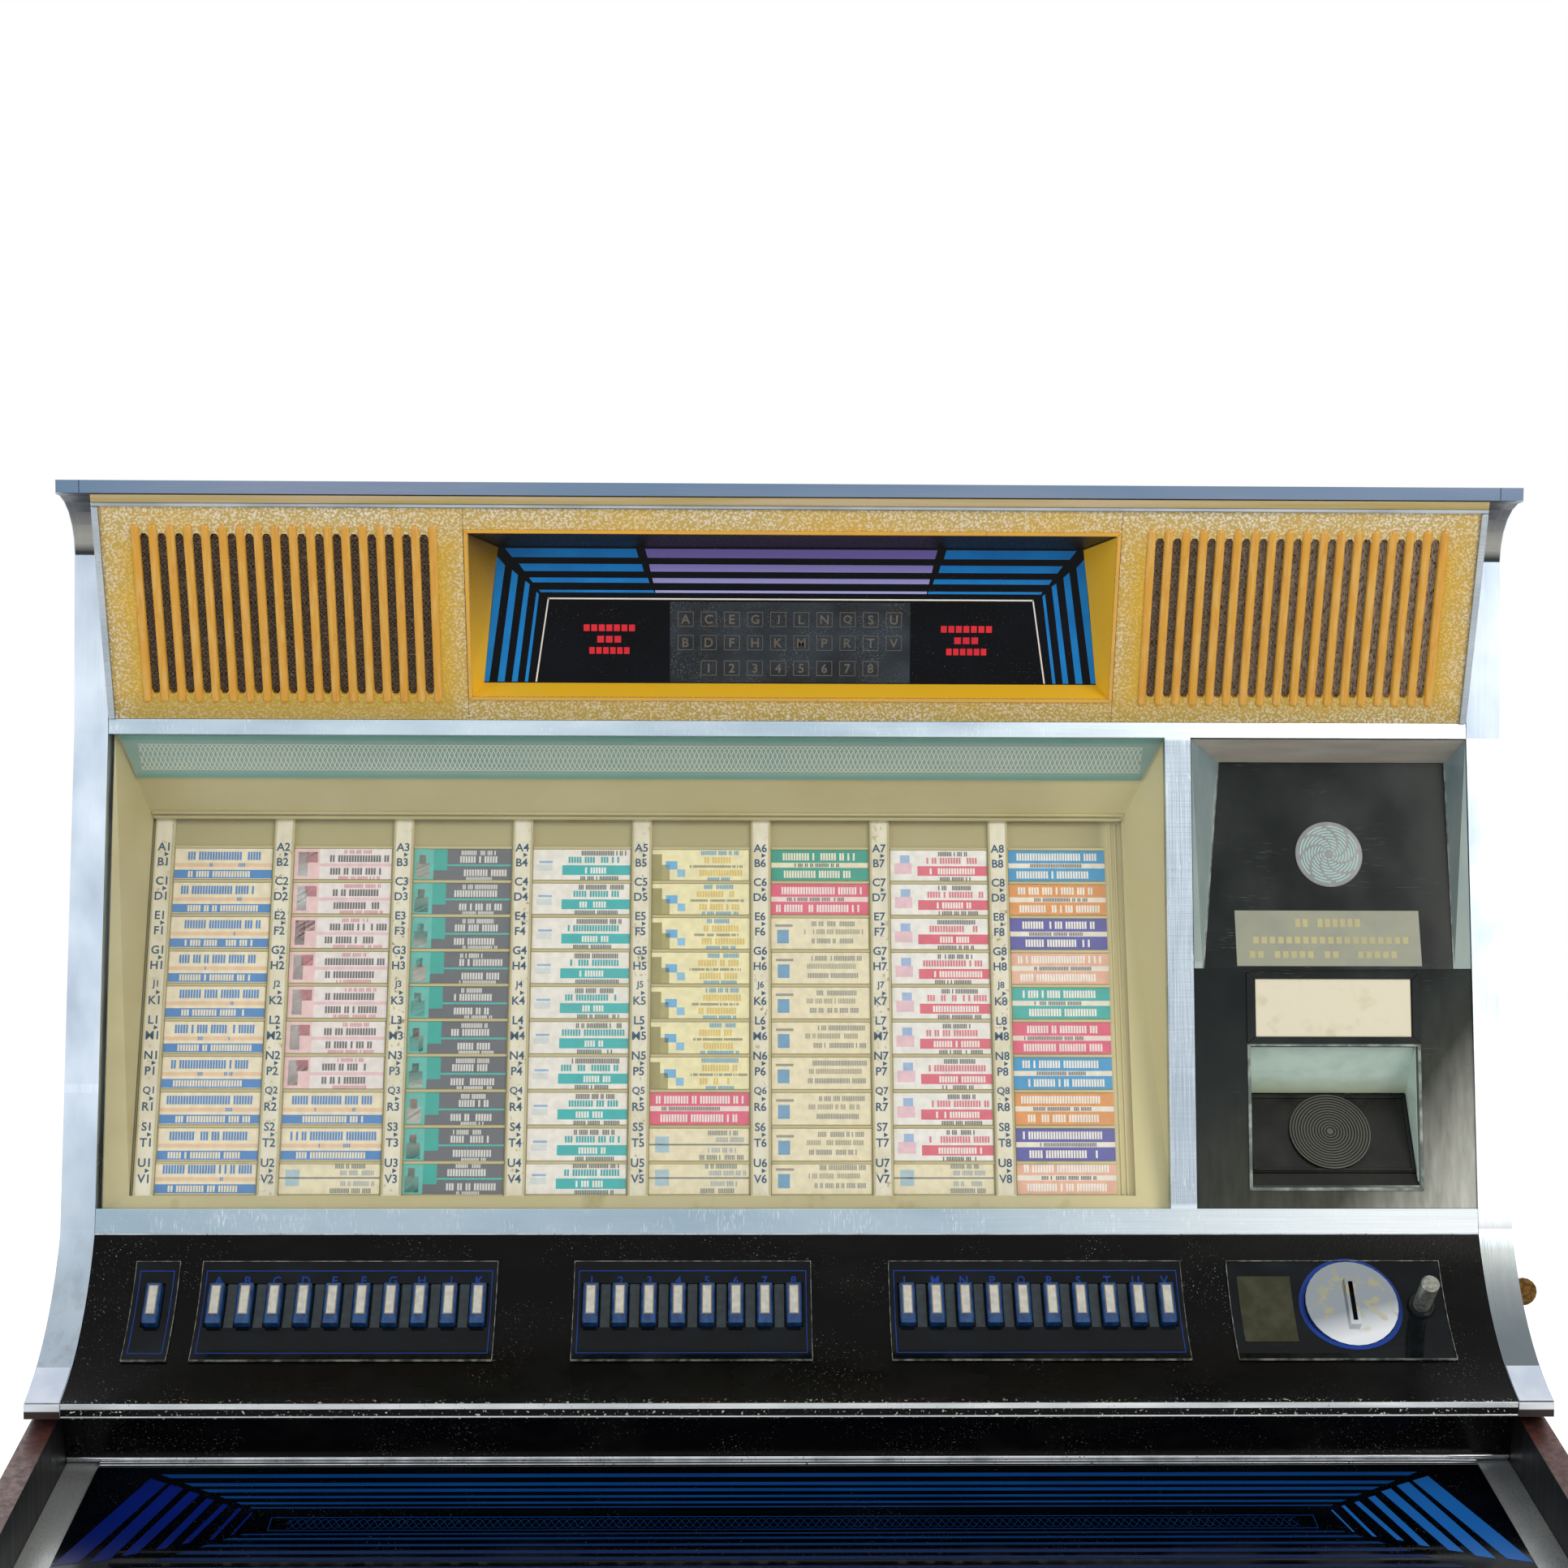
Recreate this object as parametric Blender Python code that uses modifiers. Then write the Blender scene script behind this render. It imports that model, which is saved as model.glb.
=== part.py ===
"""Jukebox: a floor-standing selector cabinet with a lift-up lid, built from separate boards,
castings, panels, keys and a record mechanism. Metres, +Z up, the front faces -Y, and the
origin is on the floor under the middle of the cabinet."""
import math

import bmesh
import bpy
from mathutils import Matrix, Vector

# Overall size
CABINET_WIDTH = 1.024
CABINET_DEPTH = 0.690
CABINET_HEIGHT = 1.300
FIT_GAP = 0.0003        # between pieces that touch or seat on each other
RUN_GAP = 0.0006        # between a moving piece and what it moves in

# Cabinet boards
BOARD = 0.018
SIDE_STEP_SETBACK = 0.375       # where the side board steps up behind the lid
SHELF_DROP = 0.0075             # side board's front shelf under the lid's lip
SHELF_FALL = 0.0230             # from the shelf down to the nose
SHELF_SETBACK = 0.150           # from the nose to where the shelf is level
TOE_SETBACK = 0.055
TOE_TOP_DROP = 0.1090           # from the shelf down to where the front edge leans in
KICK_HEIGHT = 0.085
KICK_THICKNESS = 0.016
BACK_RAIL_HEIGHT = 0.060
REAR_DOOR_FLOOR_GAP = 0.022
DOOR_THICKNESS = 0.016
DOOR_INSET = 0.002
REAR_DOOR_THICKNESS = 0.012

# Lid: cap, cheeks and header
CAP_INSET = 0.001               # cap's end inside the cabinet's width
CAP_THICKNESS = 0.009
CAP_SETBACK = 0.261             # cap's front edge behind the cabinet's nose
CHEEK_FACE = 0.024
COVE_DEPTH = 0.057
COVE_DROP = 0.043
HEADER_TOP_DROP = 0.003         # under the cap
HEADER_HEIGHT = 0.1565
HEADER_TOP_SETBACK = 0.263
HEADER_BOTTOM_SETBACK = 0.309
GRILLE_THICKNESS = 0.003
GRILLE_END_SETBACK = 0.326      # end wall's rear edge, out of sight between the cheeks
SLOT_COUNT = 17
SLOT_WIDTH = 0.0062
SLOT_LENGTH = 0.1195
SLOT_INNER_MARGIN = 0.0272      # from the bezel's edge to the first slot's middle
SLOT_OUTER_MARGIN = 0.0350
SLOT_RISE = 0.0185              # slot's foot above the header's foot
BEZEL_WIDTH = 0.461
BEZEL_BACK_SETBACK = 0.317
BEZEL_RIM = 0.003
DISPLAY_OVERREACH = 0.0010      # opening past the slots' ends, up and down
DISPLAY_BOTTOM_TAPER = 0.0100   # opening's side inside the bezel's edge, at its foot
DISPLAY_TOP_TAPER = 0.0205
DISPLAY_CHAMFER = 0.0095
DISPLAY_GLASS_THICKNESS = 0.004
DISPLAY_GLASS_MARGIN = 0.005

# Lid: window
WINDOW_HEIGHT = 0.3295
WINDOW_LEAN = 0.065
RAIL_THICKNESS = 0.010
UPPER_RAIL = 0.0111
LOWER_RAIL = 0.0180
COIN_COLUMN_WIDTH = 0.1997
POST_WIDTH = 0.0185
WINDOW_GLASS_THICKNESS = 0.004
WINDOW_GLASS_INSET = 0.003

# Lid: title rack and tray
RACK_BOTTOM_INSET = 0.020       # rack plane behind the window plane at the foot
RACK_BOTTOM_RISE = 0.004
RACK_LENGTH = 0.2775
RACK_LEAN = 0.1014
RACK_THICKNESS = 0.003
RACK_MARGIN = 0.005
RACK_LEFT_TAPER = 0.0197        # rack's edge inside the cheek
RACK_RIGHT_TAPER = 0.0225       # rack's edge inside the post
BAR_PITCH = 0.0876
BAR_WIDTH = 0.0142
BAR_MARGIN = 0.0094             # first bar's middle inside the rack's edge
BAR_PROUD = 0.003
TRAY_WALL = 0.002
TRAY_OVERLAP = 0.004

# Lid: coin column
COIN_PLATE = 0.003
COIN_RECESS_DEPTH = 0.030
COIN_TOP_SHOULDER = 0.014
COIN_BREAK = 0.166              # window top down to where the recess ends
COIN_FACE_INSET = 0.002
LIT_WINDOW_DROP = 0.173
LIT_WINDOW_HEIGHT = 0.042
LIT_WINDOW_WIDTH = 0.112
LIT_WINDOW_DEPTH = 0.0012
RETURN_DROP = 0.220
RETURN_HEIGHT = 0.0995
RETURN_WIDTH = 0.1196
POCKET_DEPTH = 0.040
POCKET_WALL = 0.002
FLAP_THICKNESS = 0.0025
FLAP_LENGTH = 0.0617
FLAP_TOP_DROP = 0.0355          # flap's hinge under the pocket's mouth
FLAP_TOP_INSET = 0.036
FLAP_BOTTOM_INSET = 0.008
FLAP_DISC_RADIUS = 0.0272
FLAP_DISC_PROUD = 0.002
FLAP_PIN_RADIUS = 0.0020

# Lid: key panel
KEY_PANEL_DROP = 0.0870
KEY_PANEL_REACH = 0.1070
KEY_PANEL_SAG = 0.0140
KEY_PANEL_THICKNESS = 0.003
KEY_PANEL_STEPS = 10
LIP_HEIGHT = 0.010
KEY_ROW_SHARE = 0.38            # keys' middle along the panel, from its top
KEY_WIDTH = 0.0107
KEY_LENGTH = 0.0310
KEY_PROUD = 0.0080
KEY_DEPTH = 0.0085
KEY_BEVEL = 0.0010
KEY_PITCH = 0.0201
RESET_KEY_SHARE = -0.9042       # places along the panel, as shares of its half width
LEFT_KEYS_SHARE = -0.8157
MIDDLE_KEYS_SHARE = -0.2848
RIGHT_KEYS_SHARE = 0.1655
COIN_DISC_SHARE = 0.8007
BUTTON_SHARE = 0.9018
LEFT_KEYS = "abcdefghjk"
MIDDLE_KEYS = "12345678"
RIGHT_KEYS = "lmnpqrstuv"
COIN_DISC_RADIUS = 0.0323
COIN_DISC_PROUD = 0.0050
COIN_DISC_DEPTH = 0.0080
COIN_SLOT_WIDTH = 0.0032
COIN_SLOT_LENGTH = 0.0300
COIN_RIM_WIDTH = 0.0075
COIN_RIM_LENGTH = 0.0360
COIN_RIM_PROUD = 0.0040
BUTTON_RADIUS = 0.0064
BUTTON_PROUD = 0.0340
BUTTON_DEPTH = 0.0100
BUTTON_BEVEL = 0.0012

# Lock in the right cheek
LOCK_SETBACK = 0.260
LOCK_RISE = 0.0395              # above the key panel's foot
LOCK_BARREL_RADIUS = 0.0095
LOCK_BARREL_PROUD = 0.0020
LOCK_BARREL_DEPTH = 0.0180
LOCK_BOW_RADIUS = 0.0100
LOCK_BOW_THICKNESS = 0.0022
LOCK_BLADE_LENGTH = 0.0080
LOCK_BLADE_WIDTH = 0.0070

# Apron and deck
APRON_TOP_SETBACK = 0.161
APRON_BOTTOM_SETBACK = 0.171
APRON_HEIGHT = 0.0345
APRON_THICKNESS = 0.004
DECK_BACK_DROP = 0.0015         # deck's back edge under the apron's foot
DECK_FALL = 0.0230
DECK_THICKNESS = 0.016
DECK_SIDE_RAIL = 0.0227
DECK_END_RAIL = 0.0080
DECK_GLASS_THICKNESS = 0.006
DECK_GLASS_PROUD = 0.001

# Record mechanism
MECHANISM_BACK_REACH = 0.2600   # middle of the magazine in front of the cabinet's back
MECHANISM_DROP = 0.2290         # plate's underside below the side board's shelf
MECHANISM_PLATE = 0.0150
MECHANISM_MARGIN = 0.0100       # plate past the magazine's rim, front and back
CENTRE_POST_RADIUS = 0.0180
MAGAZINE_RADIUS = 0.2250
MAGAZINE_FLOOR = 0.0060
MAGAZINE_RIM_HEIGHT = 0.0500
MAGAZINE_WALL = 0.0040
MAGAZINE_HUB_RADIUS = 0.0420
MAGAZINE_HUB_HEIGHT = 0.1400
TURNTABLE_RISE = 0.1000         # above the magazine's hub, clear of its records
TURNTABLE_RADIUS = 0.0875
TURNTABLE_THICKNESS = 0.0120
TURNTABLE_BEVEL = 0.0020
SPINDLE_RADIUS = 0.0190
SPINDLE_HEIGHT = 0.0060
ARM_POST_GAP = 0.0230           # from the magazine's rim to the post's middle
ARM_POST_RADIUS = 0.0110
ARM_RADIUS = 0.0045
ARM_LENGTH = 0.1750
ARM_TAIL = 0.0300
ARM_HUB_RADIUS = 0.0160
ARM_HUB_HEIGHT = 0.0180
ARM_RISE = 0.0220
ARM_HEAD_LENGTH = 0.0300
ARM_HEAD_WIDTH = 0.0160
ARM_HEAD_HEIGHT = 0.0100
AMPLIFIER_WIDTH = 0.3600
AMPLIFIER_DEPTH = 0.2200
AMPLIFIER_HEIGHT = 0.1300
AMPLIFIER_SHARE = -0.4659       # middle of the amplifier, as a share of the bay's half width
AMPLIFIER_BEVEL = 0.0030

# How finely round pieces are faceted
ROUND_STEPS = 32
SMALL_ROUND_STEPS = 16
ARC_STEPS = 6
CUT_OVERRUN = 0.0100            # how far a cutter runs past what it cuts
WELD = 0.00002
CREASE = math.radians(40)       # edges sharper than this stay sharp

# Places worked out from the sizes
NOSE_Y = -CABINET_DEPTH / 2
BACK_Y = CABINET_DEPTH / 2
HALF_WIDTH = CABINET_WIDTH / 2
BOARD_INNER = HALF_WIDTH - BOARD
CHEEK_INNER = HALF_WIDTH - CHEEK_FACE
FILL = CHEEK_INNER - FIT_GAP        # half width of what lies between the cheeks
BAY = BOARD_INNER - FIT_GAP         # half width of what lies between the side boards
CAP_UNDER = CABINET_HEIGHT - CAP_THICKNESS
CAP_FRONT_Y = NOSE_Y + CAP_SETBACK
SIDE_STEP_Y = NOSE_Y + SIDE_STEP_SETBACK
HEADER_TOP = Vector((NOSE_Y + HEADER_TOP_SETBACK, CAP_UNDER - HEADER_TOP_DROP))
HEADER_FOOT = Vector((NOSE_Y + HEADER_BOTTOM_SETBACK, HEADER_TOP.y - HEADER_HEIGHT))
LEAN_LENGTH = math.hypot(WINDOW_HEIGHT, WINDOW_LEAN)
RAIL_STEP = UPPER_RAIL / LEAN_LENGTH
WINDOW_TOP = Vector((
    HEADER_FOOT.x - WINDOW_LEAN * RAIL_STEP,
    HEADER_FOOT.y - WINDOW_HEIGHT * RAIL_STEP,
))
WINDOW_FOOT = Vector((WINDOW_TOP.x - WINDOW_LEAN, WINDOW_TOP.y - WINDOW_HEIGHT))
RAIL_FOOT = WINDOW_FOOT + (WINDOW_FOOT - WINDOW_TOP).normalized() * LOWER_RAIL
KEY_PANEL_FOOT = RAIL_FOOT - Vector((KEY_PANEL_REACH, KEY_PANEL_DROP))
SHELF_HEIGHT = KEY_PANEL_FOOT.y - LIP_HEIGHT - SHELF_DROP
TOE_TOP = SHELF_HEIGHT - TOE_TOP_DROP
APRON_FOOT = Vector((NOSE_Y + APRON_BOTTOM_SETBACK, SHELF_HEIGHT - APRON_HEIGHT))
DECK_BACK = Vector((APRON_FOOT.x + APRON_THICKNESS, APRON_FOOT.y - DECK_BACK_DROP))
DECK_NOSE = Vector((NOSE_Y, DECK_BACK.y - DECK_FALL))
MECHANISM_PLACE = BACK_Y - MECHANISM_BACK_REACH
MECHANISM_HEIGHT = SHELF_HEIGHT - MECHANISM_DROP
PLATE_TOP = MECHANISM_HEIGHT + MECHANISM_PLATE
TURNTABLE_HEIGHT = PLATE_TOP + FIT_GAP + MAGAZINE_HUB_HEIGHT + TURNTABLE_RISE


def arc_between(start, end, sag, steps):
    """Points of a round arc from start to end that hangs sag below the chord."""
    chord = end - start
    half = chord.length / 2
    radius = (half * half + sag * sag) / (2 * sag)
    half_angle = math.asin(half / radius)
    along = chord.normalized()
    below = Vector((-along.y, along.x))
    if below.y > 0:
        below = -below
    centre = start + along * half - below * (radius - sag)
    points = []
    for step in range(steps + 1):
        angle = -half_angle + 2 * half_angle * step / steps
        points.append(centre + along * radius * math.sin(angle) + below * radius * math.cos(angle))
    return points


def arc_offset(points, distance):
    """The points moved along the curve's lower side by distance."""
    moved = []
    for index, point in enumerate(points):
        before = points[max(index - 1, 0)]
        after = points[min(index + 1, len(points) - 1)]
        along = (after - before).normalized()
        below = Vector((-along.y, along.x))
        if below.y > 0:
            below = -below
        moved.append(point + below * distance)
    return moved


KEY_CURVE = arc_between(RAIL_FOOT, KEY_PANEL_FOOT, KEY_PANEL_SAG, KEY_PANEL_STEPS)


def curve_frame(share):
    """Frame on the key panel's face: X across, Y up the panel, Z out of it."""
    place = share * KEY_PANEL_STEPS
    index = min(int(place), KEY_PANEL_STEPS - 1)
    point = KEY_CURVE[index].lerp(KEY_CURVE[index + 1], place - index)
    up = KEY_CURVE[index] - KEY_CURVE[index + 1]
    return lean_frame(point, up)


def lean_frame(point, up):
    """Frame at (y, z) whose Y runs along up = (y, z) and whose Z faces the front."""
    across = Vector((1, 0, 0))
    upward = Vector((0, up[0], up[1])).normalized()
    out = across.cross(upward)
    frame = Matrix((across, upward, out)).transposed().to_4x4()
    frame.translation = Vector((0, point[0], point[1]))
    return frame


HEADER_FRAME = lean_frame(HEADER_FOOT, HEADER_TOP - HEADER_FOOT)
HEADER_LENGTH = (HEADER_TOP - HEADER_FOOT).length
WINDOW_FRAME = lean_frame(WINDOW_FOOT, WINDOW_TOP - WINDOW_FOOT)
RACK_FOOT = WINDOW_FOOT + Vector((RACK_BOTTOM_INSET, RACK_BOTTOM_RISE))
RACK_RISE = math.sqrt(RACK_LENGTH ** 2 - RACK_LEAN ** 2)
RACK_FRAME = lean_frame(RACK_FOOT, Vector((RACK_LEAN, RACK_RISE)))
SIDE_FRAME = Matrix(((0, 0, 1, 0), (1, 0, 0, 0), (0, 1, 0, 0), (0, 0, 0, 1)))
POST_RIGHT = FILL - COIN_COLUMN_WIDTH
POST_LEFT = POST_RIGHT - POST_WIDTH
RETURN_CENTRE = (POST_RIGHT + FILL) / 2
RACK_LEFT = -FILL + RACK_LEFT_TAPER
RACK_RIGHT = POST_LEFT - RACK_RIGHT_TAPER
BAR_COUNT = int((RACK_RIGHT - RACK_LEFT) / BAR_PITCH)
BAR_FIRST = RACK_LEFT + BAR_MARGIN
COIN_DISC_PLACE = COIN_DISC_SHARE * FILL
BUTTON_PLACE = BUTTON_SHARE * FILL
ARM_POST_PLACE = MAGAZINE_RADIUS + ARM_POST_GAP
AMPLIFIER_PLACE = AMPLIFIER_SHARE * BAY
CAP_HALF = HALF_WIDTH - CAP_INSET

for old_object in list(bpy.data.objects):
    bpy.data.objects.remove(old_object, do_unlink=True)

PARTS = bpy.data.collections.new("jukebox")
CUTTERS = bpy.data.collections.new("cutters")
bpy.context.scene.collection.children.link(PARTS)
bpy.context.scene.collection.children.link(CUTTERS)


def material(name, colour, roughness, metallic=0.0):
    made = bpy.data.materials.new(name)
    made.use_nodes = True
    shader = made.node_tree.nodes["Principled BSDF"]
    shader.inputs["Base Color"].default_value = (*colour, 1.0)
    shader.inputs["Roughness"].default_value = roughness
    shader.inputs["Metallic"].default_value = metallic
    return made


WOOD = material("walnut laminate", (0.07, 0.02, 0.018), 0.45)
BLACK_BOARD = material("black painted board", (0.012, 0.012, 0.013), 0.5)
CAP_METAL = material("polished aluminium", (0.35, 0.38, 0.42), 0.2, 1.0)
CHEEK_METAL = material("satin aluminium", (0.55, 0.55, 0.56), 0.35, 1.0)
YELLOW_ABS = material("pebbled yellow ABS", (0.65, 0.42, 0.06), 0.45)
BLACK_GLASS = material("black glass", (0.01, 0.01, 0.012), 0.08)
CLEAR_GLASS = material("window glass", (0.6, 0.66, 0.66), 0.05)
CREAM_ABS = material("cream ABS", (0.62, 0.55, 0.38), 0.5)
IVORY_ABS = material("ivory ABS", (0.7, 0.68, 0.6), 0.45)
BLACK_GLOSS = material("black gloss panel", (0.015, 0.016, 0.018), 0.15)
BLACK_SATIN = material("satin black steel", (0.02, 0.02, 0.022), 0.4)
BLUE_ABS = material("blue key ABS", (0.03, 0.12, 0.28), 0.35)
CHROME = material("chrome", (0.7, 0.7, 0.72), 0.08, 1.0)
BRASS = material("brass", (0.7, 0.45, 0.15), 0.3, 1.0)
ZINC = material("zinc plated steel", (0.45, 0.46, 0.47), 0.4, 1.0)
BLACK_RUBBER = material("black rubber", (0.02, 0.02, 0.02), 0.8)


def place_object(name, mesh, frame, finish):
    made = bpy.data.objects.new(name, mesh)
    made.matrix_world = frame
    if finish is None:
        CUTTERS.objects.link(made)
        made.hide_render = True
        made.display_type = "WIRE"
    else:
        PARTS.objects.link(made)
        mesh.materials.append(finish)
    return made


def mesh_from(shape, name):
    mesh = bpy.data.meshes.new(name)
    shape.to_mesh(mesh)
    shape.free()
    return mesh


def block(name, low, high, frame, finish):
    """A box between two corners given in a frame."""
    low, high = Vector(low), Vector(high)
    shape = bmesh.new()
    bmesh.ops.create_cube(shape, size=1)
    size = high - low
    bmesh.ops.scale(shape, vec=size, verts=shape.verts)
    mesh = mesh_from(shape, name)
    return place_object(name, mesh, frame @ Matrix.Translation((low + high) / 2), finish)


def drum(name, radius, low, high, frame, finish, steps=SMALL_ROUND_STEPS, top_radius=None):
    """A cylinder or a cone along a frame's Z, from low to high."""
    shape = bmesh.new()
    upper = radius if top_radius is None else top_radius
    bmesh.ops.create_cone(shape, cap_ends=True, segments=steps, radius1=radius,
                          radius2=upper, depth=high - low)
    mesh = mesh_from(shape, name)
    mesh.shade_smooth()
    mesh.set_sharp_from_angle(angle=CREASE)
    middle = Matrix.Translation((0, 0, (low + high) / 2))
    return place_object(name, mesh, frame @ middle, finish)


def slab(name, loops, low, high, frame, finish):
    """A flat outline, with any holes, thickened from low to high along the frame's Z."""
    curve = bpy.data.curves.new(name, "CURVE")
    curve.dimensions = "2D"
    curve.fill_mode = "BOTH"
    curve.extrude = (high - low) / 2
    for loop in loops:
        spline = curve.splines.new("POLY")
        spline.points.add(len(loop) - 1)
        for spot, point in zip(spline.points, loop):
            spot.co = (point[0], point[1], 0, 1)
        spline.use_cyclic_u = True
    guide = bpy.data.objects.new(name + "_outline", curve)
    CUTTERS.objects.link(guide)
    bpy.context.view_layer.update()
    evaluated = guide.evaluated_get(bpy.context.evaluated_depsgraph_get())
    flat = bpy.data.meshes.new_from_object(evaluated)
    bpy.data.objects.remove(guide, do_unlink=True)
    shape = bmesh.new()
    shape.from_mesh(flat)
    bmesh.ops.remove_doubles(shape, verts=shape.verts, dist=WELD)
    bmesh.ops.recalc_face_normals(shape, faces=shape.faces)
    mesh = mesh_from(shape, name)
    middle = Matrix.Translation((0, 0, (low + high) / 2))
    return place_object(name, mesh, frame @ middle, finish)



def boolean(target, tool, operation="DIFFERENCE"):
    change = target.modifiers.new(operation.lower() + "_" + tool.name, "BOOLEAN")
    change.operation = operation
    change.object = tool
    return target


def bevel(target, width, segments=1):
    change = target.modifiers.new("rounded edges", "BEVEL")
    change.width = width
    change.segments = segments
    change.limit_method = "ANGLE"
    return target


def carry(name, point, *pieces):
    """An empty on a joint's axis that carries the pieces which move with it."""
    bpy.context.view_layer.update()
    axle = bpy.data.objects.new(name, None)
    axle.location = point
    PARTS.objects.link(axle)
    bpy.context.view_layer.update()
    for piece in pieces:
        piece.parent = axle
        piece.matrix_parent_inverse = axle.matrix_world.inverted()
    return axle


def rectangle(left, right, low, high):
    return [(left, low), (right, low), (right, high), (left, high)]


def stadium(middle, width, low, high, steps):
    """A slot's outline with round ends, upright between low and high."""
    radius = width / 2
    points = []
    for end, start in ((high - radius, 0), (low + radius, math.pi)):
        for step in range(steps + 1):
            angle = start + math.pi * step / steps
            points.append((middle + radius * math.cos(angle), end + radius * math.sin(angle)))
    return points


# Side boards: laminated board cut to the cabinet's profile, stepping up behind the lid
def side_boards():
    profile = [
        (NOSE_Y + TOE_SETBACK, 0), (BACK_Y, 0), (BACK_Y, CAP_UNDER - FIT_GAP),
        (SIDE_STEP_Y, CAP_UNDER - FIT_GAP), (SIDE_STEP_Y, SHELF_HEIGHT),
        (NOSE_Y + SHELF_SETBACK, SHELF_HEIGHT), (NOSE_Y, SHELF_HEIGHT - SHELF_FALL),
        (NOSE_Y, TOE_TOP),
    ]
    slab("cabinet_side_left", [profile], -HALF_WIDTH, -BOARD_INNER, SIDE_FRAME, WOOD)
    slab("cabinet_side_right", [profile], BOARD_INNER, HALF_WIDTH, SIDE_FRAME, WOOD)


def toe_line(height):
    """Y of the lower front's slope at a height."""
    return NOSE_Y + TOE_SETBACK * (TOE_TOP - height) / TOE_TOP


# Base board with the kick board, back rail, and the two doors
def carcase():
    back_inner = BACK_Y - REAR_DOOR_THICKNESS - FIT_GAP
    kick_front = toe_line(KICK_HEIGHT) + DOOR_INSET + DOOR_THICKNESS
    profile = [
        (kick_front, 0), (back_inner, 0), (back_inner, BOARD),
        (kick_front + KICK_THICKNESS, BOARD), (kick_front + KICK_THICKNESS, KICK_HEIGHT),
        (kick_front, KICK_HEIGHT),
    ]
    slab("base_board", [profile], -BAY, BAY, SIDE_FRAME, BLACK_BOARD)
    rail_foot = CAP_UNDER - FIT_GAP - BACK_RAIL_HEIGHT
    block("back_rail", (-BAY, BACK_Y - BOARD, rail_foot), (BAY, BACK_Y, CAP_UNDER - FIT_GAP),
          Matrix.Identity(4), BLACK_BOARD)
    door = block("rear_door", (-BAY, BACK_Y - REAR_DOOR_THICKNESS, REAR_DOOR_FLOOR_GAP),
                 (BAY - 2 * RUN_GAP, BACK_Y, rail_foot - FIT_GAP), Matrix.Identity(4), BLACK_BOARD)
    carry("rear_door_hinge", (-BAY, BACK_Y, REAR_DOOR_FLOOR_GAP), door)


def lower_door():
    foot = KICK_HEIGHT + FIT_GAP
    top = DECK_NOSE.y - DECK_THICKNESS - DECK_THICKNESS / 2
    profile = [
        (toe_line(foot) + DOOR_INSET, foot),
        (toe_line(foot) + DOOR_INSET + DOOR_THICKNESS, foot),
        (NOSE_Y + DOOR_INSET + DOOR_THICKNESS, TOE_TOP),
        (NOSE_Y + DOOR_INSET + DOOR_THICKNESS, top),
        (NOSE_Y + DOOR_INSET, top), (NOSE_Y + DOOR_INSET, TOE_TOP),
    ]
    door = slab("lower_door", [profile], -BAY, BAY, SIDE_FRAME, BLACK_GLOSS)
    carry("lower_door_hinge", (0, toe_line(foot) + DOOR_INSET, foot), door)


# Apron panel behind the deck, and the deck: a board with a rebate that holds striped glass
def apron_and_deck():
    apron_top = Vector((NOSE_Y + APRON_TOP_SETBACK, SHELF_HEIGHT))
    across = Vector((APRON_THICKNESS, 0))
    profile = [APRON_FOOT, APRON_FOOT + across, apron_top + across, apron_top]
    slab("apron_panel", [profile], -BAY, BAY, SIDE_FRAME, BLACK_SATIN)
    length = (DECK_BACK - DECK_NOSE).length
    frame = lean_frame(DECK_NOSE, DECK_BACK - DECK_NOSE)
    deck = slab("deck_frame", [rectangle(-BAY, BAY, 0, length)], -DECK_THICKNESS, 0, frame, CHEEK_METAL)
    half = BAY - DECK_SIDE_RAIL
    low, high = DECK_END_RAIL, length - DECK_END_RAIL - APRON_THICKNESS
    rebate = block("deck_rebate", (-half, low, -DECK_GLASS_THICKNESS),
                   (half, high, CUT_OVERRUN), frame, None)
    boolean(deck, rebate)
    block("deck_glass", (-half + FIT_GAP, low + FIT_GAP, FIT_GAP - DECK_GLASS_THICKNESS),
          (half - FIT_GAP, high - FIT_GAP, DECK_GLASS_PROUD), frame, BLACK_GLASS)


# Lid: cap board and the two cheek castings
def cap():
    return block("top_cap", (-CAP_HALF, CAP_FRONT_Y, CAP_UNDER),
                 (CAP_HALF, BACK_Y, CABINET_HEIGHT), Matrix.Identity(4), CAP_METAL)


def cheeks():
    top = CAP_UNDER - FIT_GAP
    cove = []
    for step in range(ARC_STEPS + 1):
        turn = math.pi / 2 * step / ARC_STEPS
        cove.append((CAP_FRONT_Y + COVE_DEPTH * math.sin(turn),
                     top - COVE_DROP * (1 - math.cos(turn))))
    front = cove + [WINDOW_TOP, WINDOW_FOOT] + KEY_CURVE
    lip = KEY_CURVE[-1] - Vector((0, LIP_HEIGHT))
    shelf = SHELF_HEIGHT + FIT_GAP
    step_y = SIDE_STEP_Y - FIT_GAP
    heel = (NOSE_Y + SHELF_SETBACK + LIP_HEIGHT, shelf)
    profile = front + [lip, heel, (step_y, shelf), (step_y, top)]
    left = slab("cheek_left", [profile], -HALF_WIDTH, -CHEEK_INNER, SIDE_FRAME, CHEEK_METAL)
    right = slab("cheek_right", [profile], CHEEK_INNER, HALF_WIDTH, SIDE_FRAME, CHEEK_METAL)
    bore = drum("lock_bore", LOCK_BARREL_RADIUS + FIT_GAP, -LOCK_BARREL_DEPTH - FIT_GAP,
                CUT_OVERRUN, lock_frame(), None)
    boolean(right, bore)
    return [left, right]


def lock_frame():
    """Frame on the right cheek's outer face: Z points out along +X."""
    frame = Matrix(((0, 0, 1), (1, 0, 0), (0, 1, 0))).to_4x4()
    frame.translation = Vector((HALF_WIDTH, NOSE_Y + LOCK_SETBACK, KEY_PANEL_FOOT.y + LOCK_RISE))
    return frame


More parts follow.
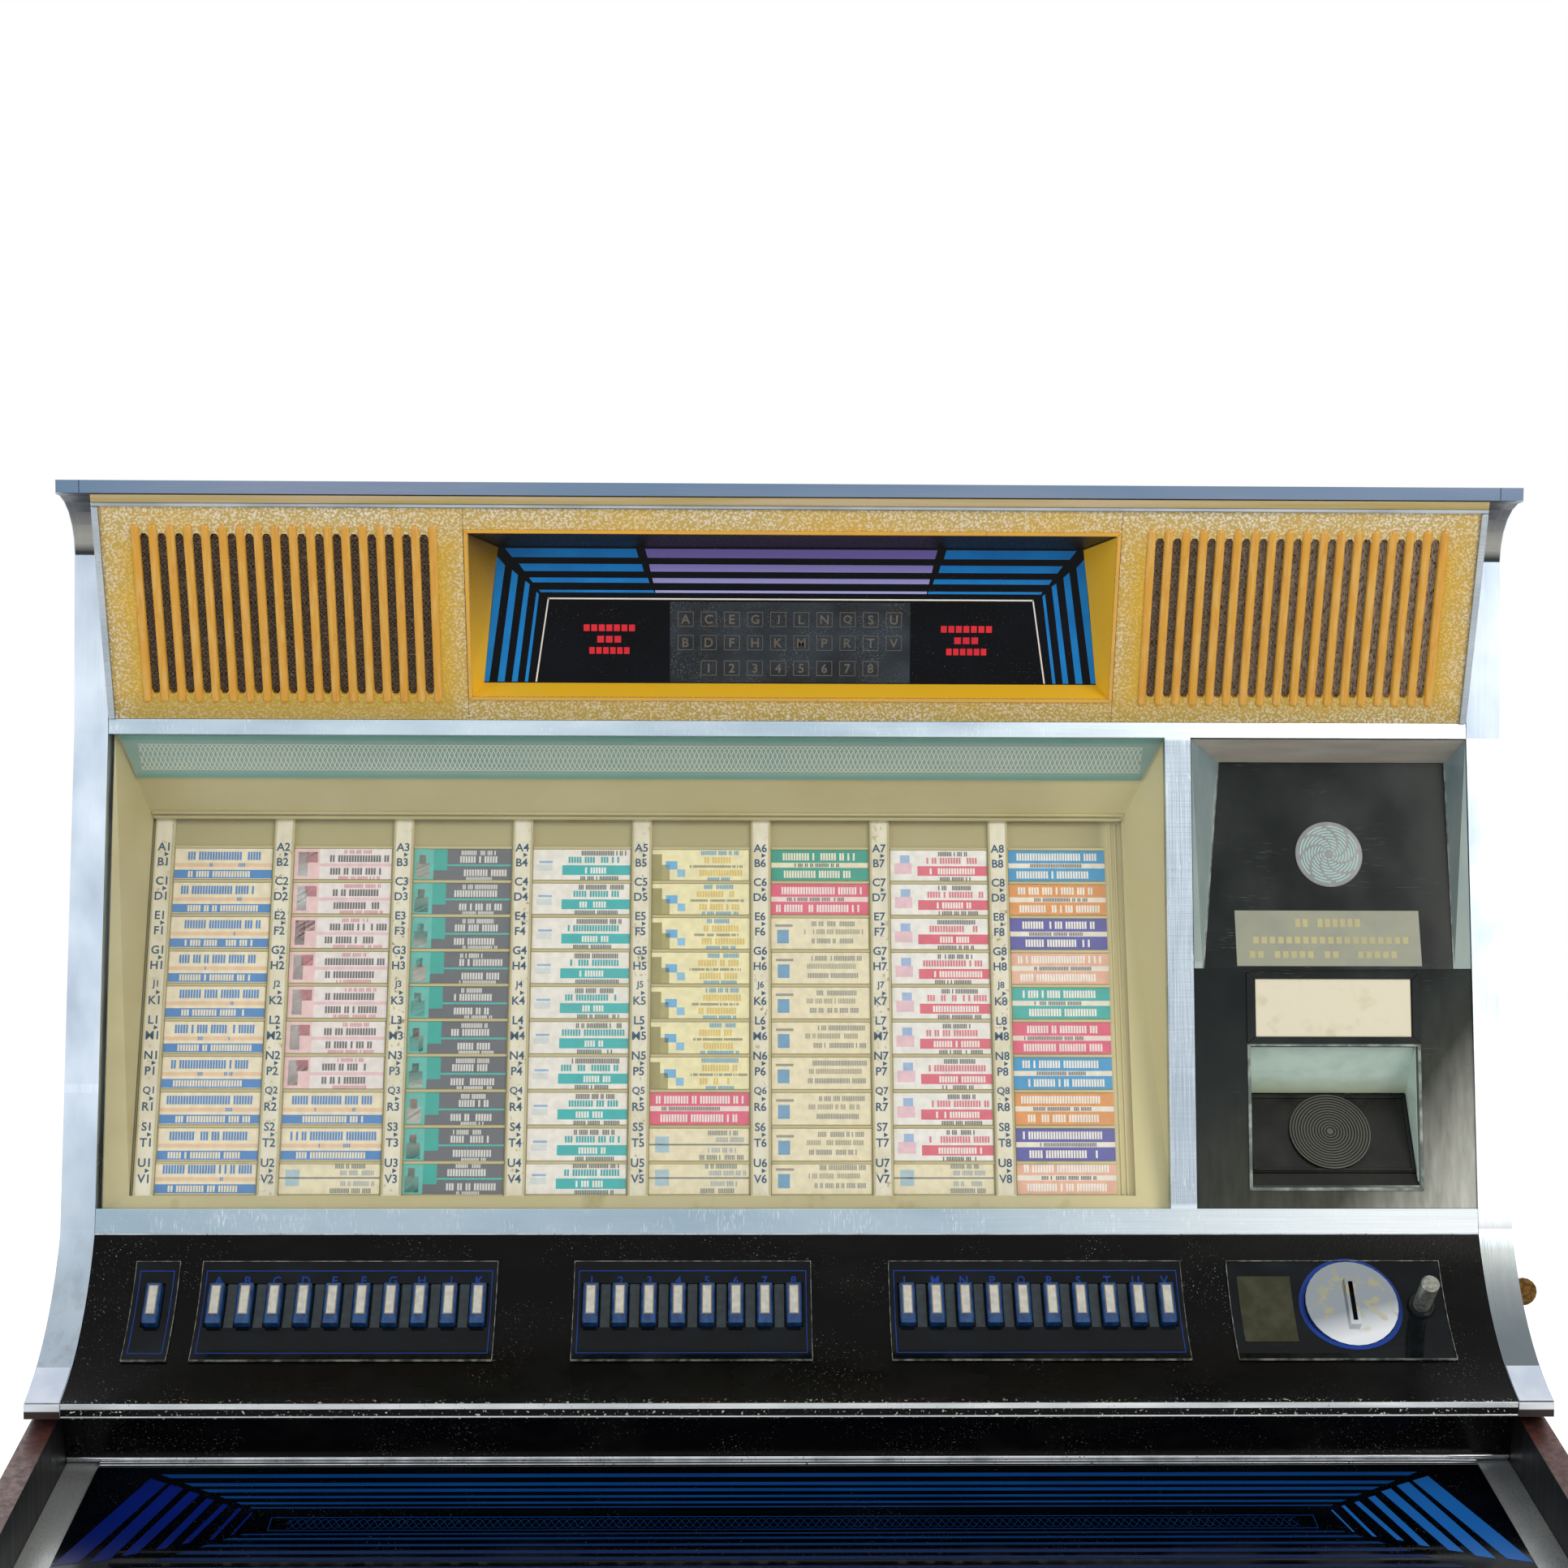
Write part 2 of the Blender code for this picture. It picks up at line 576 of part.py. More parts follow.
def lock_key():
    """Lock barrel with its key: a round barrel, a flat blade and a round bow in one."""
    frame = lock_frame()
    key = drum("lock_key", LOCK_BARREL_RADIUS, -LOCK_BARREL_DEPTH, LOCK_BARREL_PROUD, frame, BRASS)
    blade_end = LOCK_BARREL_PROUD + LOCK_BLADE_LENGTH
    half = LOCK_BOW_THICKNESS / 2
    blade = block("lock_blade", (-half, -LOCK_BLADE_WIDTH / 2, 0),
                  (half, LOCK_BLADE_WIDTH / 2, blade_end), frame, None)
    boolean(key, blade, "UNION")
    turned = frame @ Matrix.Translation((0, 0, blade_end + LOCK_BOW_RADIUS / 2))
    turned = turned @ Matrix.Rotation(math.pi / 2, 4, "Y")
    bow = drum("lock_bow", LOCK_BOW_RADIUS, -half, half, turned, None)
    boolean(key, bow, "UNION")
    carry("lock_axis", frame.translation, key)
    return key


# Header: two slotted speaker grilles and the display bezel between them
def grille(name, side):
    edge = BEZEL_WIDTH / 2 + FIT_GAP
    outer = sorted((side * edge, side * FILL))
    loops = [rectangle(outer[0], outer[1], 0, HEADER_LENGTH)]
    first, last = edge + SLOT_INNER_MARGIN, FILL - SLOT_OUTER_MARGIN
    for slot in range(SLOT_COUNT):
        middle = side * (first + (last - first) * slot / (SLOT_COUNT - 1))
        loops.append(stadium(middle, SLOT_WIDTH, SLOT_RISE, SLOT_RISE + SLOT_LENGTH, ARC_STEPS // 2))
    panel = slab(name, loops, -GRILLE_THICKNESS, 0, HEADER_FRAME, YELLOW_ABS)
    back_y = NOSE_Y + GRILLE_END_SETBACK
    profile = [HEADER_FOOT, (back_y, HEADER_FOOT.y), (back_y, HEADER_TOP.y), HEADER_TOP]
    ends = sorted((side * (FILL - GRILLE_THICKNESS), side * FILL))
    wall = slab("end_wall", [profile], ends[0], ends[1], SIDE_FRAME, None)
    boolean(panel, wall, "UNION")
    return panel


def display():
    """Bezel: a wedge whose front leans with the header and whose back is upright."""
    back_y = NOSE_Y + BEZEL_BACK_SETBACK
    half = BEZEL_WIDTH / 2
    profile = [HEADER_FOOT, (back_y, HEADER_FOOT.y), (back_y, HEADER_TOP.y), HEADER_TOP]
    bezel = slab("display_bezel", [profile], -half, half, SIDE_FRAME, YELLOW_ABS)
    lean = (HEADER_TOP - HEADER_FOOT) / HEADER_LENGTH
    front_low = HEADER_FOOT + lean * (SLOT_RISE - DISPLAY_OVERREACH)
    front_high = HEADER_FOOT + lean * (SLOT_RISE + SLOT_LENGTH + DISPLAY_OVERREACH)
    front_half = half - BEZEL_RIM
    back_low = front_low.y + DISPLAY_CHAMFER
    back_high = front_high.y - DISPLAY_CHAMFER
    corners = []
    for front, back_z, back_half in (
        (front_low, back_low, half - DISPLAY_BOTTOM_TAPER),
        (front_high, back_high, half - DISPLAY_TOP_TAPER),
    ):
        ahead = Vector((front_half, front.x, front.y))
        behind = Vector((back_half, back_y, back_z))
        reach = behind - ahead
        share = CUT_OVERRUN / reach.y
        corners.append((ahead - reach * share, behind + reach * share))
    shape = bmesh.new()
    for ahead, behind in corners:
        for point in (ahead, behind):
            shape.verts.new((-point.x, point.y, point.z))
            shape.verts.new(point)
    bmesh.ops.convex_hull(shape, input=shape.verts)
    bmesh.ops.recalc_face_normals(shape, faces=shape.faces)
    opening = place_object("display_opening", mesh_from(shape, "display_opening"),
                           Matrix.Identity(4), None)
    boolean(bezel, opening)
    glass_y = back_y + FIT_GAP
    half_glass = half - DISPLAY_BOTTOM_TAPER + DISPLAY_GLASS_MARGIN
    glass = block("display_glass",
                  (-half_glass, glass_y, back_low - DISPLAY_GLASS_MARGIN),
                  (half_glass, glass_y + DISPLAY_GLASS_THICKNESS, back_high + DISPLAY_GLASS_MARGIN),
                  Matrix.Identity(4), BLACK_GLASS)
    return [bezel, glass]


# Window: one bright frame of two rails and a post, and the glass left of the post
def window():
    outline = [
        (-FILL, -LOWER_RAIL), (FILL, -LOWER_RAIL), (FILL, 0), (POST_RIGHT, 0),
        (POST_RIGHT, LEAN_LENGTH), (FILL, LEAN_LENGTH), (FILL, LEAN_LENGTH + UPPER_RAIL - FIT_GAP),
        (-FILL, LEAN_LENGTH + UPPER_RAIL - FIT_GAP), (-FILL, LEAN_LENGTH), (POST_LEFT, LEAN_LENGTH),
        (POST_LEFT, 0), (-FILL, 0),
    ]
    frame = slab("window_frame", [outline], -RAIL_THICKNESS, 0, WINDOW_FRAME, CHEEK_METAL)
    back = -WINDOW_GLASS_INSET - WINDOW_GLASS_THICKNESS
    glass = block("window_glass", (-FILL, FIT_GAP, back),
                  (POST_LEFT - FIT_GAP, LEAN_LENGTH - FIT_GAP, -WINDOW_GLASS_INSET),
                  WINDOW_FRAME, CLEAR_GLASS)
    return [frame, glass]


def title_tray():
    """A sloped funnel from the window frame's back to the title rack."""
    low_gap = LOWER_RAIL / 4
    ahead = -RAIL_THICKNESS - TRAY_WALL / 2 - FIT_GAP
    mouth = [
        WINDOW_FRAME @ Vector((x, s, ahead)) for x, s in (
            (-FILL + TRAY_WALL, -low_gap), (POST_LEFT + TRAY_OVERLAP, -low_gap),
            (POST_LEFT + TRAY_OVERLAP, LEAN_LENGTH + TRAY_OVERLAP),
            (-FILL + TRAY_WALL, LEAN_LENGTH + TRAY_OVERLAP))]
    throat = [
        RACK_FRAME @ Vector((x, s, BAR_PROUD + TRAY_WALL / 2)) for x, s in (
            (RACK_LEFT, -FIT_GAP), (RACK_RIGHT, -FIT_GAP),
            (RACK_RIGHT, RACK_LENGTH), (RACK_LEFT, RACK_LENGTH))]
    shape = bmesh.new()
    first = [shape.verts.new(point) for point in mouth]
    second = [shape.verts.new(point) for point in throat]
    for index in range(4):
        after = (index + 1) % 4
        shape.faces.new((first[index], first[after], second[after], second[index]))
    tray = place_object("title_tray", mesh_from(shape, "title_tray"), Matrix.Identity(4), CREAM_ABS)
    wall = tray.modifiers.new("wall", "SOLIDIFY")
    wall.thickness = TRAY_WALL
    wall.offset = 0
    return tray


def title_rack():
    """A plate with upright index bars: one comb outline, run the length of the rack."""
    low, high = RACK_LEFT - RACK_MARGIN, RACK_RIGHT + RACK_MARGIN
    outline = [(low, -RACK_THICKNESS), (high, -RACK_THICKNESS), (high, 0)]
    for bar in reversed(range(BAR_COUNT)):
        middle = BAR_FIRST + bar * BAR_PITCH
        right, left = middle + BAR_WIDTH / 2, middle - BAR_WIDTH / 2
        outline += [(right, 0), (right, BAR_PROUD), (left, BAR_PROUD), (left, 0)]
    outline.append((low, 0))
    rack = slab("title_rack", [outline], -RACK_LENGTH - RACK_MARGIN, 0,
                RACK_FRAME @ comb_turn(), IVORY_ABS)
    carry("title_rack_hinge", RACK_FRAME.translation, rack)
    return rack


def comb_turn():
    """Turns a comb drawn as (across, proud) so that it runs up the rack."""
    return Matrix(((1, 0, 0, 0), (0, 0, -1, 0), (0, 1, 0, 0), (0, 0, 0, 1)))


# Coin column: a bent plate, recessed at the top, with the coin return pocket
def coin_column():
    top = LEAN_LENGTH - FIT_GAP
    face = [
        (top, -RAIL_THICKNESS), (LEAN_LENGTH - COIN_TOP_SHOULDER, -COIN_RECESS_DEPTH),
        (LEAN_LENGTH - COIN_BREAK, -COIN_FACE_INSET), (FIT_GAP, -COIN_FACE_INSET),
    ]
    back = [(s, n - COIN_PLATE) for s, n in reversed(face)]
    back[-1] = (top, -RAIL_THICKNESS - COIN_PLATE)
    left, right = POST_RIGHT + FIT_GAP, FILL
    panel = slab("coin_panel", [face + back], left, right, WINDOW_FRAME @ SIDE_FRAME, BLACK_GLOSS)
    low = LEAN_LENGTH - RETURN_DROP - RETURN_HEIGHT
    high = LEAN_LENGTH - RETURN_DROP
    west, east = RETURN_CENTRE - RETURN_WIDTH / 2, RETURN_CENTRE + RETURN_WIDTH / 2
    skin = POCKET_WALL
    sleeve = block("return_sleeve", (west - skin, low - skin, -COIN_FACE_INSET - POCKET_DEPTH),
                   (east + skin, high + skin, -COIN_FACE_INSET - FIT_GAP), WINDOW_FRAME, None)
    boolean(panel, sleeve, "UNION")
    mouth = block("return_mouth", (west, low, -COIN_FACE_INSET - POCKET_DEPTH - CUT_OVERRUN),
                  (east, high, CUT_OVERRUN), WINDOW_FRAME, None)
    boolean(panel, mouth)
    lit_high = LEAN_LENGTH - LIT_WINDOW_DROP
    lit = block("lit_window_sink",
                (RETURN_CENTRE - LIT_WINDOW_WIDTH / 2, lit_high - LIT_WINDOW_HEIGHT,
                 -COIN_FACE_INSET - LIT_WINDOW_DEPTH),
                (RETURN_CENTRE + LIT_WINDOW_WIDTH / 2, lit_high, CUT_OVERRUN), WINDOW_FRAME, None)
    boolean(panel, lit)
    return panel


def return_flap():
    """Flap hinged along its top edge inside the pocket, with a raised round boss."""
    hinge_s = LEAN_LENGTH - RETURN_DROP - FLAP_TOP_DROP
    hinge = WINDOW_FRAME @ Vector((0, hinge_s, -FLAP_TOP_INSET))
    reach = FLAP_TOP_INSET - FLAP_BOTTOM_INSET
    fall = math.sqrt(FLAP_LENGTH ** 2 - reach ** 2)
    foot = WINDOW_FRAME @ Vector((0, hinge_s - fall, -FLAP_BOTTOM_INSET))
    frame = lean_frame((foot.y, foot.z), (hinge.y - foot.y, hinge.z - foot.z))
    half = RETURN_WIDTH / 2 - RUN_GAP
    flap = block("coin_return_flap", (RETURN_CENTRE - half, 0, -FLAP_THICKNESS),
                 (RETURN_CENTRE + half, FLAP_LENGTH, 0), frame, BLACK_SATIN)
    boss_frame = frame @ Matrix.Translation((RETURN_CENTRE, FLAP_LENGTH / 2, 0))
    boss = drum("flap_boss", FLAP_DISC_RADIUS, -FLAP_THICKNESS / 2, FLAP_DISC_PROUD,
                boss_frame, None, ROUND_STEPS)
    boolean(flap, boss, "UNION")
    carry("coin_return_hinge", (RETURN_CENTRE, hinge.y, hinge.z), flap)
    return flap


# Key panel: a curved sheet with a row of keys, the coin entry and the reject button
def key_places():
    """Name and X of each key, left to right."""
    places = [("key_reset", RESET_KEY_SHARE * FILL)]
    for letters, share in ((LEFT_KEYS, LEFT_KEYS_SHARE), (MIDDLE_KEYS, MIDDLE_KEYS_SHARE),
                           (RIGHT_KEYS, RIGHT_KEYS_SHARE)):
        for number, letter in enumerate(letters):
            places.append(("key_" + letter, share * FILL + number * KEY_PITCH))
    return places


def key_panel():
    row = curve_frame(KEY_ROW_SHARE)
    face = arc_offset(KEY_CURVE, FIT_GAP)
    face[-1] = KEY_CURVE[-1]
    under = arc_offset(KEY_CURVE, KEY_PANEL_THICKNESS)
    lip = Vector((KEY_CURVE[-1].x, KEY_CURVE[-1].y - LIP_HEIGHT))
    heel = Vector((NOSE_Y + APRON_TOP_SETBACK + APRON_THICKNESS, SHELF_HEIGHT + 2 * FIT_GAP))
    rise = Vector((0, KEY_PANEL_THICKNESS))
    lip_back = Vector((lip.x + KEY_PANEL_THICKNESS, lip.y)) + rise
    under_end = Vector((lip_back.x, under[-1].y))
    profile = face + [lip, heel, heel + rise, lip_back, under_end] + list(reversed(under[:-1]))
    drop = Vector((0, FIT_GAP))
    profile = [Vector(point) - drop for point in profile]
    panel = slab("key_panel", [profile], -FILL, FILL, SIDE_FRAME, BLACK_SATIN)
    holes = bmesh.new()
    for name, place in key_places():
        made = bmesh.ops.create_cube(holes, size=1)
        size = Vector((KEY_WIDTH + 2 * FIT_GAP, KEY_LENGTH + 2 * FIT_GAP, 2 * CUT_OVERRUN))
        bmesh.ops.scale(holes, vec=size, verts=made["verts"])
        bmesh.ops.translate(holes, vec=(place, 0, 0), verts=made["verts"])
    for place, radius in ((COIN_DISC_PLACE, COIN_DISC_RADIUS), (BUTTON_PLACE, BUTTON_RADIUS)):
        made = bmesh.ops.create_cone(holes, cap_ends=True, segments=ROUND_STEPS,
                                     radius1=radius + FIT_GAP, radius2=radius + FIT_GAP,
                                     depth=2 * CUT_OVERRUN)
        bmesh.ops.translate(holes, vec=(place, 0, 0), verts=made["verts"])
    cutter = place_object("key_holes", mesh_from(holes, "key_holes"), row, None)
    boolean(panel, cutter)
    return panel


def keys():
    shape = bmesh.new()
    bmesh.ops.create_cube(shape, size=1)
    size = Vector((KEY_WIDTH, KEY_LENGTH, KEY_PROUD + KEY_DEPTH))
    bmesh.ops.scale(shape, vec=size, verts=shape.verts)
    mesh = mesh_from(shape, "selection key")
    row = curve_frame(KEY_ROW_SHARE)
    middle = (KEY_PROUD - KEY_DEPTH) / 2
    mesh.materials.append(BLUE_ABS)
    for name, place in key_places():
        key = bpy.data.objects.new(name, mesh)
        key.matrix_world = row @ Matrix.Translation((place, 0, middle))
        PARTS.objects.link(key)
        bevel(key, KEY_BEVEL)


def coin_entry():
    spot = curve_frame(KEY_ROW_SHARE) @ Matrix.Translation((COIN_DISC_PLACE, 0, 0))
    disc = drum("coin_entry", COIN_DISC_RADIUS, -COIN_DISC_DEPTH, COIN_DISC_PROUD, spot, CHROME,
                ROUND_STEPS)
    half_width, half_length = COIN_RIM_WIDTH / 2, COIN_RIM_LENGTH / 2
    rim = block("coin_rim", (-half_width, -half_length, 0),
                (half_width, half_length, COIN_DISC_PROUD + COIN_RIM_PROUD), spot, None)
    boolean(disc, rim, "UNION")
    half_width, half_length = COIN_SLOT_WIDTH / 2, COIN_SLOT_LENGTH / 2
    slot = block("coin_slot", (-half_width, -half_length, -COIN_DISC_DEPTH - CUT_OVERRUN),
                 (half_width, half_length, COIN_DISC_PROUD + COIN_RIM_PROUD + CUT_OVERRUN), spot, None)
    boolean(disc, slot)
    return disc


def reject_button():
    spot = curve_frame(KEY_ROW_SHARE) @ Matrix.Translation((BUTTON_PLACE, 0, 0))
    button = drum("reject_button", BUTTON_RADIUS, -BUTTON_DEPTH, BUTTON_PROUD, spot, CHROME,
                  ROUND_STEPS)
    return bevel(button, BUTTON_BEVEL)


# Record mechanism: a base plate with its posts, magazine, turntable and tone arm
def mechanism():
    middle = Matrix.Translation((0, MECHANISM_PLACE, 0))
    half = MAGAZINE_RADIUS + MECHANISM_MARGIN
    plate = block("mechanism_base", (-BAY, MECHANISM_PLACE - half, MECHANISM_HEIGHT),
                  (BAY, MECHANISM_PLACE + half, PLATE_TOP), Matrix.Identity(4), ZINC)
    post = drum("centre_post", CENTRE_POST_RADIUS, MECHANISM_HEIGHT, TURNTABLE_HEIGHT - FIT_GAP,
                middle, None, ROUND_STEPS)
    boolean(plate, post, "UNION")
    arm_middle = Matrix.Translation((ARM_POST_PLACE, MECHANISM_PLACE, 0))
    arm_height = TURNTABLE_HEIGHT + TURNTABLE_THICKNESS + ARM_RISE
    arm_post = drum("arm_post", ARM_POST_RADIUS, MECHANISM_HEIGHT,
                    arm_height - ARM_HUB_HEIGHT / 2 - FIT_GAP, arm_middle, None)
    boolean(plate, arm_post, "UNION")
    magazine(PLATE_TOP + FIT_GAP)
    platter = drum("turntable", TURNTABLE_RADIUS, TURNTABLE_HEIGHT,
                   TURNTABLE_HEIGHT + TURNTABLE_THICKNESS, middle, BLACK_RUBBER, ROUND_STEPS)
    spindle = drum("spindle", SPINDLE_RADIUS, TURNTABLE_HEIGHT + TURNTABLE_THICKNESS / 2,
                   TURNTABLE_HEIGHT + TURNTABLE_THICKNESS + SPINDLE_HEIGHT, middle, None,
                   SMALL_ROUND_STEPS)
    boolean(platter, spindle, "UNION")
    tone_arm(arm_middle @ Matrix.Translation((0, 0, arm_height)))


def magazine(floor):
    """A turned basket: hub tube, floor and outer rim, run down from the hub's top."""
    bore = CENTRE_POST_RADIUS + FIT_GAP
    rim = MAGAZINE_RADIUS - MAGAZINE_WALL
    profile = [
        (bore, MAGAZINE_HUB_HEIGHT), (MAGAZINE_HUB_RADIUS, MAGAZINE_HUB_HEIGHT),
        (MAGAZINE_HUB_RADIUS, MAGAZINE_FLOOR), (rim, MAGAZINE_FLOOR),
        (rim, MAGAZINE_RIM_HEIGHT), (MAGAZINE_RADIUS, MAGAZINE_RIM_HEIGHT),
        (MAGAZINE_RADIUS, 0), (bore, 0),
    ]
    mesh = bpy.data.meshes.new("record_magazine")
    count = len(profile)
    mesh.from_pydata([(radius, 0, height) for radius, height in profile],
                     [(index, (index + 1) % count) for index in range(count)], [])
    basket = place_object("record_magazine", mesh,
                          Matrix.Translation((0, MECHANISM_PLACE, floor)), ZINC)
    turn = basket.modifiers.new("turned", "SCREW")
    turn.steps = ROUND_STEPS
    turn.render_steps = ROUND_STEPS
    turn.use_merge_vertices = True
    turn.merge_threshold = WELD
    return basket


def tone_arm(frame):
    hub = drum("tone_arm", ARM_HUB_RADIUS, -ARM_HUB_HEIGHT / 2, ARM_HUB_HEIGHT / 2, frame, CHROME)
    along = frame @ Matrix.Rotation(-math.pi / 2, 4, "Y")
    tube = drum("arm_tube", ARM_RADIUS, -ARM_TAIL, ARM_LENGTH, along, None)
    boolean(hub, tube, "UNION")
    half = ARM_HEAD_WIDTH / 2
    head = block("arm_head", (-ARM_LENGTH - ARM_HEAD_LENGTH / 2, -half, -ARM_HEAD_HEIGHT),
                 (-ARM_LENGTH + ARM_HEAD_LENGTH / 2, half, ARM_RADIUS / 2), frame, None)
    boolean(hub, head, "UNION")
    return hub


def amplifier():
    half = AMPLIFIER_WIDTH / 2
    back = BACK_Y - REAR_DOOR_THICKNESS - BOARD
    box = block("amplifier", (AMPLIFIER_PLACE - half, back - AMPLIFIER_DEPTH, BOARD + FIT_GAP),
                (AMPLIFIER_PLACE + half, back, BOARD + FIT_GAP + AMPLIFIER_HEIGHT),
                Matrix.Identity(4), ZINC)
    return bevel(box, AMPLIFIER_BEVEL)


def lid():
    """Everything that lifts with the lid, on the hinge at the cap's rear foot."""
    pieces = [cap()] + cheeks() + [grille("grille_left", -1), grille("grille_right", 1)]
    pieces += display() + window() + [title_tray(), coin_column(), key_panel(), coin_entry()]
    carry("lid_hinge", (0, BACK_Y, CAP_UNDER), *pieces)


side_boards()
carcase()
lower_door()
apron_and_deck()
lid()
lock_key()
title_rack()
return_flap()
keys()
reject_button()
mechanism()
amplifier()
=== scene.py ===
import math

import bmesh
import bpy
import numpy as np
from mathutils import Matrix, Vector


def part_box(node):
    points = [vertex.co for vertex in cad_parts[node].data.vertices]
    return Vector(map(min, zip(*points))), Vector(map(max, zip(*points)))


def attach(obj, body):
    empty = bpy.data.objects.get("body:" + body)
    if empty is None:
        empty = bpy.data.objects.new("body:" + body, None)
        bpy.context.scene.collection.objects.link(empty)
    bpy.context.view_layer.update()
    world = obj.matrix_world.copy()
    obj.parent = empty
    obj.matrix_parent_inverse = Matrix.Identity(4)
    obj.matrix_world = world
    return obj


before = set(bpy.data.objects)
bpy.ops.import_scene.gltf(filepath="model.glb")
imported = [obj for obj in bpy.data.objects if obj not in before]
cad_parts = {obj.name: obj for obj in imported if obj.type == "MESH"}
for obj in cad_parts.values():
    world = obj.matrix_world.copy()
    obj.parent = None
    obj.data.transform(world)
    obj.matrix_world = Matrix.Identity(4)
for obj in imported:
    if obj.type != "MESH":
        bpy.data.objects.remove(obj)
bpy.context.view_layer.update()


# Studio: a pale floor, soft light from above and ahead with a stronger side on the right, and a
# camera where the photograph was taken, level with the lid. White shows behind, as in the photo.
def linear(code):
    """sRGB hex to linear: c / 12.92 up to 0.04045, else ((c + 0.055) / 1.055) ^ 2.4."""
    values = np.array([int(code[place:place + 2], 16) for place in (1, 3, 5)]) / 255
    curved = np.where(values <= 0.04045, values / 12.92, ((values + 0.055) / 1.055) ** 2.4)
    return (*curved.tolist(), 1.0)


def fill(node, inputs):
    """Set a node's sockets, by name or number, each to a constant or to another's output."""
    for key, value in inputs.items():
        if isinstance(value, bpy.types.NodeSocket):
            node.id_data.links.new(value, node.inputs[key])
        else:
            node.inputs[key].default_value = value
    return node


def add_node(beside, kind, inputs=None, **settings):
    """Add a shader node, with its settings and links, to a tree or beside a socket of one."""
    made = beside.id_data.nodes.new("ShaderNode" + kind)
    for name, value in settings.items():
        setattr(made, name, value)
    return fill(made, inputs or {})


def larger(first, second):
    """The larger of two shares from 0 to 1."""
    return add_node(first, "Math", {0: first, 1: second}, operation="MAXIMUM").outputs[0]


def white_behind(tree, light, seen_light=1.0):
    """Its full strength where the camera, metal or glass sees it, a plainer light elsewhere."""
    path = add_node(tree, "LightPath").outputs
    seen = larger(path["Is Camera Ray"], larger(path["Is Glossy Ray"], path["Is Transmission Ray"]))
    return add_node(tree, "MapRange", {"Value": seen, "To Min": light,
                                       "To Max": seen_light}).outputs[0]


SKY_LIGHT = 0.62
FLOOR_GLOW = 0.42
world = bpy.data.worlds.new("studio white")
bpy.context.scene.world = world
world.use_nodes = True
sky = world.node_tree.nodes["Background"]
fill(sky, {"Color": (1.0, 1.0, 1.0, 1.0), "Strength": white_behind(world.node_tree, SKY_LIGHT)})
bpy.context.scene.view_settings.view_transform = "Standard"

floor_mesh = bpy.data.meshes.new("studio_floor")
floor_mesh.from_pydata([(-6, -6, 0), (6, -6, 0), (6, 6, 0), (-6, 6, 0)], [], [(0, 1, 2, 3)])
studio_floor = bpy.data.objects.new("studio_floor", floor_mesh)
bpy.context.scene.collection.objects.link(studio_floor)
floor_finish = bpy.data.materials.new("pale studio floor")
floor_finish.use_nodes = True
glow = white_behind(floor_finish.node_tree, 0.0, FLOOR_GLOW)
fill(floor_finish.node_tree.nodes["Principled BSDF"],
     {"Base Color": linear("#f7f7f6"), "Roughness": 0.9, "Specular IOR Level": 0.1,
      "Emission Color": (1.0, 1.0, 1.0, 1.0), "Emission Strength": glow})
floor_mesh.materials.append(floor_finish)


def aim(place, forward, right):
    """World matrix of a camera or lamp that looks along forward."""
    forward = np.array(forward, float) / np.linalg.norm(forward)
    right = np.array(right, float) - forward * (forward @ np.array(right, float))
    right /= np.linalg.norm(right)
    turned = np.eye(4)
    turned[:3] = np.stack([right, np.cross(right, forward), -forward, place], 1)
    return Matrix(turned.tolist())


for name, place, target, watts, size, tone in (
    ("key_lamp", (2.3, -2.9, 3.0), (0, 0, 0.95), 62.0, 1.6, "#fffaf2"),
    ("left_lamp", (-3.0, -2.2, 2.0), (0, 0, 0.9), 24.0, 1.8, "#eaf3ff"),
    ("rear_lamp", (-0.6, 3.2, 2.8), (0, 0, 0.9), 30.0, 2.0, "#ffffff"),
):
    lamp = bpy.data.lights.new(name, "AREA")
    lamp.energy = watts
    lamp.size = size
    lamp.color = linear(tone)[:3]
    holder = bpy.data.objects.new(name, lamp)
    bpy.context.scene.collection.objects.link(holder)
    holder.matrix_world = aim(place, np.subtract(target, place), (1, 0.01, 0))

CAMERA_PLACE = (-0.047, -1.993, 1.2634)
CAMERA_YAW, CAMERA_PITCH, CAMERA_ROLL = (math.radians(turn) for turn in (1.24, 5.18, -0.30))
LENS_MM, SENSOR_MM = 62.65, 36.0
look = np.array([math.sin(CAMERA_YAW) * math.cos(CAMERA_PITCH),
                 math.cos(CAMERA_YAW) * math.cos(CAMERA_PITCH), -math.sin(CAMERA_PITCH)])
level = np.array([math.cos(CAMERA_YAW), -math.sin(CAMERA_YAW), 0.0])
tilted = level * math.cos(CAMERA_ROLL) + np.cross(look, level) * math.sin(CAMERA_ROLL)
camera = bpy.data.objects.new("camera", bpy.data.cameras.new("camera"))
camera.data.lens = LENS_MM
camera.data.sensor_width = SENSOR_MM
bpy.context.scene.collection.objects.link(camera)
camera.matrix_world = aim(CAMERA_PLACE, look, tilted)
bpy.context.scene.camera = camera


# Side boards: chipboard faced with a dark walnut laminate outside and on the front edge, the grain
# upright, scuffed pale low down; the inner faces are sprayed black.
def new_finish(name, colour, roughness, **sockets):
    """A material, its Principled shader and the Object coordinates to pattern it by."""
    made = bpy.data.materials.new(name)
    made.use_nodes = True
    shader = made.node_tree.nodes["Principled BSDF"]
    fill(shader, {"Base Color": linear(colour), "Roughness": roughness})
    fill(shader, {socket.replace("_", " "): value for socket, value in sockets.items()})
    return made, shader, add_node(shader, "TexCoord").outputs["Object"]


def ranged(value, start, end):
    """0 where a value is at start or before it, 1 at end and past it."""
    return add_node(value, "MapRange", {"Value": value, "From Min": start,
                                        "From Max": end}).outputs[0]


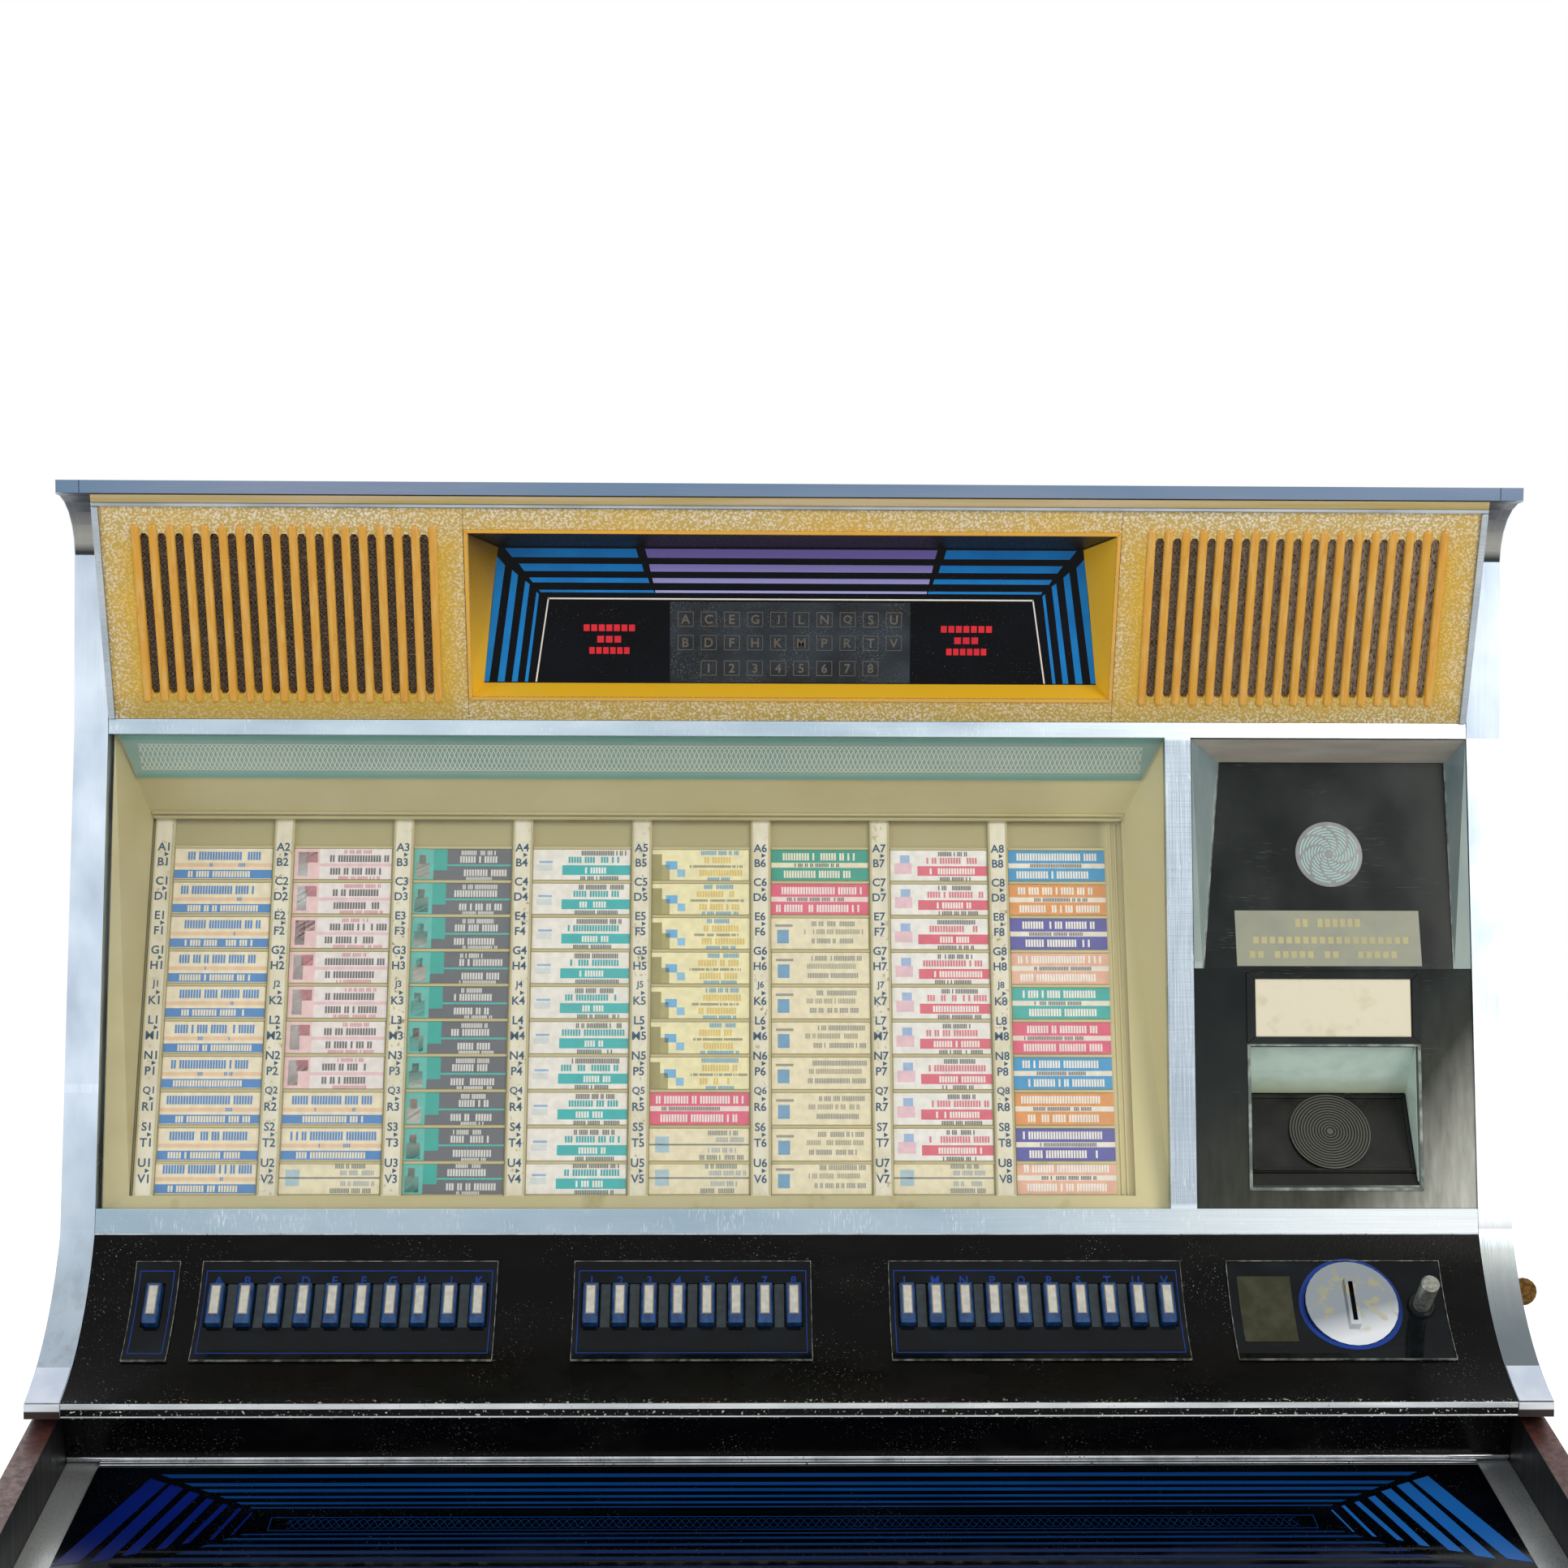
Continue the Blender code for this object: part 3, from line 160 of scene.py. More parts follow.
def patches(where, spacing, low, high, detail=3.0):
    """0 to 1 in soft patches about as large as the spacing in metres: one for all, or (x, y, z)."""
    steps = [1 / step for step in np.broadcast_to(spacing, 3)]
    fitted = add_node(where, "Mapping", {"Vector": where, "Scale": steps}).outputs[0]
    noise = add_node(where, "TexNoise", {"Vector": fitted, "Scale": 1.0, "Detail": detail})
    return ranged(noise.outputs[0], low, high)


def past(where, direction, start, end):
    """0 before start and 1 after end, measured in metres along a direction."""
    reach = add_node(where, "VectorMath", {0: where, 1: direction}, operation="DOT_PRODUCT")
    return ranged(reach.outputs["Value"], start, end)


def either_side(where):
    """Coordinates with their signs taken off, so that left and right match."""
    return add_node(where, "VectorMath", {0: where}, operation="ABSOLUTE").outputs[0]


def both(first, second):
    """Product of two shares from 0 to 1."""
    return add_node(first, "Math", {0: first, 1: second}, operation="MULTIPLY").outputs[0]


def flecks(where, fine, coarse):
    """Fine patches that show only inside coarse ones, each given as (spacing, low, high)."""
    return both(patches(where, *fine), patches(where, *coarse))


def scaled(share, low, high):
    """A share from 0 to 1 stretched from low to high."""
    return add_node(share, "MapRange", {"Value": share, "To Min": low, "To Max": high}).outputs[0]


def layered(base, *layers):
    """A colour laid over a base by shares: each layer is (share, sRGB hex or a colour), or has a
    third number, its strength where the share is 1."""
    colour = linear(base) if isinstance(base, str) else base
    for share, code, *strength in layers:
        share = scaled(share, 0.0, *strength) if strength else share
        code = linear(code) if isinstance(code, str) else code
        colour = add_node(share, "Mix", {0: share, 6: colour, 7: code},
                          data_type="RGBA").outputs[2]
    return colour


def bump(height, distance, strength, normal=None):
    """A normal tilted by a height from 0 to 1 that stands for a distance in metres."""
    made = add_node(height, "Bump", {"Height": height, "Distance": distance, "Strength": strength})
    return fill(made, {"Normal": normal} if normal else {}).outputs[0]


def dress(node, finish):
    """Give a CAD node's own mesh a finish."""
    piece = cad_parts[node]
    piece.data.materials.clear()
    piece.data.materials.append(finish)
    return piece


BOARD_INNER = 0.494
wood_laminate, shader, where = new_finish("walnut laminate on chipboard", "#4a2823", 0.42)
grain = patches(where, (0.006, 0.006, 0.16), 0.36, 0.64, 4.0)
pores = patches(where, (0.0011, 0.0011, 0.030), 0.52, 0.66)
scuffs = flecks(where, ((0.03, 0.03, 0.05), 0.62, 0.74), ((0.003, 0.003, 0.004), 0.55, 0.65))
outer_face = either_side(where)
inner_paint = past(outer_face, (-1, 0, 0), -BOARD_INNER - 0.0006, -BOARD_INNER - 0.0003)
fill(shader, {"Base Color": layered("#5b322a", (grain, "#3b1d1b"), (pores, "#2a1412"),
                                    (scuffs, "#8a6f66", 0.7), (inner_paint, "#121213")),
              "Roughness": scaled(grain, 0.36, 0.50), "Normal": bump(pores, -0.0001, 0.5)})
for side in ("left", "right"):
    dress("cabinet_side_" + side, wood_laminate)


# Base, kick board, back rail and rear door: black sprayed boards. The door hangs on three butt
# hinges at the left and has three pressed steel vents to let the amplifier's heat out.
WELD = 0.000001
SHARP_TURN = math.radians(35)


def face_frame(origin, up, across=(1, 0, 0)):
    """Rows of a frame on a face: across it, up it, out of it (their cross product), its origin."""
    up = np.array(up, float) / np.linalg.norm(up)
    return np.array([across, up, np.cross(across, up), origin], float)


def placed(points, where_to):
    """Points (..., 3) of a frame, in the cabinet's own axes."""
    return np.asarray(points) @ where_to[:3] + where_to[3]


def add_piece(name, solid, finish, body, at=None, bevel=0.0, smooth=False):
    """A mesh that rides on a body, from a solid's points (..., 3) and faces.

    Its points may be those of a frame it stands at, its sharp edges may be rounded by a bevel,
    and smooth shading also welds its rings shut at the poles."""
    points, faces = solid
    points = points if at is None else placed(points, at)
    mesh = bpy.data.meshes.new(name)
    mesh.from_pydata(np.reshape(points, (-1, 3)).tolist(), [], faces)
    if smooth:
        shape = bmesh.new()
        shape.from_mesh(mesh)
        bmesh.ops.remove_doubles(shape, verts=shape.verts, dist=WELD)
        bmesh.ops.dissolve_degenerate(shape, edges=shape.edges, dist=WELD)
        shape.to_mesh(mesh)
        shape.free()
        mesh.shade_smooth()
        mesh.set_sharp_from_angle(angle=SHARP_TURN)
    mesh.materials.append(finish)
    piece = bpy.data.objects.new(name, mesh)
    bpy.context.scene.collection.objects.link(piece)
    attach(piece, body)
    if bevel:
        edge = piece.modifiers.new("rounded edges", "BEVEL")
        edge.width = bevel
        edge.segments = 2
        edge.limit_method = "ANGLE"
    return piece


def rectangles(left, right, low, high):
    """Outlines (N, 4, 2), counterclockwise, of upright rectangles."""
    left, right, low, high = np.broadcast_arrays(*np.atleast_1d(left, right, low, high))
    corners = ((left, low), (right, low), (right, high), (left, high))
    return np.stack([np.stack(corner, 1) for corner in corners], 1)


def circles(middles, radius, steps=32):
    """Outlines (N, steps, 2) of circles about middles (N, 2)."""
    turns = np.arange(steps) * 2 * math.pi / steps
    ring = np.stack([np.cos(turns), np.sin(turns)], 1) * radius
    return np.reshape(middles, (-1, 1, 2)) + ring


def capped(count, corners):
    """Faces of bodies whose points are, for each of them, a back ring and then a front ring."""
    ring = np.arange(corners)
    after = (ring + 1) % corners
    starts = np.arange(count)[:, None] * 2 * corners
    walls = np.stack([ring, after, after + corners, ring + corners], 1)
    ends = (starts + ring[::-1]).tolist() + (starts + ring + corners).tolist()
    return ends + (starts[:, :, None] + walls.ravel()).reshape(-1, 4).tolist()


def prisms(outlines, low, high):
    """Outlines (N, K, 2) raised straight from low to high: closed prisms with K walls each."""
    outlines = np.asarray(outlines, float)
    count, corners = outlines.shape[:2]
    heights = np.broadcast_to(np.stack(np.broadcast_arrays(low, high), -1), (count, 2))
    flat = np.broadcast_to(outlines[:, None], (count, 2, corners, 2))
    rise = np.broadcast_to(heights[:, :, None, None], (count, 2, corners, 1))
    return np.concatenate([flat, rise], -1), capped(count, corners)


def boxes(left, right, foot, top, low, high):
    """Upright rectangles raised from low to high."""
    return prisms(rectangles(left, right, foot, top), low, high)


def shells(outlines, spines, profile):
    """Rounded bodies: ring j is spine + scale_j x (outline - spine), at height_j of the profile.

    A profile that starts and ends at scale 0 closes each body; a spine is its middle, or for a
    long one its middle line, one point for each corner of the outline."""
    outlines = np.asarray(outlines, float)
    scale, height = np.array(profile, float).T
    spines = np.broadcast_to(spines, outlines.shape)
    flat = spines[:, None] + scale[:, None, None] * (outlines - spines)[:, None]
    points = np.concatenate([flat, np.broadcast_to(height[:, None, None],
                                                   (*flat.shape[:3], 1))], -1)
    count, rings, corners = points.shape[:3]
    ring = np.arange(corners)
    after = (ring + 1) % corners
    quads = np.stack([ring, after, after + corners, ring + corners], 1)
    starts = np.arange(count)[:, None] * rings * corners + np.arange(rings - 1) * corners
    return points, (starts.reshape(-1, 1, 1) + quads).reshape(-1, 4).tolist()


def round_bodies(middles, radius, profile, steps=32):
    """Turned bodies about middles (N, 2), their profile as in shells."""
    middles = np.reshape(middles, (-1, 1, 2))
    return shells(circles(middles, radius, steps), middles, profile)


def run_across(profile, left, right):
    """A closed (y, z) outline, seen counterclockwise from -X, carried along X: N by left, right."""
    profile = np.asarray(profile, float)[::-1]
    corners = len(profile)
    ends = np.stack(np.broadcast_arrays(*np.atleast_1d(left, right)), 1)
    count = len(ends)
    points = np.concatenate([np.broadcast_to(ends[:, :, None, None], (count, 2, corners, 1)),
                             np.broadcast_to(profile, (count, 2, corners, 2))], -1)
    return points, capped(count, corners)


def mitred_ring(left, right, low, high, width):
    """Outlines of the four mitred sides of a rectangular frame, its width inwards."""
    outer = rectangles(left, right, low, high)[0]
    inner = rectangles(left + width, right - width, low + width, high - width)[0]
    after = np.roll(np.arange(4), -1)
    return np.stack([outer, outer[after], inner[after], inner], 1)


def rod(centre, direction, radius, length, steps=16, edge=0.0006):
    """A round bar from a centre along a direction, its end rims eased by edge."""
    direction = np.array(direction, float) / np.linalg.norm(direction)
    side = np.cross(direction, (0.0, 0.0, 1.0) if abs(direction[2]) < 0.9 else (1.0, 0.0, 0.0))
    side /= np.linalg.norm(side)
    turned = np.array([side, np.cross(direction, side), direction, centre])
    share = 1 - edge / radius
    points, faces = round_bodies((0, 0), radius, [(0, 0), (share, 0), (1, edge), (1, length - edge),
                                                  (share, length), (0, length)], steps)
    return placed(points, turned), faces


def joined(*bodies):
    """Several (points, faces) as one."""
    points, faces, start = [], [], 0
    for body_points, body_faces in bodies:
        body_points = np.reshape(body_points, (-1, 3))
        points.append(body_points)
        faces += [[start + corner for corner in face] for face in body_faces]
        start += len(body_points)
    return np.concatenate(points), faces


black_board, shader, where = new_finish("black sprayed board", "#161617", 0.55)
fibres = patches(where, 0.0016, 0.4, 0.6)
rubbed_and_highlit = patches(where, 0.05, 0.6, 0.72)
fill(shader, {"Base Color": layered("#151516", (fibres, "#1c1c1d"), (rubbed_and_highlit, "#2c2a28")),
              "Normal": bump(fibres, 0.0002, 0.4)})
for node in ("base_board", "back_rail", "rear_door"):
    dress(node, black_board)

zinc_steel, shader, where = new_finish("zinc plated pressed steel", "#9a9a98", 0.38, Metallic=1.0)
spangle = patches(where, 0.012, 0.35, 0.65, 1.0)
dull = patches(where, 0.06, 0.45, 0.65)
fill(shader, {"Base Color": layered("#a8a8a6", (spangle, "#959696"), (dull, "#8c8a84")),
              "Roughness": scaled(spangle, 0.28, 0.50)})

DOOR_FACE = face_frame((0, 0.345, 0), (0, 0, 1), (-1, 0, 0))
VENT_WIDTH, VENT_HEIGHT, VENT_PROUD = 0.300, 0.150, 0.0016
LOUVRE_PITCH, LOUVRE_LENGTH, LOUVRE_RADIUS = 0.0150, 0.260, 0.0045
VENT_PLACES = ((0.23, 0.100), (-0.23, 0.100), (0.0, 0.860))     # middle across, foot
vents = []
for middle, height in VENT_PLACES:
    vents.append(boxes(middle - VENT_WIDTH / 2, middle + VENT_WIDTH / 2, height,
                       height + VENT_HEIGHT, 0.0, VENT_PROUD))
    rows = height + 0.0150 + LOUVRE_PITCH * np.arange(9)
    ends = middle + np.array([-1, 1])[:, None] * (LOUVRE_LENGTH / 2 - LOUVRE_RADIUS)
    turns = np.linspace(-math.pi / 2, math.pi / 2, 7)
    half = np.stack([np.cos(turns), np.sin(turns)], 1) * LOUVRE_RADIUS
    outline = np.concatenate([half + (ends[1, 0], 0), -half + (ends[0, 0], 0)])
    spine = np.repeat([(ends[1, 0], 0.0), (ends[0, 0], 0.0)], 7, 0)
    lifts = np.stack([np.zeros(9), rows], 1)[:, None]
    vents.append(shells(outline + lifts, spine + lifts,
                        [(0, VENT_PROUD), (1, VENT_PROUD), (0.85, VENT_PROUD + 0.0016),
                         (0.5, VENT_PROUD + 0.0026), (0, VENT_PROUD + 0.0030)]))
add_piece("rear_door_vents", joined(*vents), zinc_steel, "rear_door", at=DOOR_FACE,
          smooth=True)

door_low, door_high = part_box("rear_door")
BARREL_RADIUS, BARREL_LENGTH, HINGE_FEET = 0.0045, 0.070, np.array([0.12, 0.60, 1.08])
barrels = [rod((door_low[0], door_high[1], foot), (0, 0, 1), BARREL_RADIUS, BARREL_LENGTH)
           for foot in HINGE_FEET]
add_piece("rear_door_hinges", joined(*barrels), zinc_steel, "rear_door", smooth=True)
LEAF_WIDTH, LEAF_GAP, LEAF_THICKNESS = 0.027, 0.001, 0.0012
leaf_edge = -door_low[0] - LEAF_GAP
leaves = boxes(leaf_edge - LEAF_WIDTH, leaf_edge, HINGE_FEET, HINGE_FEET + BARREL_LENGTH, 0,
               LEAF_THICKNESS)
add_piece("rear_door_hinge_leaves", leaves, zinc_steel, "rear_door", at=DOOR_FACE)
LOCK_RADIUS, LOCK_LENGTH, LOCK_INSET, LOCK_HEIGHTS = 0.010, 0.004, 0.040, (0.35, 0.95)
locks = [rod((door_high[0] - LOCK_INSET, door_high[1] - 0.001, height), (0, 1, 0), LOCK_RADIUS,
             LOCK_LENGTH, 24) for height in LOCK_HEIGHTS]
add_piece("rear_door_locks", joined(*locks), zinc_steel, "rear_door", smooth=True)


# Lower door: a gloss black steel front that drops forward, with bright extruded trims round it and
# a bass speaker grille of aluminium slats over black cloth. It lies below the photograph's edge.
black_gloss, shader, where = new_finish("gloss black moulded panel", "#1d2222", 0.16,
                                        Specular_IOR_Level=0.22)
film = patches(where, (0.05, 0.05, 0.08), 0.4, 0.7)
scratches = flecks(where, ((0.018, 0.018, 0.0005), 0.60, 0.68), (0.05, 0.5, 0.62))
fill(shader, {"Base Color": layered("#111616", (film, "#1f2625"), (scratches, "#4c5150")),
              "Roughness": scaled(film, 0.14, 0.30)})
dress("lower_door", black_gloss)

chrome, shader, where = new_finish("chromium plate", "#c9ccd0", 0.09, Metallic=1.0)
pits = flecks(where, (0.0014, 0.60, 0.68), (0.03, 0.45, 0.62))
haze = patches(where, 0.02, 0.4, 0.65)
fill(shader, {"Base Color": layered("#cdd0d4", (haze, "#aeb2b6"), (pits, "#5a544c")),
              "Roughness": scaled(haze, 0.06, 0.22)})


def brushed(name, bright, dark, direction, mottle=0.05, rough=(0.22, 0.42), metallic=1.0):
    """Brushed aluminium: fine lines along a direction, 0.4 mm apart, and soft worn patches."""
    made, shader, where = new_finish(name, bright, 0.3, Metallic=metallic)
    lines = patches(where, [0.09 if along else 0.0004 for along in direction], 0.3, 0.7)
    worn = patches(where, mottle, 0.35, 0.65)
    nicks = flecks(where, (0.0012, 0.64, 0.70), (0.02, 0.5, 0.6))
    fill(shader, {"Base Color": layered(bright, (lines, dark, 0.35), (worn, dark, 0.6),
                                        (nicks, "#6d7478")),
                  "Roughness": scaled(lines, *rough), "Normal": bump(lines, 0.00004, 0.35)})
    return made


bright_trim = brushed("bright extruded aluminium", "#dfe3e6", "#b4bcc2", (1, 0, 0))
LOWER_FRONT = face_frame((0, -0.2964, 0.0853), (0, -0.0466, 0.47465))
LOWER_LENGTH, LOWER_HALF, TRIM_WIDTH, TRIM_PROUD = 0.4760, 0.4930, 0.014, 0.0035
add_piece("lower_door_trim", prisms(mitred_ring(-LOWER_HALF, LOWER_HALF, 0.002, LOWER_LENGTH,
                                                TRIM_WIDTH), 0.0, TRIM_PROUD), bright_trim,
          "lower_door", at=LOWER_FRONT, bevel=0.0008)
SLAT_HALF, SLAT_FIRST, SLAT_PITCH, SLAT_HEIGHT, SLAT_COUNT = 0.400, 0.060, 0.0200, 0.0090, 18
rows = SLAT_FIRST + SLAT_PITCH * np.arange(SLAT_COUNT)
add_piece("bass_grille_slats", boxes(-SLAT_HALF, SLAT_HALF, rows, rows + SLAT_HEIGHT, 0.0006,
                                     0.0052),
          bright_trim, "lower_door", at=LOWER_FRONT, bevel=0.0012)

speaker_cloth, shader, where = new_finish("woven speaker cloth", "#2b2118", 0.9)
THREAD = 0.0015         # real threads are 0.5 mm; drawn coarser to show
weave = add_node(where, "TexChecker", {"Vector": where, "Color1": linear("#5b4c3e"),
                                       "Color2": linear("#121212"), "Scale": 1 / THREAD})
slubs = patches(where, (0.004, 0.004, 0.0006), 0.52, 0.66)
# Painted sunlight: the threads of the right header grille's cloth are painted paler towards its
# end.
painted_sunlit_end = both(past(where, (1, 0, 0), 0.20, 0.46), past(where, (0, 0, 1), 1.10, 1.12))
faded = both(painted_sunlit_end, patches(where, (0.0011, 0.0011, 0.02), 0.35, 0.60))
fill(shader, {"Base Color": layered(weave.outputs[0], (slubs, "#8d7a68", 0.7),
                                    (faded, "#b0a292", 0.75)),
              "Normal": bump(weave.outputs[1], 0.0003, 0.6)})
add_piece("bass_grille_cloth", boxes(-0.408, 0.408, 0.052, 0.418, 0.0, 0.0008), speaker_cloth,
          "lower_door", at=LOWER_FRONT)
add_piece("bass_grille_frame", prisms(mitred_ring(-0.416, 0.416, 0.044, 0.426, 0.010), 0.0, 0.0062),
          bright_trim, "lower_door", at=LOWER_FRONT, bevel=0.0012)


# Amplifier: a folded steel chassis on the base board, with two laminated transformers, capacitor
# cans, a finned heat sink and four knobs; beside it stands the cash box under the coin chute.
dress("amplifier", zinc_steel)
amp_low, amp_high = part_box("amplifier")
AMP_TOP = face_frame((0, 0, amp_high[2]), (0, 1, 0))
black_satin, shader, where = new_finish("satin black stoved paint", "#141414", 0.36,
                                        Specular_IOR_Level=0.12)
dust = flecks(where, (0.0011, 0.66, 0.70), (0.04, 0.42, 0.60))
smears = patches(where, (0.05, 0.05, 0.03), 0.52, 0.72)
orange_peel = patches(where, 0.0022, 0.3, 0.7, 1.0)
fill(shader, {"Base Color": layered("#080808", (smears, "#191816", 0.5), (dust, "#8f8c84")),
              "Roughness": scaled(smears, 0.24, 0.44), "Normal": bump(orange_peel, 0.00006, 0.5)})
CORE_LEFTS, CORE_RIGHTS, CORE_HEIGHT = np.array([0.03, 0.14]), np.array([0.11, 0.20]), 0.070
BACK_ROW, BACK_ROW_END = amp_low[1] + 0.11, amp_low[1] + 0.19
cores = boxes(amp_low[0] + CORE_LEFTS, amp_low[0] + CORE_RIGHTS, BACK_ROW, BACK_ROW_END, 0.0,
              CORE_HEIGHT)
add_piece("amplifier_transformers", cores, black_satin, "cabinet", at=AMP_TOP,
          bevel=0.003)
CAN_RADIUS, CAN_HEIGHT, CAN_PLACES, CAN_ROW = 0.017, 0.060, (0.04, 0.085, 0.13), 0.05
cans = [rod((amp_low[0] + place, amp_low[1] + CAN_ROW, amp_high[2]), (0, 0, 1), CAN_RADIUS,
            CAN_HEIGHT, 24) for place in CAN_PLACES]
add_piece("amplifier_capacitors", joined(*cans), bright_trim, "cabinet",
          smooth=True)
FIN_FIRST, FIN_PITCH, FIN_COUNT, FIN_THICKNESS, FIN_HEIGHT = 0.225, 0.010, 12, 0.002, 0.045
fins = amp_low[0] + FIN_FIRST + FIN_PITCH * np.arange(FIN_COUNT)
add_piece("amplifier_heat_sink", boxes(fins, fins + FIN_THICKNESS, amp_low[1] + 0.03, BACK_ROW_END,
                                       0.0, FIN_HEIGHT), black_satin, "cabinet",
          at=AMP_TOP)
KNOB_RADIUS, KNOB_LENGTH, KNOB_HEIGHT, KNOB_PLACES = 0.014, 0.016, 0.07, (0.07, 0.14, 0.21, 0.28)
knobs = [rod((amp_low[0] + place, amp_low[1], amp_low[2] + KNOB_HEIGHT), (0, -1, 0), KNOB_RADIUS,
             KNOB_LENGTH, 24) for place in KNOB_PLACES]
add_piece("amplifier_knobs", joined(*knobs), black_satin, "cabinet", smooth=True)
CASH_LEFT, CASH_RIGHT, CASH_FRONT, CASH_BACK, CASH_FOOT, CASH_TOP = (
    0.300, 0.460, -0.150, 0.060, 0.0190, 0.160)
add_piece("cash_box", boxes(CASH_LEFT, CASH_RIGHT, CASH_FRONT, CASH_BACK, CASH_FOOT, CASH_TOP),
          zinc_steel, "cabinet", bevel=0.002)


# Record mechanism: a pressed base plate, a cast magazine with 80 seven inch records standing on
# edge, a ribbed turntable mat, a chromed tone arm and the steel gripper arm that lifts a record.
def carried(section, path, out):
    """A flat section (S, 2), counterclockwise, carried along a path (K, 3).

    At each point its first axis is along x out and its second stands nearest to out, where
    along is the path's direction."""
    section, path = np.asarray(section, float), np.asarray(path, float)
    along = np.gradient(path, axis=0)
    along /= np.linalg.norm(along, axis=1, keepdims=True)
    side = np.cross(along, np.broadcast_to(out, path.shape))
    side /= np.linalg.norm(side, axis=1, keepdims=True)
    rise = np.cross(side, along)
    points = (path[:, None] + section[:, 0, None] * side[:, None]
              + section[:, 1, None] * rise[:, None])
    count, corners = len(path), len(section)
    ring = np.arange(corners)
    after = (ring + 1) % corners
    here = np.arange(count - 1)[:, None]
    there = here + 1
    quads = np.stack([here * corners + ring, there * corners + ring,
                      there * corners + after, here * corners + after], 2).reshape(-1, 4).tolist()
    quads += [ring.tolist(), (ring[::-1] + (count - 1) * corners).tolist()]
    return points, quads


def round_section(radius, steps=12):
    """A circle's outline for carried()."""
    return circles((0, 0), radius, steps)[0]


def flat_section(width, height, low=0.0):
    """A rectangle's outline for carried(), standing on low."""
    return rectangles(-width / 2, width / 2, low, low + height)[0]


def tinted(piece, bodies, codes):
    """Colour each of a piece's like bodies: codes give one sRGB hex for each."""
    tint = piece.data.color_attributes.new("Tint", "FLOAT_COLOR", "POINT")
    shades = np.array([linear(code) for code in codes])
    each = len(piece.data.vertices) // bodies
    tint.data.foreach_set("color", np.repeat(shades, each, 0).ravel())
    return piece


def tinted_finish(name, roughness, mottle, **sockets):
    """A finish that takes each body's own tint, a little uneven over its grain."""
    made, shader, where = new_finish(name, "#808080", roughness, **sockets)
    tint = add_node(where, "Attribute", attribute_name="Tint").outputs["Color"]
    grain = patches(where, mottle, 0.35, 0.65)
    fill(shader, {"Base Color": layered(tint, (grain, "#5c5648", 0.14)),
                  "Roughness": scaled(grain, roughness * 0.85, roughness)})
    return made


def mottled(name, colour, roughness, patch, base, over, rough=None, **sockets):
    """A finish of one colour with soft patches (spacing, low, high) of another over it.

    The other may be a (colour, strength) pair, and the roughness may run with the patches."""
    made, shader, where = new_finish(name, colour, roughness, **sockets)
    share = patches(where, *patch)
    over = [over] if isinstance(over, str) else over
    fill(shader, {"Base Color": layered(base, (share, *over))})
    if rough:
        fill(shader, {"Roughness": scaled(share, *rough)})
    return made


for node in ("mechanism_base", "record_magazine"):
    dress(node, zinc_steel)
SPINDLE_X, SPINDLE_Y = 0.0, 0.085
RECORD_RADIUS, RECORD_COUNT, RECORD_RING, RECORD_MIDDLE = 0.0872, 80, 0.1335, 0.5491
RECORD_STEP = math.radians(4.05)
LABEL_RADIUS = 0.045
vinyl = mottled("pressed vinyl", "#101012", 0.28, (0.0008, 0.3, 0.7), "#0d0d0f", "#17171a",
                (0.20, 0.36))
angles = math.radians(20) + RECORD_STEP * np.arange(RECORD_COUNT)
spokes = np.stack([np.cos(angles), np.sin(angles), 0 * angles], 1)
faces_of = np.stack([np.sin(angles), -np.cos(angles), 0 * angles], 1)
spots = np.array([SPINDLE_X, SPINDLE_Y, RECORD_MIDDLE]) + RECORD_RING * spokes


def stood(outline, profile):
    """One body repeated upright at every record's place in the magazine."""
    points, faces = shells(outline, (0.0, 0.0), profile)
    flat = points.reshape(-1, 3)
    upright = (spots[:, None] + flat[:, 0, None] * spokes[:, None]
               + flat[:, 1, None] * np.array([0, 0, 1.0]) + flat[:, 2, None] * faces_of[:, None])
    starts = np.arange(RECORD_COUNT)[:, None, None] * len(flat)
    return upright, (starts + np.array(faces)).reshape(-1, 4).tolist()


RECORD_PROFILE = [(0.21, -0.0008), (0.97, -0.0008), (1, 0), (0.97, 0.0008), (0.21, 0.0008),
                  (0.21, -0.0008)]
LABEL_PROFILE = [(0.42, -0.0010), (1, -0.0010), (1, 0.0010), (0.42, 0.0010), (0.42, -0.0010)]
add_piece("records", stood(circles((0, 0), RECORD_RADIUS, 28), RECORD_PROFILE), vinyl,
          "record_magazine")
draw = np.random.default_rng(12)
LABEL_COLOURS = ("#b23a31", "#1f5f9e", "#d7b64a", "#3d7a54", "#d9d3c2", "#5d3b7d", "#c9692d")
labels = add_piece("record_labels", stood(circles((0, 0), LABEL_RADIUS, 16), LABEL_PROFILE),
                   tinted_finish("printed label paper", 0.6, 0.004), "record_magazine")
picks = draw.integers(0, len(LABEL_COLOURS), RECORD_COUNT)
tinted(labels, RECORD_COUNT, [LABEL_COLOURS[pick] for pick in picks])

black_rubber = mottled("moulded black rubber", "#1b1b1b", 0.8, (0.01, 0.4, 0.65), "#181818",
                       "#262625")
dress("turntable", black_rubber)
mat_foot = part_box("turntable")[0][2] + 0.0120
ridges = [(0, 0), (1, 0)]
for share in np.linspace(0.98, 0.26, 25):
    ridges += [(share, 0.0014), (share - 0.010, 0.0014), (share - 0.012, 0.0007),
               (share - 0.020, 0.0007)]
points, faces = round_bodies((SPINDLE_X, SPINDLE_Y), 0.0860, ridges + [(0, 0.0007)], 40)
add_piece("turntable_mat", (points + (0, 0, mat_foot), faces), black_rubber, "turntable",
          smooth=True)

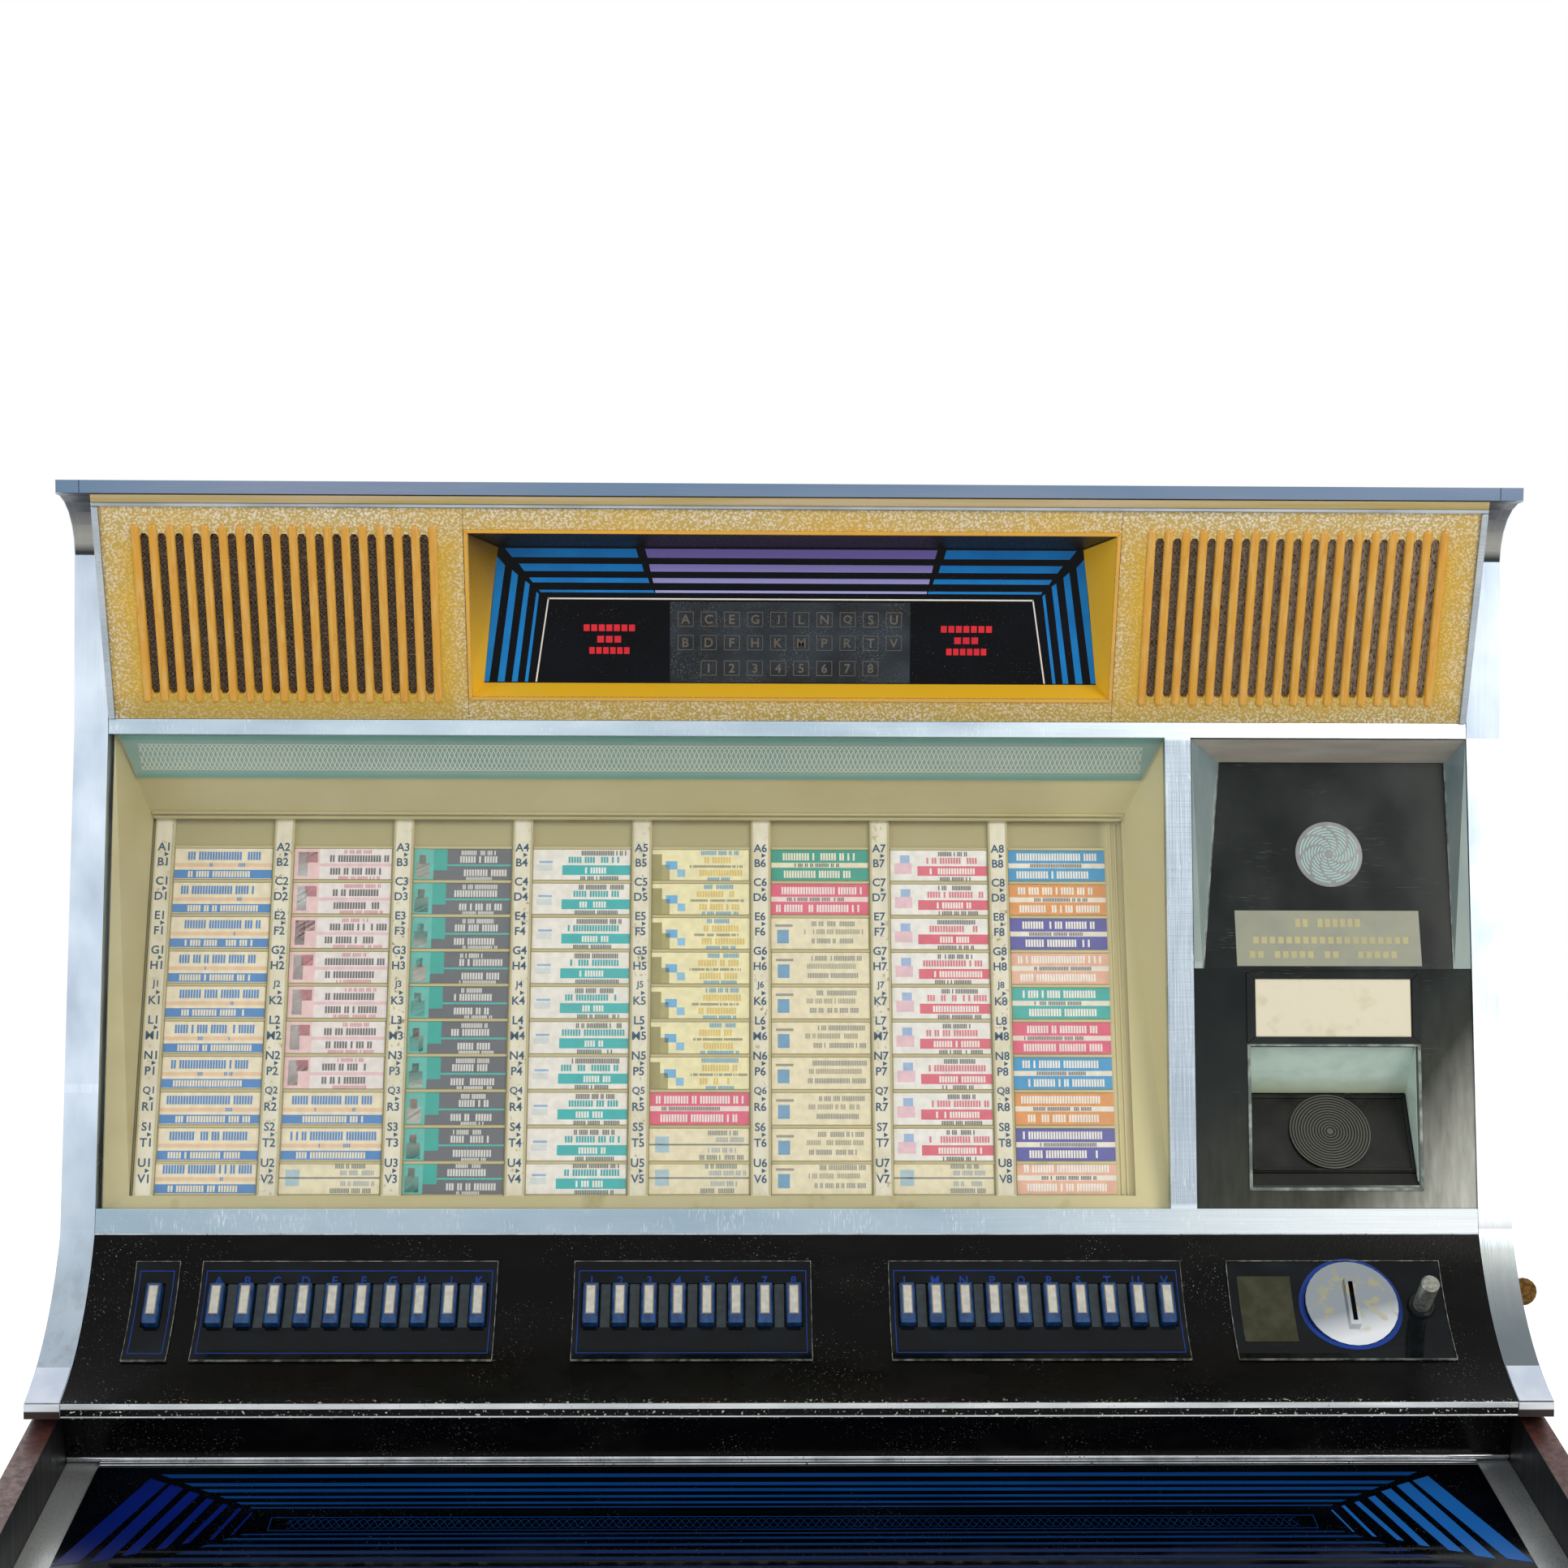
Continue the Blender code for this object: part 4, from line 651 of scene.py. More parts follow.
dress("tone_arm", chrome)
ARM_POST = np.array([0.248, 0.085, 0.729])
ARM_REACH = 0.175
weight = rod(ARM_POST + (0.014, 0, 0), (1, 0, 0), 0.0130, 0.018, 24)
add_piece("tone_arm_weight", weight, zinc_steel, "tone_arm", smooth=True)
points, faces = boxes(-0.011, 0.011, -0.0065, 0.0065, -0.0120, -0.0102)
add_piece("cartridge", (points + ARM_POST - (ARM_REACH, 0, 0), faces), black_satin, "tone_arm",
          bevel=0.0006)

turns = np.linspace(0, math.pi / 2, 7)
bend = np.stack([-0.202 - 0.050 * np.cos(turns), 0 * turns + SPINDLE_Y,
                 0.712 + 0.050 * np.sin(turns)], 1)
nose = np.stack([-0.142 + 0.022 * np.sin(turns), 0 * turns + SPINDLE_Y,
                 0.740 + 0.022 * np.cos(turns)], 1)
path = np.concatenate([[(-0.252, SPINDLE_Y, 0.4552), (-0.252, SPINDLE_Y, 0.60)], bend,
                       [(-0.170, SPINDLE_Y, 0.762)], nose, [(-0.120, SPINDLE_Y, 0.728)]])
gripper = joined(carried(round_section(0.0060), path, (0, 1, 0)),
                 rod((-0.252, SPINDLE_Y, 0.4550), (0, 0, 1), 0.016, 0.022, 24),
                 rod((-0.120, SPINDLE_Y - 0.009, 0.726), (0, 1, 0), 0.010, 0.018, 24))
add_piece("gripper_arm", gripper, zinc_steel, "cabinet", smooth=True)


# Apron: a satin black folded sheet under the lid, held by a corner bracket and a screw at each
# end, with a half round chromed strip along its foot.
dress("apron_panel", black_satin)
APRON = face_frame((0, -0.174, 0.6345), (0, -0.010, 0.0345))
APRON_HALF = 0.4934
BRACKET_WIDTH, BRACKET_FOOT, BRACKET_TOP = 0.0130, 0.0035, 0.0335
add_piece("apron_brackets", boxes([-APRON_HALF, APRON_HALF - BRACKET_WIDTH],
                                  [-APRON_HALF + BRACKET_WIDTH, APRON_HALF], BRACKET_FOOT,
                                  BRACKET_TOP, 0.0, 0.0010), black_satin, "cabinet",
          at=APRON, bevel=0.0004)
SCREW_PROFILE = [(0, 0.0008), (1, 0.0008), (1, 0.0016), (0.85, 0.0024), (0.45, 0.0028),
                 (0.28, 0.0028), (0.26, 0.0014), (0, 0.0014)]
SCREW_X, SCREW_Y, SCREW_RADIUS = 0.4868, 0.0090, 0.0036
screws = round_bodies([(-SCREW_X, SCREW_Y), (SCREW_X, SCREW_Y)], SCREW_RADIUS, SCREW_PROFILE, 20)
add_piece("apron_screws", screws, black_satin, "cabinet", at=APRON, smooth=True)
STRIP_RADIUS = 0.0024
strip_path = placed([(-APRON_HALF, 0.0012, 0.0), (APRON_HALF, 0.0012, 0.0)], APRON)
add_piece("apron_strip", carried(round_section(STRIP_RADIUS, 16), strip_path, APRON[2]), chrome,
          "cabinet", smooth=True)


# Deck: a sloping shelf of black glass screen printed underneath with a tunnel of blue stripes,
# in an extruded aluminium frame with wide side rails and a bright bar along the back.
deck_aluminium = brushed("satin extruded aluminium", "#c9cdcc", "#8f979c", (0, 1, 0), 0.05,
                         (0.22, 0.42), 0.55)
dress("deck_frame", deck_aluminium)
printed_glass, shader, where = new_finish("black backed float glass", "#020306", 0.05,
                                          Specular_IOR_Level=0.10)
specks = flecks(where, (0.0012, 0.67, 0.71), (0.05, 0.45, 0.6))
smudge = patches(where, 0.06, 0.45, 0.7)
fill(shader, {"Base Color": layered("#020307", (smudge, "#0a0e18", 0.5), (specks, "#50555c")),
              "Roughness": scaled(smudge, 0.04, 0.14)})
for node in ("deck_glass", "display_glass"):
    dress(node, printed_glass)


def ink(name, code, dark, rough=0.22):
    """Screen printed enamel under glass: even, with a faint unevenness where it wore."""
    return mottled(name, code, rough, (0.03, 0.35, 0.7), code, (dark, 0.6), Specular_IOR_Level=0.12)


blue_ink, shader, where = new_finish("blue enamel", "#0d4488", 0.22, Specular_IOR_Level=0.12)
forward = past(where, (0, -1, 0), 0.200, 0.330)
thin = patches(where, (0.08, 0.03, 0.03), 0.35, 0.7)
fill(shader, {"Base Color": layered("#0e4a92", (thin, "#0b3876", 0.6), (forward, "#030b2a"))})
royal_ink, shader, where = new_finish("royal blue enamel", "#15259c", 0.22, Specular_IOR_Level=0.12)
rightward = past(where, (1, 0, 0), -0.2, 0.3)
forward = past(where, (0, -1, 0), 0.20, 0.33)
fill(shader, {"Base Color": layered("#0b2076", (forward, "#030f44", 0.8), (rightward, "#1b61ae"))})
DECK = face_frame((0, -0.345, 0.610), (0, 0.175, 0.023))
PRINT_FOOT, PRINT_TOP = 0.00095, 0.00112
TUNNEL_MIDDLE, TUNNEL_HALF, TUNNEL_SPREAD, PRINT_START = 0.0880, 0.3316, 1.445, 0.0085
gaps = np.array([0.0628, 0.0505, 0.0419, 0.0327, 0.0242, 0.0179])
thick = np.array([0.0049, 0.0042, 0.0040, 0.0029, 0.0026, 0.0014])
bars = []
for way in (1, -1):
    near, far = gaps - thick / 2, gaps + thick / 2
    near_half, far_half = TUNNEL_HALF + TUNNEL_SPREAD * near, TUNNEL_HALF + TUNNEL_SPREAD * far
    corners = [(-near_half, near), (near_half, near), (far_half, far), (-far_half, far)]
    outline = np.stack([np.stack([across, TUNNEL_MIDDLE + way * up], 1)
                        for across, up in corners[::way]], 1)
    bars.append(prisms(outline[outline[:, :, 1].min(1) > PRINT_START], PRINT_FOOT, PRINT_TOP))
add_piece("deck_stripes", joined(*bars), blue_ink, "cabinet", at=DECK)
SIDE_TOPS = np.array([(0.4318, 0.1472), (0.4166, 0.1386), (0.4021, 0.1292), (0.3890, 0.1193),
                      (0.3767, 0.1116), (0.3658, 0.1060), (0.3565, 0.0997)])
SIDE_FEET = np.array([(0.4700, 0.0292), (0.4471, 0.0341), (0.4287, 0.0424), (0.4087, 0.0500),
                      (0.3936, 0.0577), (0.3772, 0.0629), (0.3643, 0.0694)])
TOP_WIDTHS = np.array([0.0120, 0.0095, 0.0075, 0.0052, 0.0036, 0.0024, 0.0013])
FOOT_WIDTHS = np.array([0.0160, 0.0120, 0.0090, 0.0062, 0.0043, 0.0026, 0.0013])
top_in = SIDE_TOPS + np.stack([-TOP_WIDTHS, -TOP_WIDTHS * 0.55], 1)
foot_in = SIDE_FEET + np.stack([-FOOT_WIDTHS, FOOT_WIDTHS * 0.30], 1)
right_side = np.stack([SIDE_FEET, SIDE_TOPS, top_in, foot_in], 1)
left_side = (right_side * (-1, 1))[:, ::-1]
add_piece("deck_side_stripes", prisms(np.concatenate([left_side, right_side]), PRINT_FOOT,
                                      PRINT_TOP), royal_ink, "cabinet", at=DECK)

LATTICE_HALF, LATTICE_PITCH, LATTICE_SWING = 0.3300, 0.0150, 0.0062
reach = np.linspace(-LATTICE_HALF, LATTICE_HALF, 529)
threads = [prisms(mitred_ring(-LATTICE_HALF - 0.012, LATTICE_HALF + 0.012, 0.0748, 0.0928, 0.0006),
                  PRINT_FOOT, PRINT_TOP)]
for phase in range(3):
    swing = LATTICE_SWING * np.sin(2 * math.pi * (reach / LATTICE_PITCH + phase / 3))
    line = np.stack([reach, 0.0838 + swing, 0 * reach + PRINT_FOOT], 1)
    threads.append(carried(flat_section(0.0003, 0.0002), line, (0, 0, 1)))
add_piece("deck_lattice", joined(*threads), blue_ink, "cabinet", at=DECK)
BACK_BAR_HALF, BACK_BAR_FOOT, BACK_BAR_TOP = 0.4710, 0.1655, 0.1705
add_piece("deck_back_bar", boxes(-BACK_BAR_HALF, BACK_BAR_HALF, BACK_BAR_FOOT, BACK_BAR_TOP,
                                 -0.0002, 0.0024), chrome, "cabinet", at=DECK,
          bevel=0.0008)


# Lid cheeks: two cast aluminium side frames, brushed, that carry the whole lid. Each has a cove
# under the cap, sweeps out along the key panel, and ends in a clear plastic foot guard.
ARC_CENTRE = np.array([-0.26283717, 0.85626801])
ARC_RADIUS, ARC_HALF = 0.1768036, 0.4006285
ARC_ALONG, ARC_BELOW = np.array([-0.7758921, -0.6308656]), np.array([0.6308656, -0.7758921])


def swept_normal(where):
    """The sweep's true round normal, towards its centre line, on the flats within 1 mm of it."""
    flat = add_node(where, "NewGeometry").outputs["True Normal"]
    spoke = add_node(where, "VectorMath", {0: (0, *ARC_CENTRE), 1: where}, operation="SUBTRACT")
    spoke = add_node(where, "VectorMath", {0: spoke.outputs[0], 1: (0, 1, 1)}, operation="MULTIPLY")
    length = add_node(where, "VectorMath", {0: spoke.outputs[0]}, operation="LENGTH")
    away = add_node(where, "Math", {0: length.outputs["Value"], 1: ARC_RADIUS},
                    operation="SUBTRACT")
    away = add_node(where, "Math", {0: away.outputs[0]}, operation="ABSOLUTE")
    on_sweep = ranged(away.outputs[0], 0.0012, 0.0008)
    round_way = add_node(where, "VectorMath", {0: spoke.outputs[0]}, operation="NORMALIZE")
    turned = add_node(where, "VectorTransform", {0: round_way.outputs[0]}, vector_type="NORMAL",
                      convert_from="OBJECT", convert_to="WORLD").outputs[0]
    agreement = add_node(where, "VectorMath", {0: turned, 1: flat}, operation="DOT_PRODUCT")
    in_front = ranged(agreement.outputs["Value"], 0.90, 0.95)
    share = both(on_sweep, in_front)
    blend = add_node(where, "Mix", {0: share, 4: flat, 5: turned}, data_type="VECTOR")
    return blend.outputs[1]


cheek_aluminium, shader, where = new_finish("brushed cast aluminium", "#dde6ee", 0.3, Metallic=1.0)
lines = patches(where, (0.0005, 0.06, 0.06), 0.3, 0.7)
worn = patches(where, (0.05, 0.05, 0.09), 0.35, 0.65)
grease = both(patches(where, (0.012, 0.012, 0.03), 0.5, 0.66),
              past(where, (0, 0, -1), -0.80, -0.70))
# Painted light on the cheeks: the left cheek is painted in shade low down; the right one carries a
# painted white highlight above a grey band and a darker foot, both painted reflections; the cove
# under the cap is painted with shade and reflection bands. Both cheeks also darken towards the
# foot.
low_down = past(where, (0, 0, -1), -0.86, -0.74)
leftward = past(where, (-1, 0, 0), -0.1, 0.1)
cove_height = past(where, (0, 0, 1), 1.2474, 1.2480)
front_only = past(either_side(where), (-1, 0, 0), -0.5118, -0.5114)
cove = both(both(cove_height, front_only), past(where, (0, -1, 0), 0.020, 0.024))
rightward = past(where, (1, 0, 0), -0.1, 0.1)
painted_grey_reflection = both(past(where, (0, 0, -1), -0.783, -0.764), rightward)
sun_struck = both(both(past(where, (0, 0, 1), 0.770, 0.780),
                       past(where, (0, 0, -1), -0.960, -0.860)), rightward)
painted_dark_reflection = both(past(where, (0, 0, -1), -0.758, -0.715), rightward)
cove_shade = layered("#34373b", (past(where, (0, 0, 1), 1.250, 1.256), "#8f8f8a"),
                     (past(where, (0, 0, 1), 1.262, 1.282), "#54575e"))
painted_left_shade = both(low_down, leftward)
fill(shader, {"Base Color": layered("#e2eefa", (lines, "#b9c6d4", 0.35), (worn, "#a9b9ca", 0.85),
                                    (sun_struck, "#ffffff", 0.8), (painted_left_shade, "#a3b0bd", 0.55),
                                    (low_down, "#8fa0ac", 0.30), (grease, "#8d949a", 0.6),
                                    (painted_grey_reflection, "#858b8a", 0.9), (painted_dark_reflection, "#5a666e", 0.6),
                                    (cove, cove_shade)),
              "Roughness": scaled(lines, 0.26, 0.46),
              "Normal": bump(lines, 0.00005, 0.35, swept_normal(where))})
for side in ("left", "right"):
    dress("cheek_" + side, cheek_aluminium)


def on_arc(turn, out=0.0):
    """(y, z) on the key panel's hollow curve: centre + (R - out) (along sin a + below cos a)."""
    spokes = np.outer(np.sin(turn), ARC_ALONG) + np.outer(np.cos(turn), ARC_BELOW)
    return ARC_CENTRE + (ARC_RADIUS - np.asarray(out)) * spokes


def arc_line(shares, out=0.0):
    """(y, z) at shares of the curve, as it turns from -half at its top to +half at its foot."""
    return on_arc(ARC_HALF * (2 * np.asarray(shares, float) - 1), out)


def arc_slab(left, right, start, end, low, high, steps=14):
    """A slab on the panel's curve between two shares, standing from low to high off it."""
    shares = np.linspace(start, end, steps)
    return run_across(np.concatenate([arc_line(shares, high), arc_line(shares[::-1], low)]),
                      left, right)


foot_guard = mottled("clear plastic foot guard, hazed", "#c8d4e6", 0.3, (0.02, 0.35, 0.7),
                     "#c3d0e4", "#dbe3f0", Coat_Weight=0.3)
add_piece("cheek_foot_guards", arc_slab([-0.5115, 0.4885], [-0.4885, 0.5115], 0.74, 0.995, 0.0001,
                                        0.0009), foot_guard, "lid", bevel=0.0003)
LIP_FRONT, LIP_TOP, LIP_FOOT = -0.2136, 0.6862, 0.6765
CHEEK_INNER, CHEEK_OUTER = 0.4882, 0.5118
points, faces = run_across([(LIP_FRONT - 0.0012, LIP_TOP - 0.001), (LIP_FRONT - 0.0012, LIP_FOOT),
                            (LIP_FRONT + 0.010, LIP_FOOT - 0.0008), (LIP_FRONT - 0.0002, LIP_TOP)],
                           [-CHEEK_OUTER, CHEEK_INNER], [-CHEEK_INNER, CHEEK_OUTER])
# The lip is bright aluminium along its top and painted dark below it: a painted shadow on its
# underside.
lip_metal, shader, where = new_finish("aluminium lip, painted shadow below", "#c3c8cc", 0.3, Metallic=0.6)
bright_top = past(where, (0, 0, 1), 0.6812, 0.6820)
fill(shader, {"Base Color": layered("#2b201e", (bright_top, "#cdd2d8"))})
add_piece("cheek_lips", (points, faces), lip_metal, "lid")


# Cap: a polished anodised aluminium sheet over the top with mitred front corners; under its edge
# run a smooth yellow fillet and a thin silver trim line that meets the header.
cap_metal, shader, where = new_finish("polished blue grey anodised aluminium", "#7990a8", 0.24,
                                      Metallic=1.0)
drift = patches(where, (0.25, 0.05, 0.05), 0.35, 0.65)
fine = patches(where, (0.05, 0.0006, 0.0006), 0.35, 0.7)
fill(shader, {"Base Color": layered("#6f89a3", (drift, "#8d97ae", 0.8), (fine, "#5d7086", 0.3)),
              "Roughness": scaled(fine, 0.18, 0.34)})
dress("top_cap", cap_metal)
HEADER = face_frame((0, -0.036, 1.1315), (0, -0.2820, 0.9594))
SIDE_EDGE = 0.4876
add_piece("cap_mitres", run_across([(-0.0842, 1.2998), (-0.0842, 1.2912), (-0.0836, 1.2912),
                                    (-0.0836, 1.2998)], [-0.4951, 0.4947], [-0.4947, 0.4951]),
          black_satin, "lid")
smooth_yellow, shader, where = new_finish("smooth moulded yellow ABS", "#cf9c2e", 0.28,
                                          Coat_Weight=0.2)
aged = patches(where, (0.05, 0.02, 0.02), 0.4, 0.7)
grime = flecks(where, ((0.003, 0.003, 0.01), 0.60, 0.70), (0.05, 0.45, 0.6))
fill(shader, {"Base Color": layered("#dba323", (aged, "#c9963a", 0.7), (grime, "#6e5a2c", 0.5))})
fillet_yellow = mottled("worn yellow fillet", "#ab9763", 0.35, ((0.12, 0.004, 0.004), 0.35, 0.65),
                        "#a89450", "#bba57e", Coat_Weight=0.2)
TRIM_FOOT, TRIM_TOP, FILLET_TOP, SIDE_TRIM_WIDTH = 0.1572, 0.1600, 0.1654, 0.0050
add_piece("cap_fillet", boxes(-SIDE_EDGE, SIDE_EDGE, TRIM_TOP, FILLET_TOP, -0.003, 0.0006),
          fillet_yellow, "lid", at=HEADER)
silver_line = brushed("thin silver trim", "#aeb6bd", "#7d868e", (1, 0, 0))
add_piece("header_trim_line", boxes(-SIDE_EDGE, SIDE_EDGE, TRIM_FOOT, TRIM_TOP, -0.0004, 0.0022),
          silver_line, "lid", at=HEADER, bevel=0.0008)
add_piece("header_side_trims", boxes([-SIDE_EDGE, SIDE_EDGE - SIDE_TRIM_WIDTH],
                                     [-SIDE_EDGE + SIDE_TRIM_WIDTH, SIDE_EDGE], 0.0, TRIM_FOOT,
                                     -0.0004, 0.0026), silver_line, "lid",
          at=HEADER, bevel=0.001)


# Header: pebble grained yellow ABS, its crests worn silver white along the edges, with 17 speaker
# slots a side, smooth raised ribs between them, and woven cloth on a baffle with a speaker behind.
HEADER_OUT = tuple(HEADER[2])
HEADER_UP = tuple(HEADER[1])
HEADER_FOOT_UP = float(HEADER[3] @ HEADER[1])
HEADER_FOOT_OUT = float(HEADER[3] @ HEADER[2])


def pebbled(name):
    """Pebble grain 2 mm across: crests worn pale near the edges, hollows that stay yellow."""
    made, shader, where = new_finish(name, "#bca24e", 0.42)
    swirl = add_node(where, "TexNoise", {"Vector": where, "Scale": 330.0, "Detail": 1.0})
    nudged = add_node(where, "VectorMath", {0: swirl.outputs["Color"], 1: (0.0009, 0.0009, 0.0009),
                                            2: where}, operation="MULTIPLY_ADD").outputs[0]
    grain = add_node(where, "TexVoronoi", {"Vector": nudged, "Scale": 600.0},
                     feature="SMOOTH_F1").outputs["Distance"]
    crest = ranged(grain, 0.50, 0.22)
    near_top = past(where, HEADER_UP, HEADER_FOOT_UP + 0.122, HEADER_FOOT_UP + 0.152)
    near_foot = past(where, tuple(-value for value in HEADER_UP), -HEADER_FOOT_UP - 0.024,
                     -HEADER_FOOT_UP - 0.002)
    across = either_side(where)
    near_end = past(across, (1, 0, 0), 0.462, 0.486)
    near_seam = past(across, (-1, 0, 0), -0.246, -0.233)
    edges = larger(larger(near_top, near_end), scaled(near_seam, 0.0, 0.6))
    foot_share = both(near_foot, scaled(past(where, (1, 0, 0), -0.15, 0.40), 0.2, 0.8))
    edges = larger(edges, foot_share)
    uneven = patches(where, (0.06, 0.03, 0.03), 0.3, 0.7)
    worn = both(edges, scaled(uneven, 0.45, 1.0))
    backward = tuple(-value for value in HEADER_OUT)
    inside = past(where, backward, -HEADER_FOOT_OUT + 0.0005, -HEADER_FOOT_OUT + 0.0009)
    outside = scaled(inside, 1.0, 0.0)
    crest_share = both(both(crest, outside), scaled(worn, 0.04, 0.88))
    hollow = both(scaled(crest, 0.32, 0.0), outside)
    # Painted shade inside the bezel: its walls darken towards the top left, and its ceiling is
    # painted near black as shadow.
    in_bezel = past(across, (-1, 0, 0), -0.2310, -0.2300)
    painted_ceiling_shadow = both(in_bezel, past(where, (0, 0.1961, 0.9806), 1.2246, 1.2251))
    shade = both(in_bezel, past(where, (-0.35, 0, 1), 1.250, 1.345))
    wall = layered("#eeba24", (shade, "#5c4310"), (painted_ceiling_shadow, "#17140e"))
    fill(shader, {"Base Color": layered("#e0b128", (uneven, "#cba432", 0.6), (worn, "#c4b487", 0.7),
                                        (near_foot, "#8c7d34", 0.55), (hollow, "#93792a"),
                                        (crest_share, "#efebe0"), (inside, wall)),
                  "Roughness": scaled(crest, 0.50, 0.34),
                  "Normal": bump(both(crest, outside), 0.0005, 0.55)})
    return made


pebbled_yellow = pebbled("pebble grained yellow ABS")
for node in ("grille_left", "grille_right", "display_bezel"):
    dress(node, pebbled_yellow)

SLOT_FIRST, SLOT_LAST, SLOT_COUNT = 0.2580, 0.4527, 17
SLOT_PITCH = (SLOT_LAST - SLOT_FIRST) / (SLOT_COUNT - 1)
RIB_RADIUS, RIB_FOOT, RIB_TOP = 0.0028, 0.0125, 0.1440


def uprights(middles, radius, foot, top, steps=7):
    """Outlines and middle lines of upright bars with round ends."""
    turns = np.linspace(0, math.pi, steps)
    half = np.stack([np.cos(turns), np.sin(turns)], 1) * radius
    ends = np.array([(0, top - radius), (0, foot + radius)])
    outline = np.concatenate([half + ends[0], -half + ends[1]])
    spine = np.repeat(ends, steps, 0)
    lifts = np.stack([middles, 0 * middles], 1)[:, None]
    return outline + lifts, spine + lifts


rib_yellow, shader, where = new_finish("yellow ABS, painted pale highlights", "#e0a01e", 0.3,
                                       Coat_Weight=0.2)
# The pale streaks on the ribs are painted highlights.
rubbed_and_highlit = patches(where, (0.0020, 0.010, 0.030), 0.46, 0.66)
browned = patches(where, (0.004, 0.008, 0.020), 0.56, 0.72)
fill(shader, {"Base Color": layered("#d39617", (rubbed_and_highlit, "#e0c67c", 0.34),
                                    (browned, "#bd7419", 0.4))})
between = SLOT_FIRST + SLOT_PITCH * (np.arange(SLOT_COUNT + 1) - 0.5)
rib_shape = [(0, -0.0002), (1, -0.0002), (1, 0.0006), (0.8, 0.0012), (0.45, 0.0016), (0, 0.0017)]
add_piece("speaker_ribs", shells(*uprights(np.concatenate([-between, between]), RIB_RADIUS,
                                           RIB_FOOT, RIB_TOP), rib_shape), rib_yellow, "lid",
          at=HEADER, smooth=True)
CLOTH_DEPTH, BAFFLE_DEPTH = -0.0034, -0.0120
add_piece("speaker_cloth", boxes([-0.480, 0.236], [-0.236, 0.480], 0.006, 0.150,
                                 CLOTH_DEPTH - 0.0008, CLOTH_DEPTH), speaker_cloth, "lid",
          at=HEADER)
add_piece("speaker_baffles", boxes([-0.484, 0.234], [-0.234, 0.484], 0.002, 0.154, BAFFLE_DEPTH,
                                   CLOTH_DEPTH - 0.0009), black_board, "lid",
          at=HEADER)
CONE = [(0, -0.012), (1, -0.012), (1.0, -0.018), (0.92, -0.018), (0.55, -0.045), (0.52, -0.070),
        (0, -0.070)]
SPEAKER_X, SPEAKER_Y, SPEAKER_RADIUS = 0.356, 0.078, 0.068
add_piece("speakers", round_bodies([(-SPEAKER_X, SPEAKER_Y), (SPEAKER_X, SPEAKER_Y)],
                                   SPEAKER_RADIUS, CONE[::-1], 32),
          zinc_steel, "lid", at=HEADER, smooth=True)


# Display: a deep yellow bezel with a raised bead, over an upright black glass printed with mitred
# blue and violet stripes, a white frame line, and a smoked panel of boxed selection codes.
add_piece("bezel_bead", prisms(mitred_ring(-0.2303, 0.2303, 0.0150, 0.1415, 0.0026), -0.0002,
                               0.0012), smooth_yellow, "lid", at=HEADER, bevel=0.0005)
GLASS_TOP = 1.2554
GLASS_STRETCH = 1.098      # table depths to the glass's own height
DISPLAY = face_frame((0, -0.0277, GLASS_TOP), (0, 0, 1))
DISPLAY_INK = (0.00002, 0.00018)


def on_glass(table):
    """Outlines from a table of (x, depth below the glass's top) in millimetres."""
    return np.asarray(table, float) * (0.001, -0.001 * GLASS_STRETCH)


def mirrored(outlines):
    """The outlines, and the same again on the other side, still counterclockwise."""
    return np.concatenate([outlines, (outlines * (-1, 1))[:, ::-1]])


blue_stripes = on_glass([
    [(-200.2, 6.9), (-109.6, 6.9), (-111.5, 1.1), (-205.3, 1.1)],
    [(-191.5, 15.9), (-105.9, 15.9), (-107.3, 11.1), (-195.4, 11.1)],
    [(-185.5, 23.3), (-101.8, 23.3), (-103.0, 20.1), (-188.0, 20.1)],
    [(-179.8, 29.7), (-98.2, 29.7), (-98.8, 28.1), (-181.0, 28.1)],
    [(-220.4, 88.2), (-216.9, 88.2), (-205.2, 12.3), (-210.9, 6.4)],
    [(-210.9, 88.2), (-205.9, 88.2), (-195.9, 18.6), (-200.2, 15.2)],
    [(-200.7, 88.2), (-196.6, 88.2), (-187.6, 24.5), (-190.8, 22.4)],
    [(-191.4, 88.2), (-189.1, 88.2), (-181.0, 30.9), (-182.8, 29.4)]])
violet_stripes = on_glass([
    [(-103.2, 6.9), (103.2, 6.9), (105.0, 1.1), (-105.0, 1.1)],
    [(-101.0, 15.9), (101.0, 15.9), (102.1, 11.1), (-102.1, 11.1)],
    [(-99.0, 23.3), (99.0, 23.3), (99.8, 20.1), (-99.8, 20.1)],
    [(-97.5, 29.7), (97.5, 29.7), (97.7, 28.1), (-97.7, 28.1)]])
white_lines = on_glass([
    [(-174.7, 34.2), (174.7, 34.2), (174.7, 33.2), (-174.7, 33.2)],
    [(-183.7, 88.2), (-182.6, 88.2), (-173.7, 33.4), (-174.7, 33.4)],
    [(182.6, 88.2), (183.7, 88.2), (174.7, 33.4), (173.7, 33.4)]])
sky_ink = ink("sky blue enamel", "#1c84d0", "#1566b0", 0.3)
violet_ink, shader, where = new_finish("violet enamel", "#8478ad", 0.3, Specular_IOR_Level=0.15)
lower = past(where, (0, 0, -1), -1.2495, -1.2240)
fill(shader, {"Base Color": layered("#786ab4", (lower, "#a6a4dc"))})
white_ink = ink("white enamel", "#e6e2da", "#c9c2b6", 0.3)
for name, outlines, finish in (("display_blue_stripes", mirrored(blue_stripes), sky_ink),
                               ("display_violet_stripes", violet_stripes, violet_ink),
                               ("display_white_line", white_lines, white_ink)):
    add_piece(name, prisms(outlines, *DISPLAY_INK), finish, "lid", at=DISPLAY)

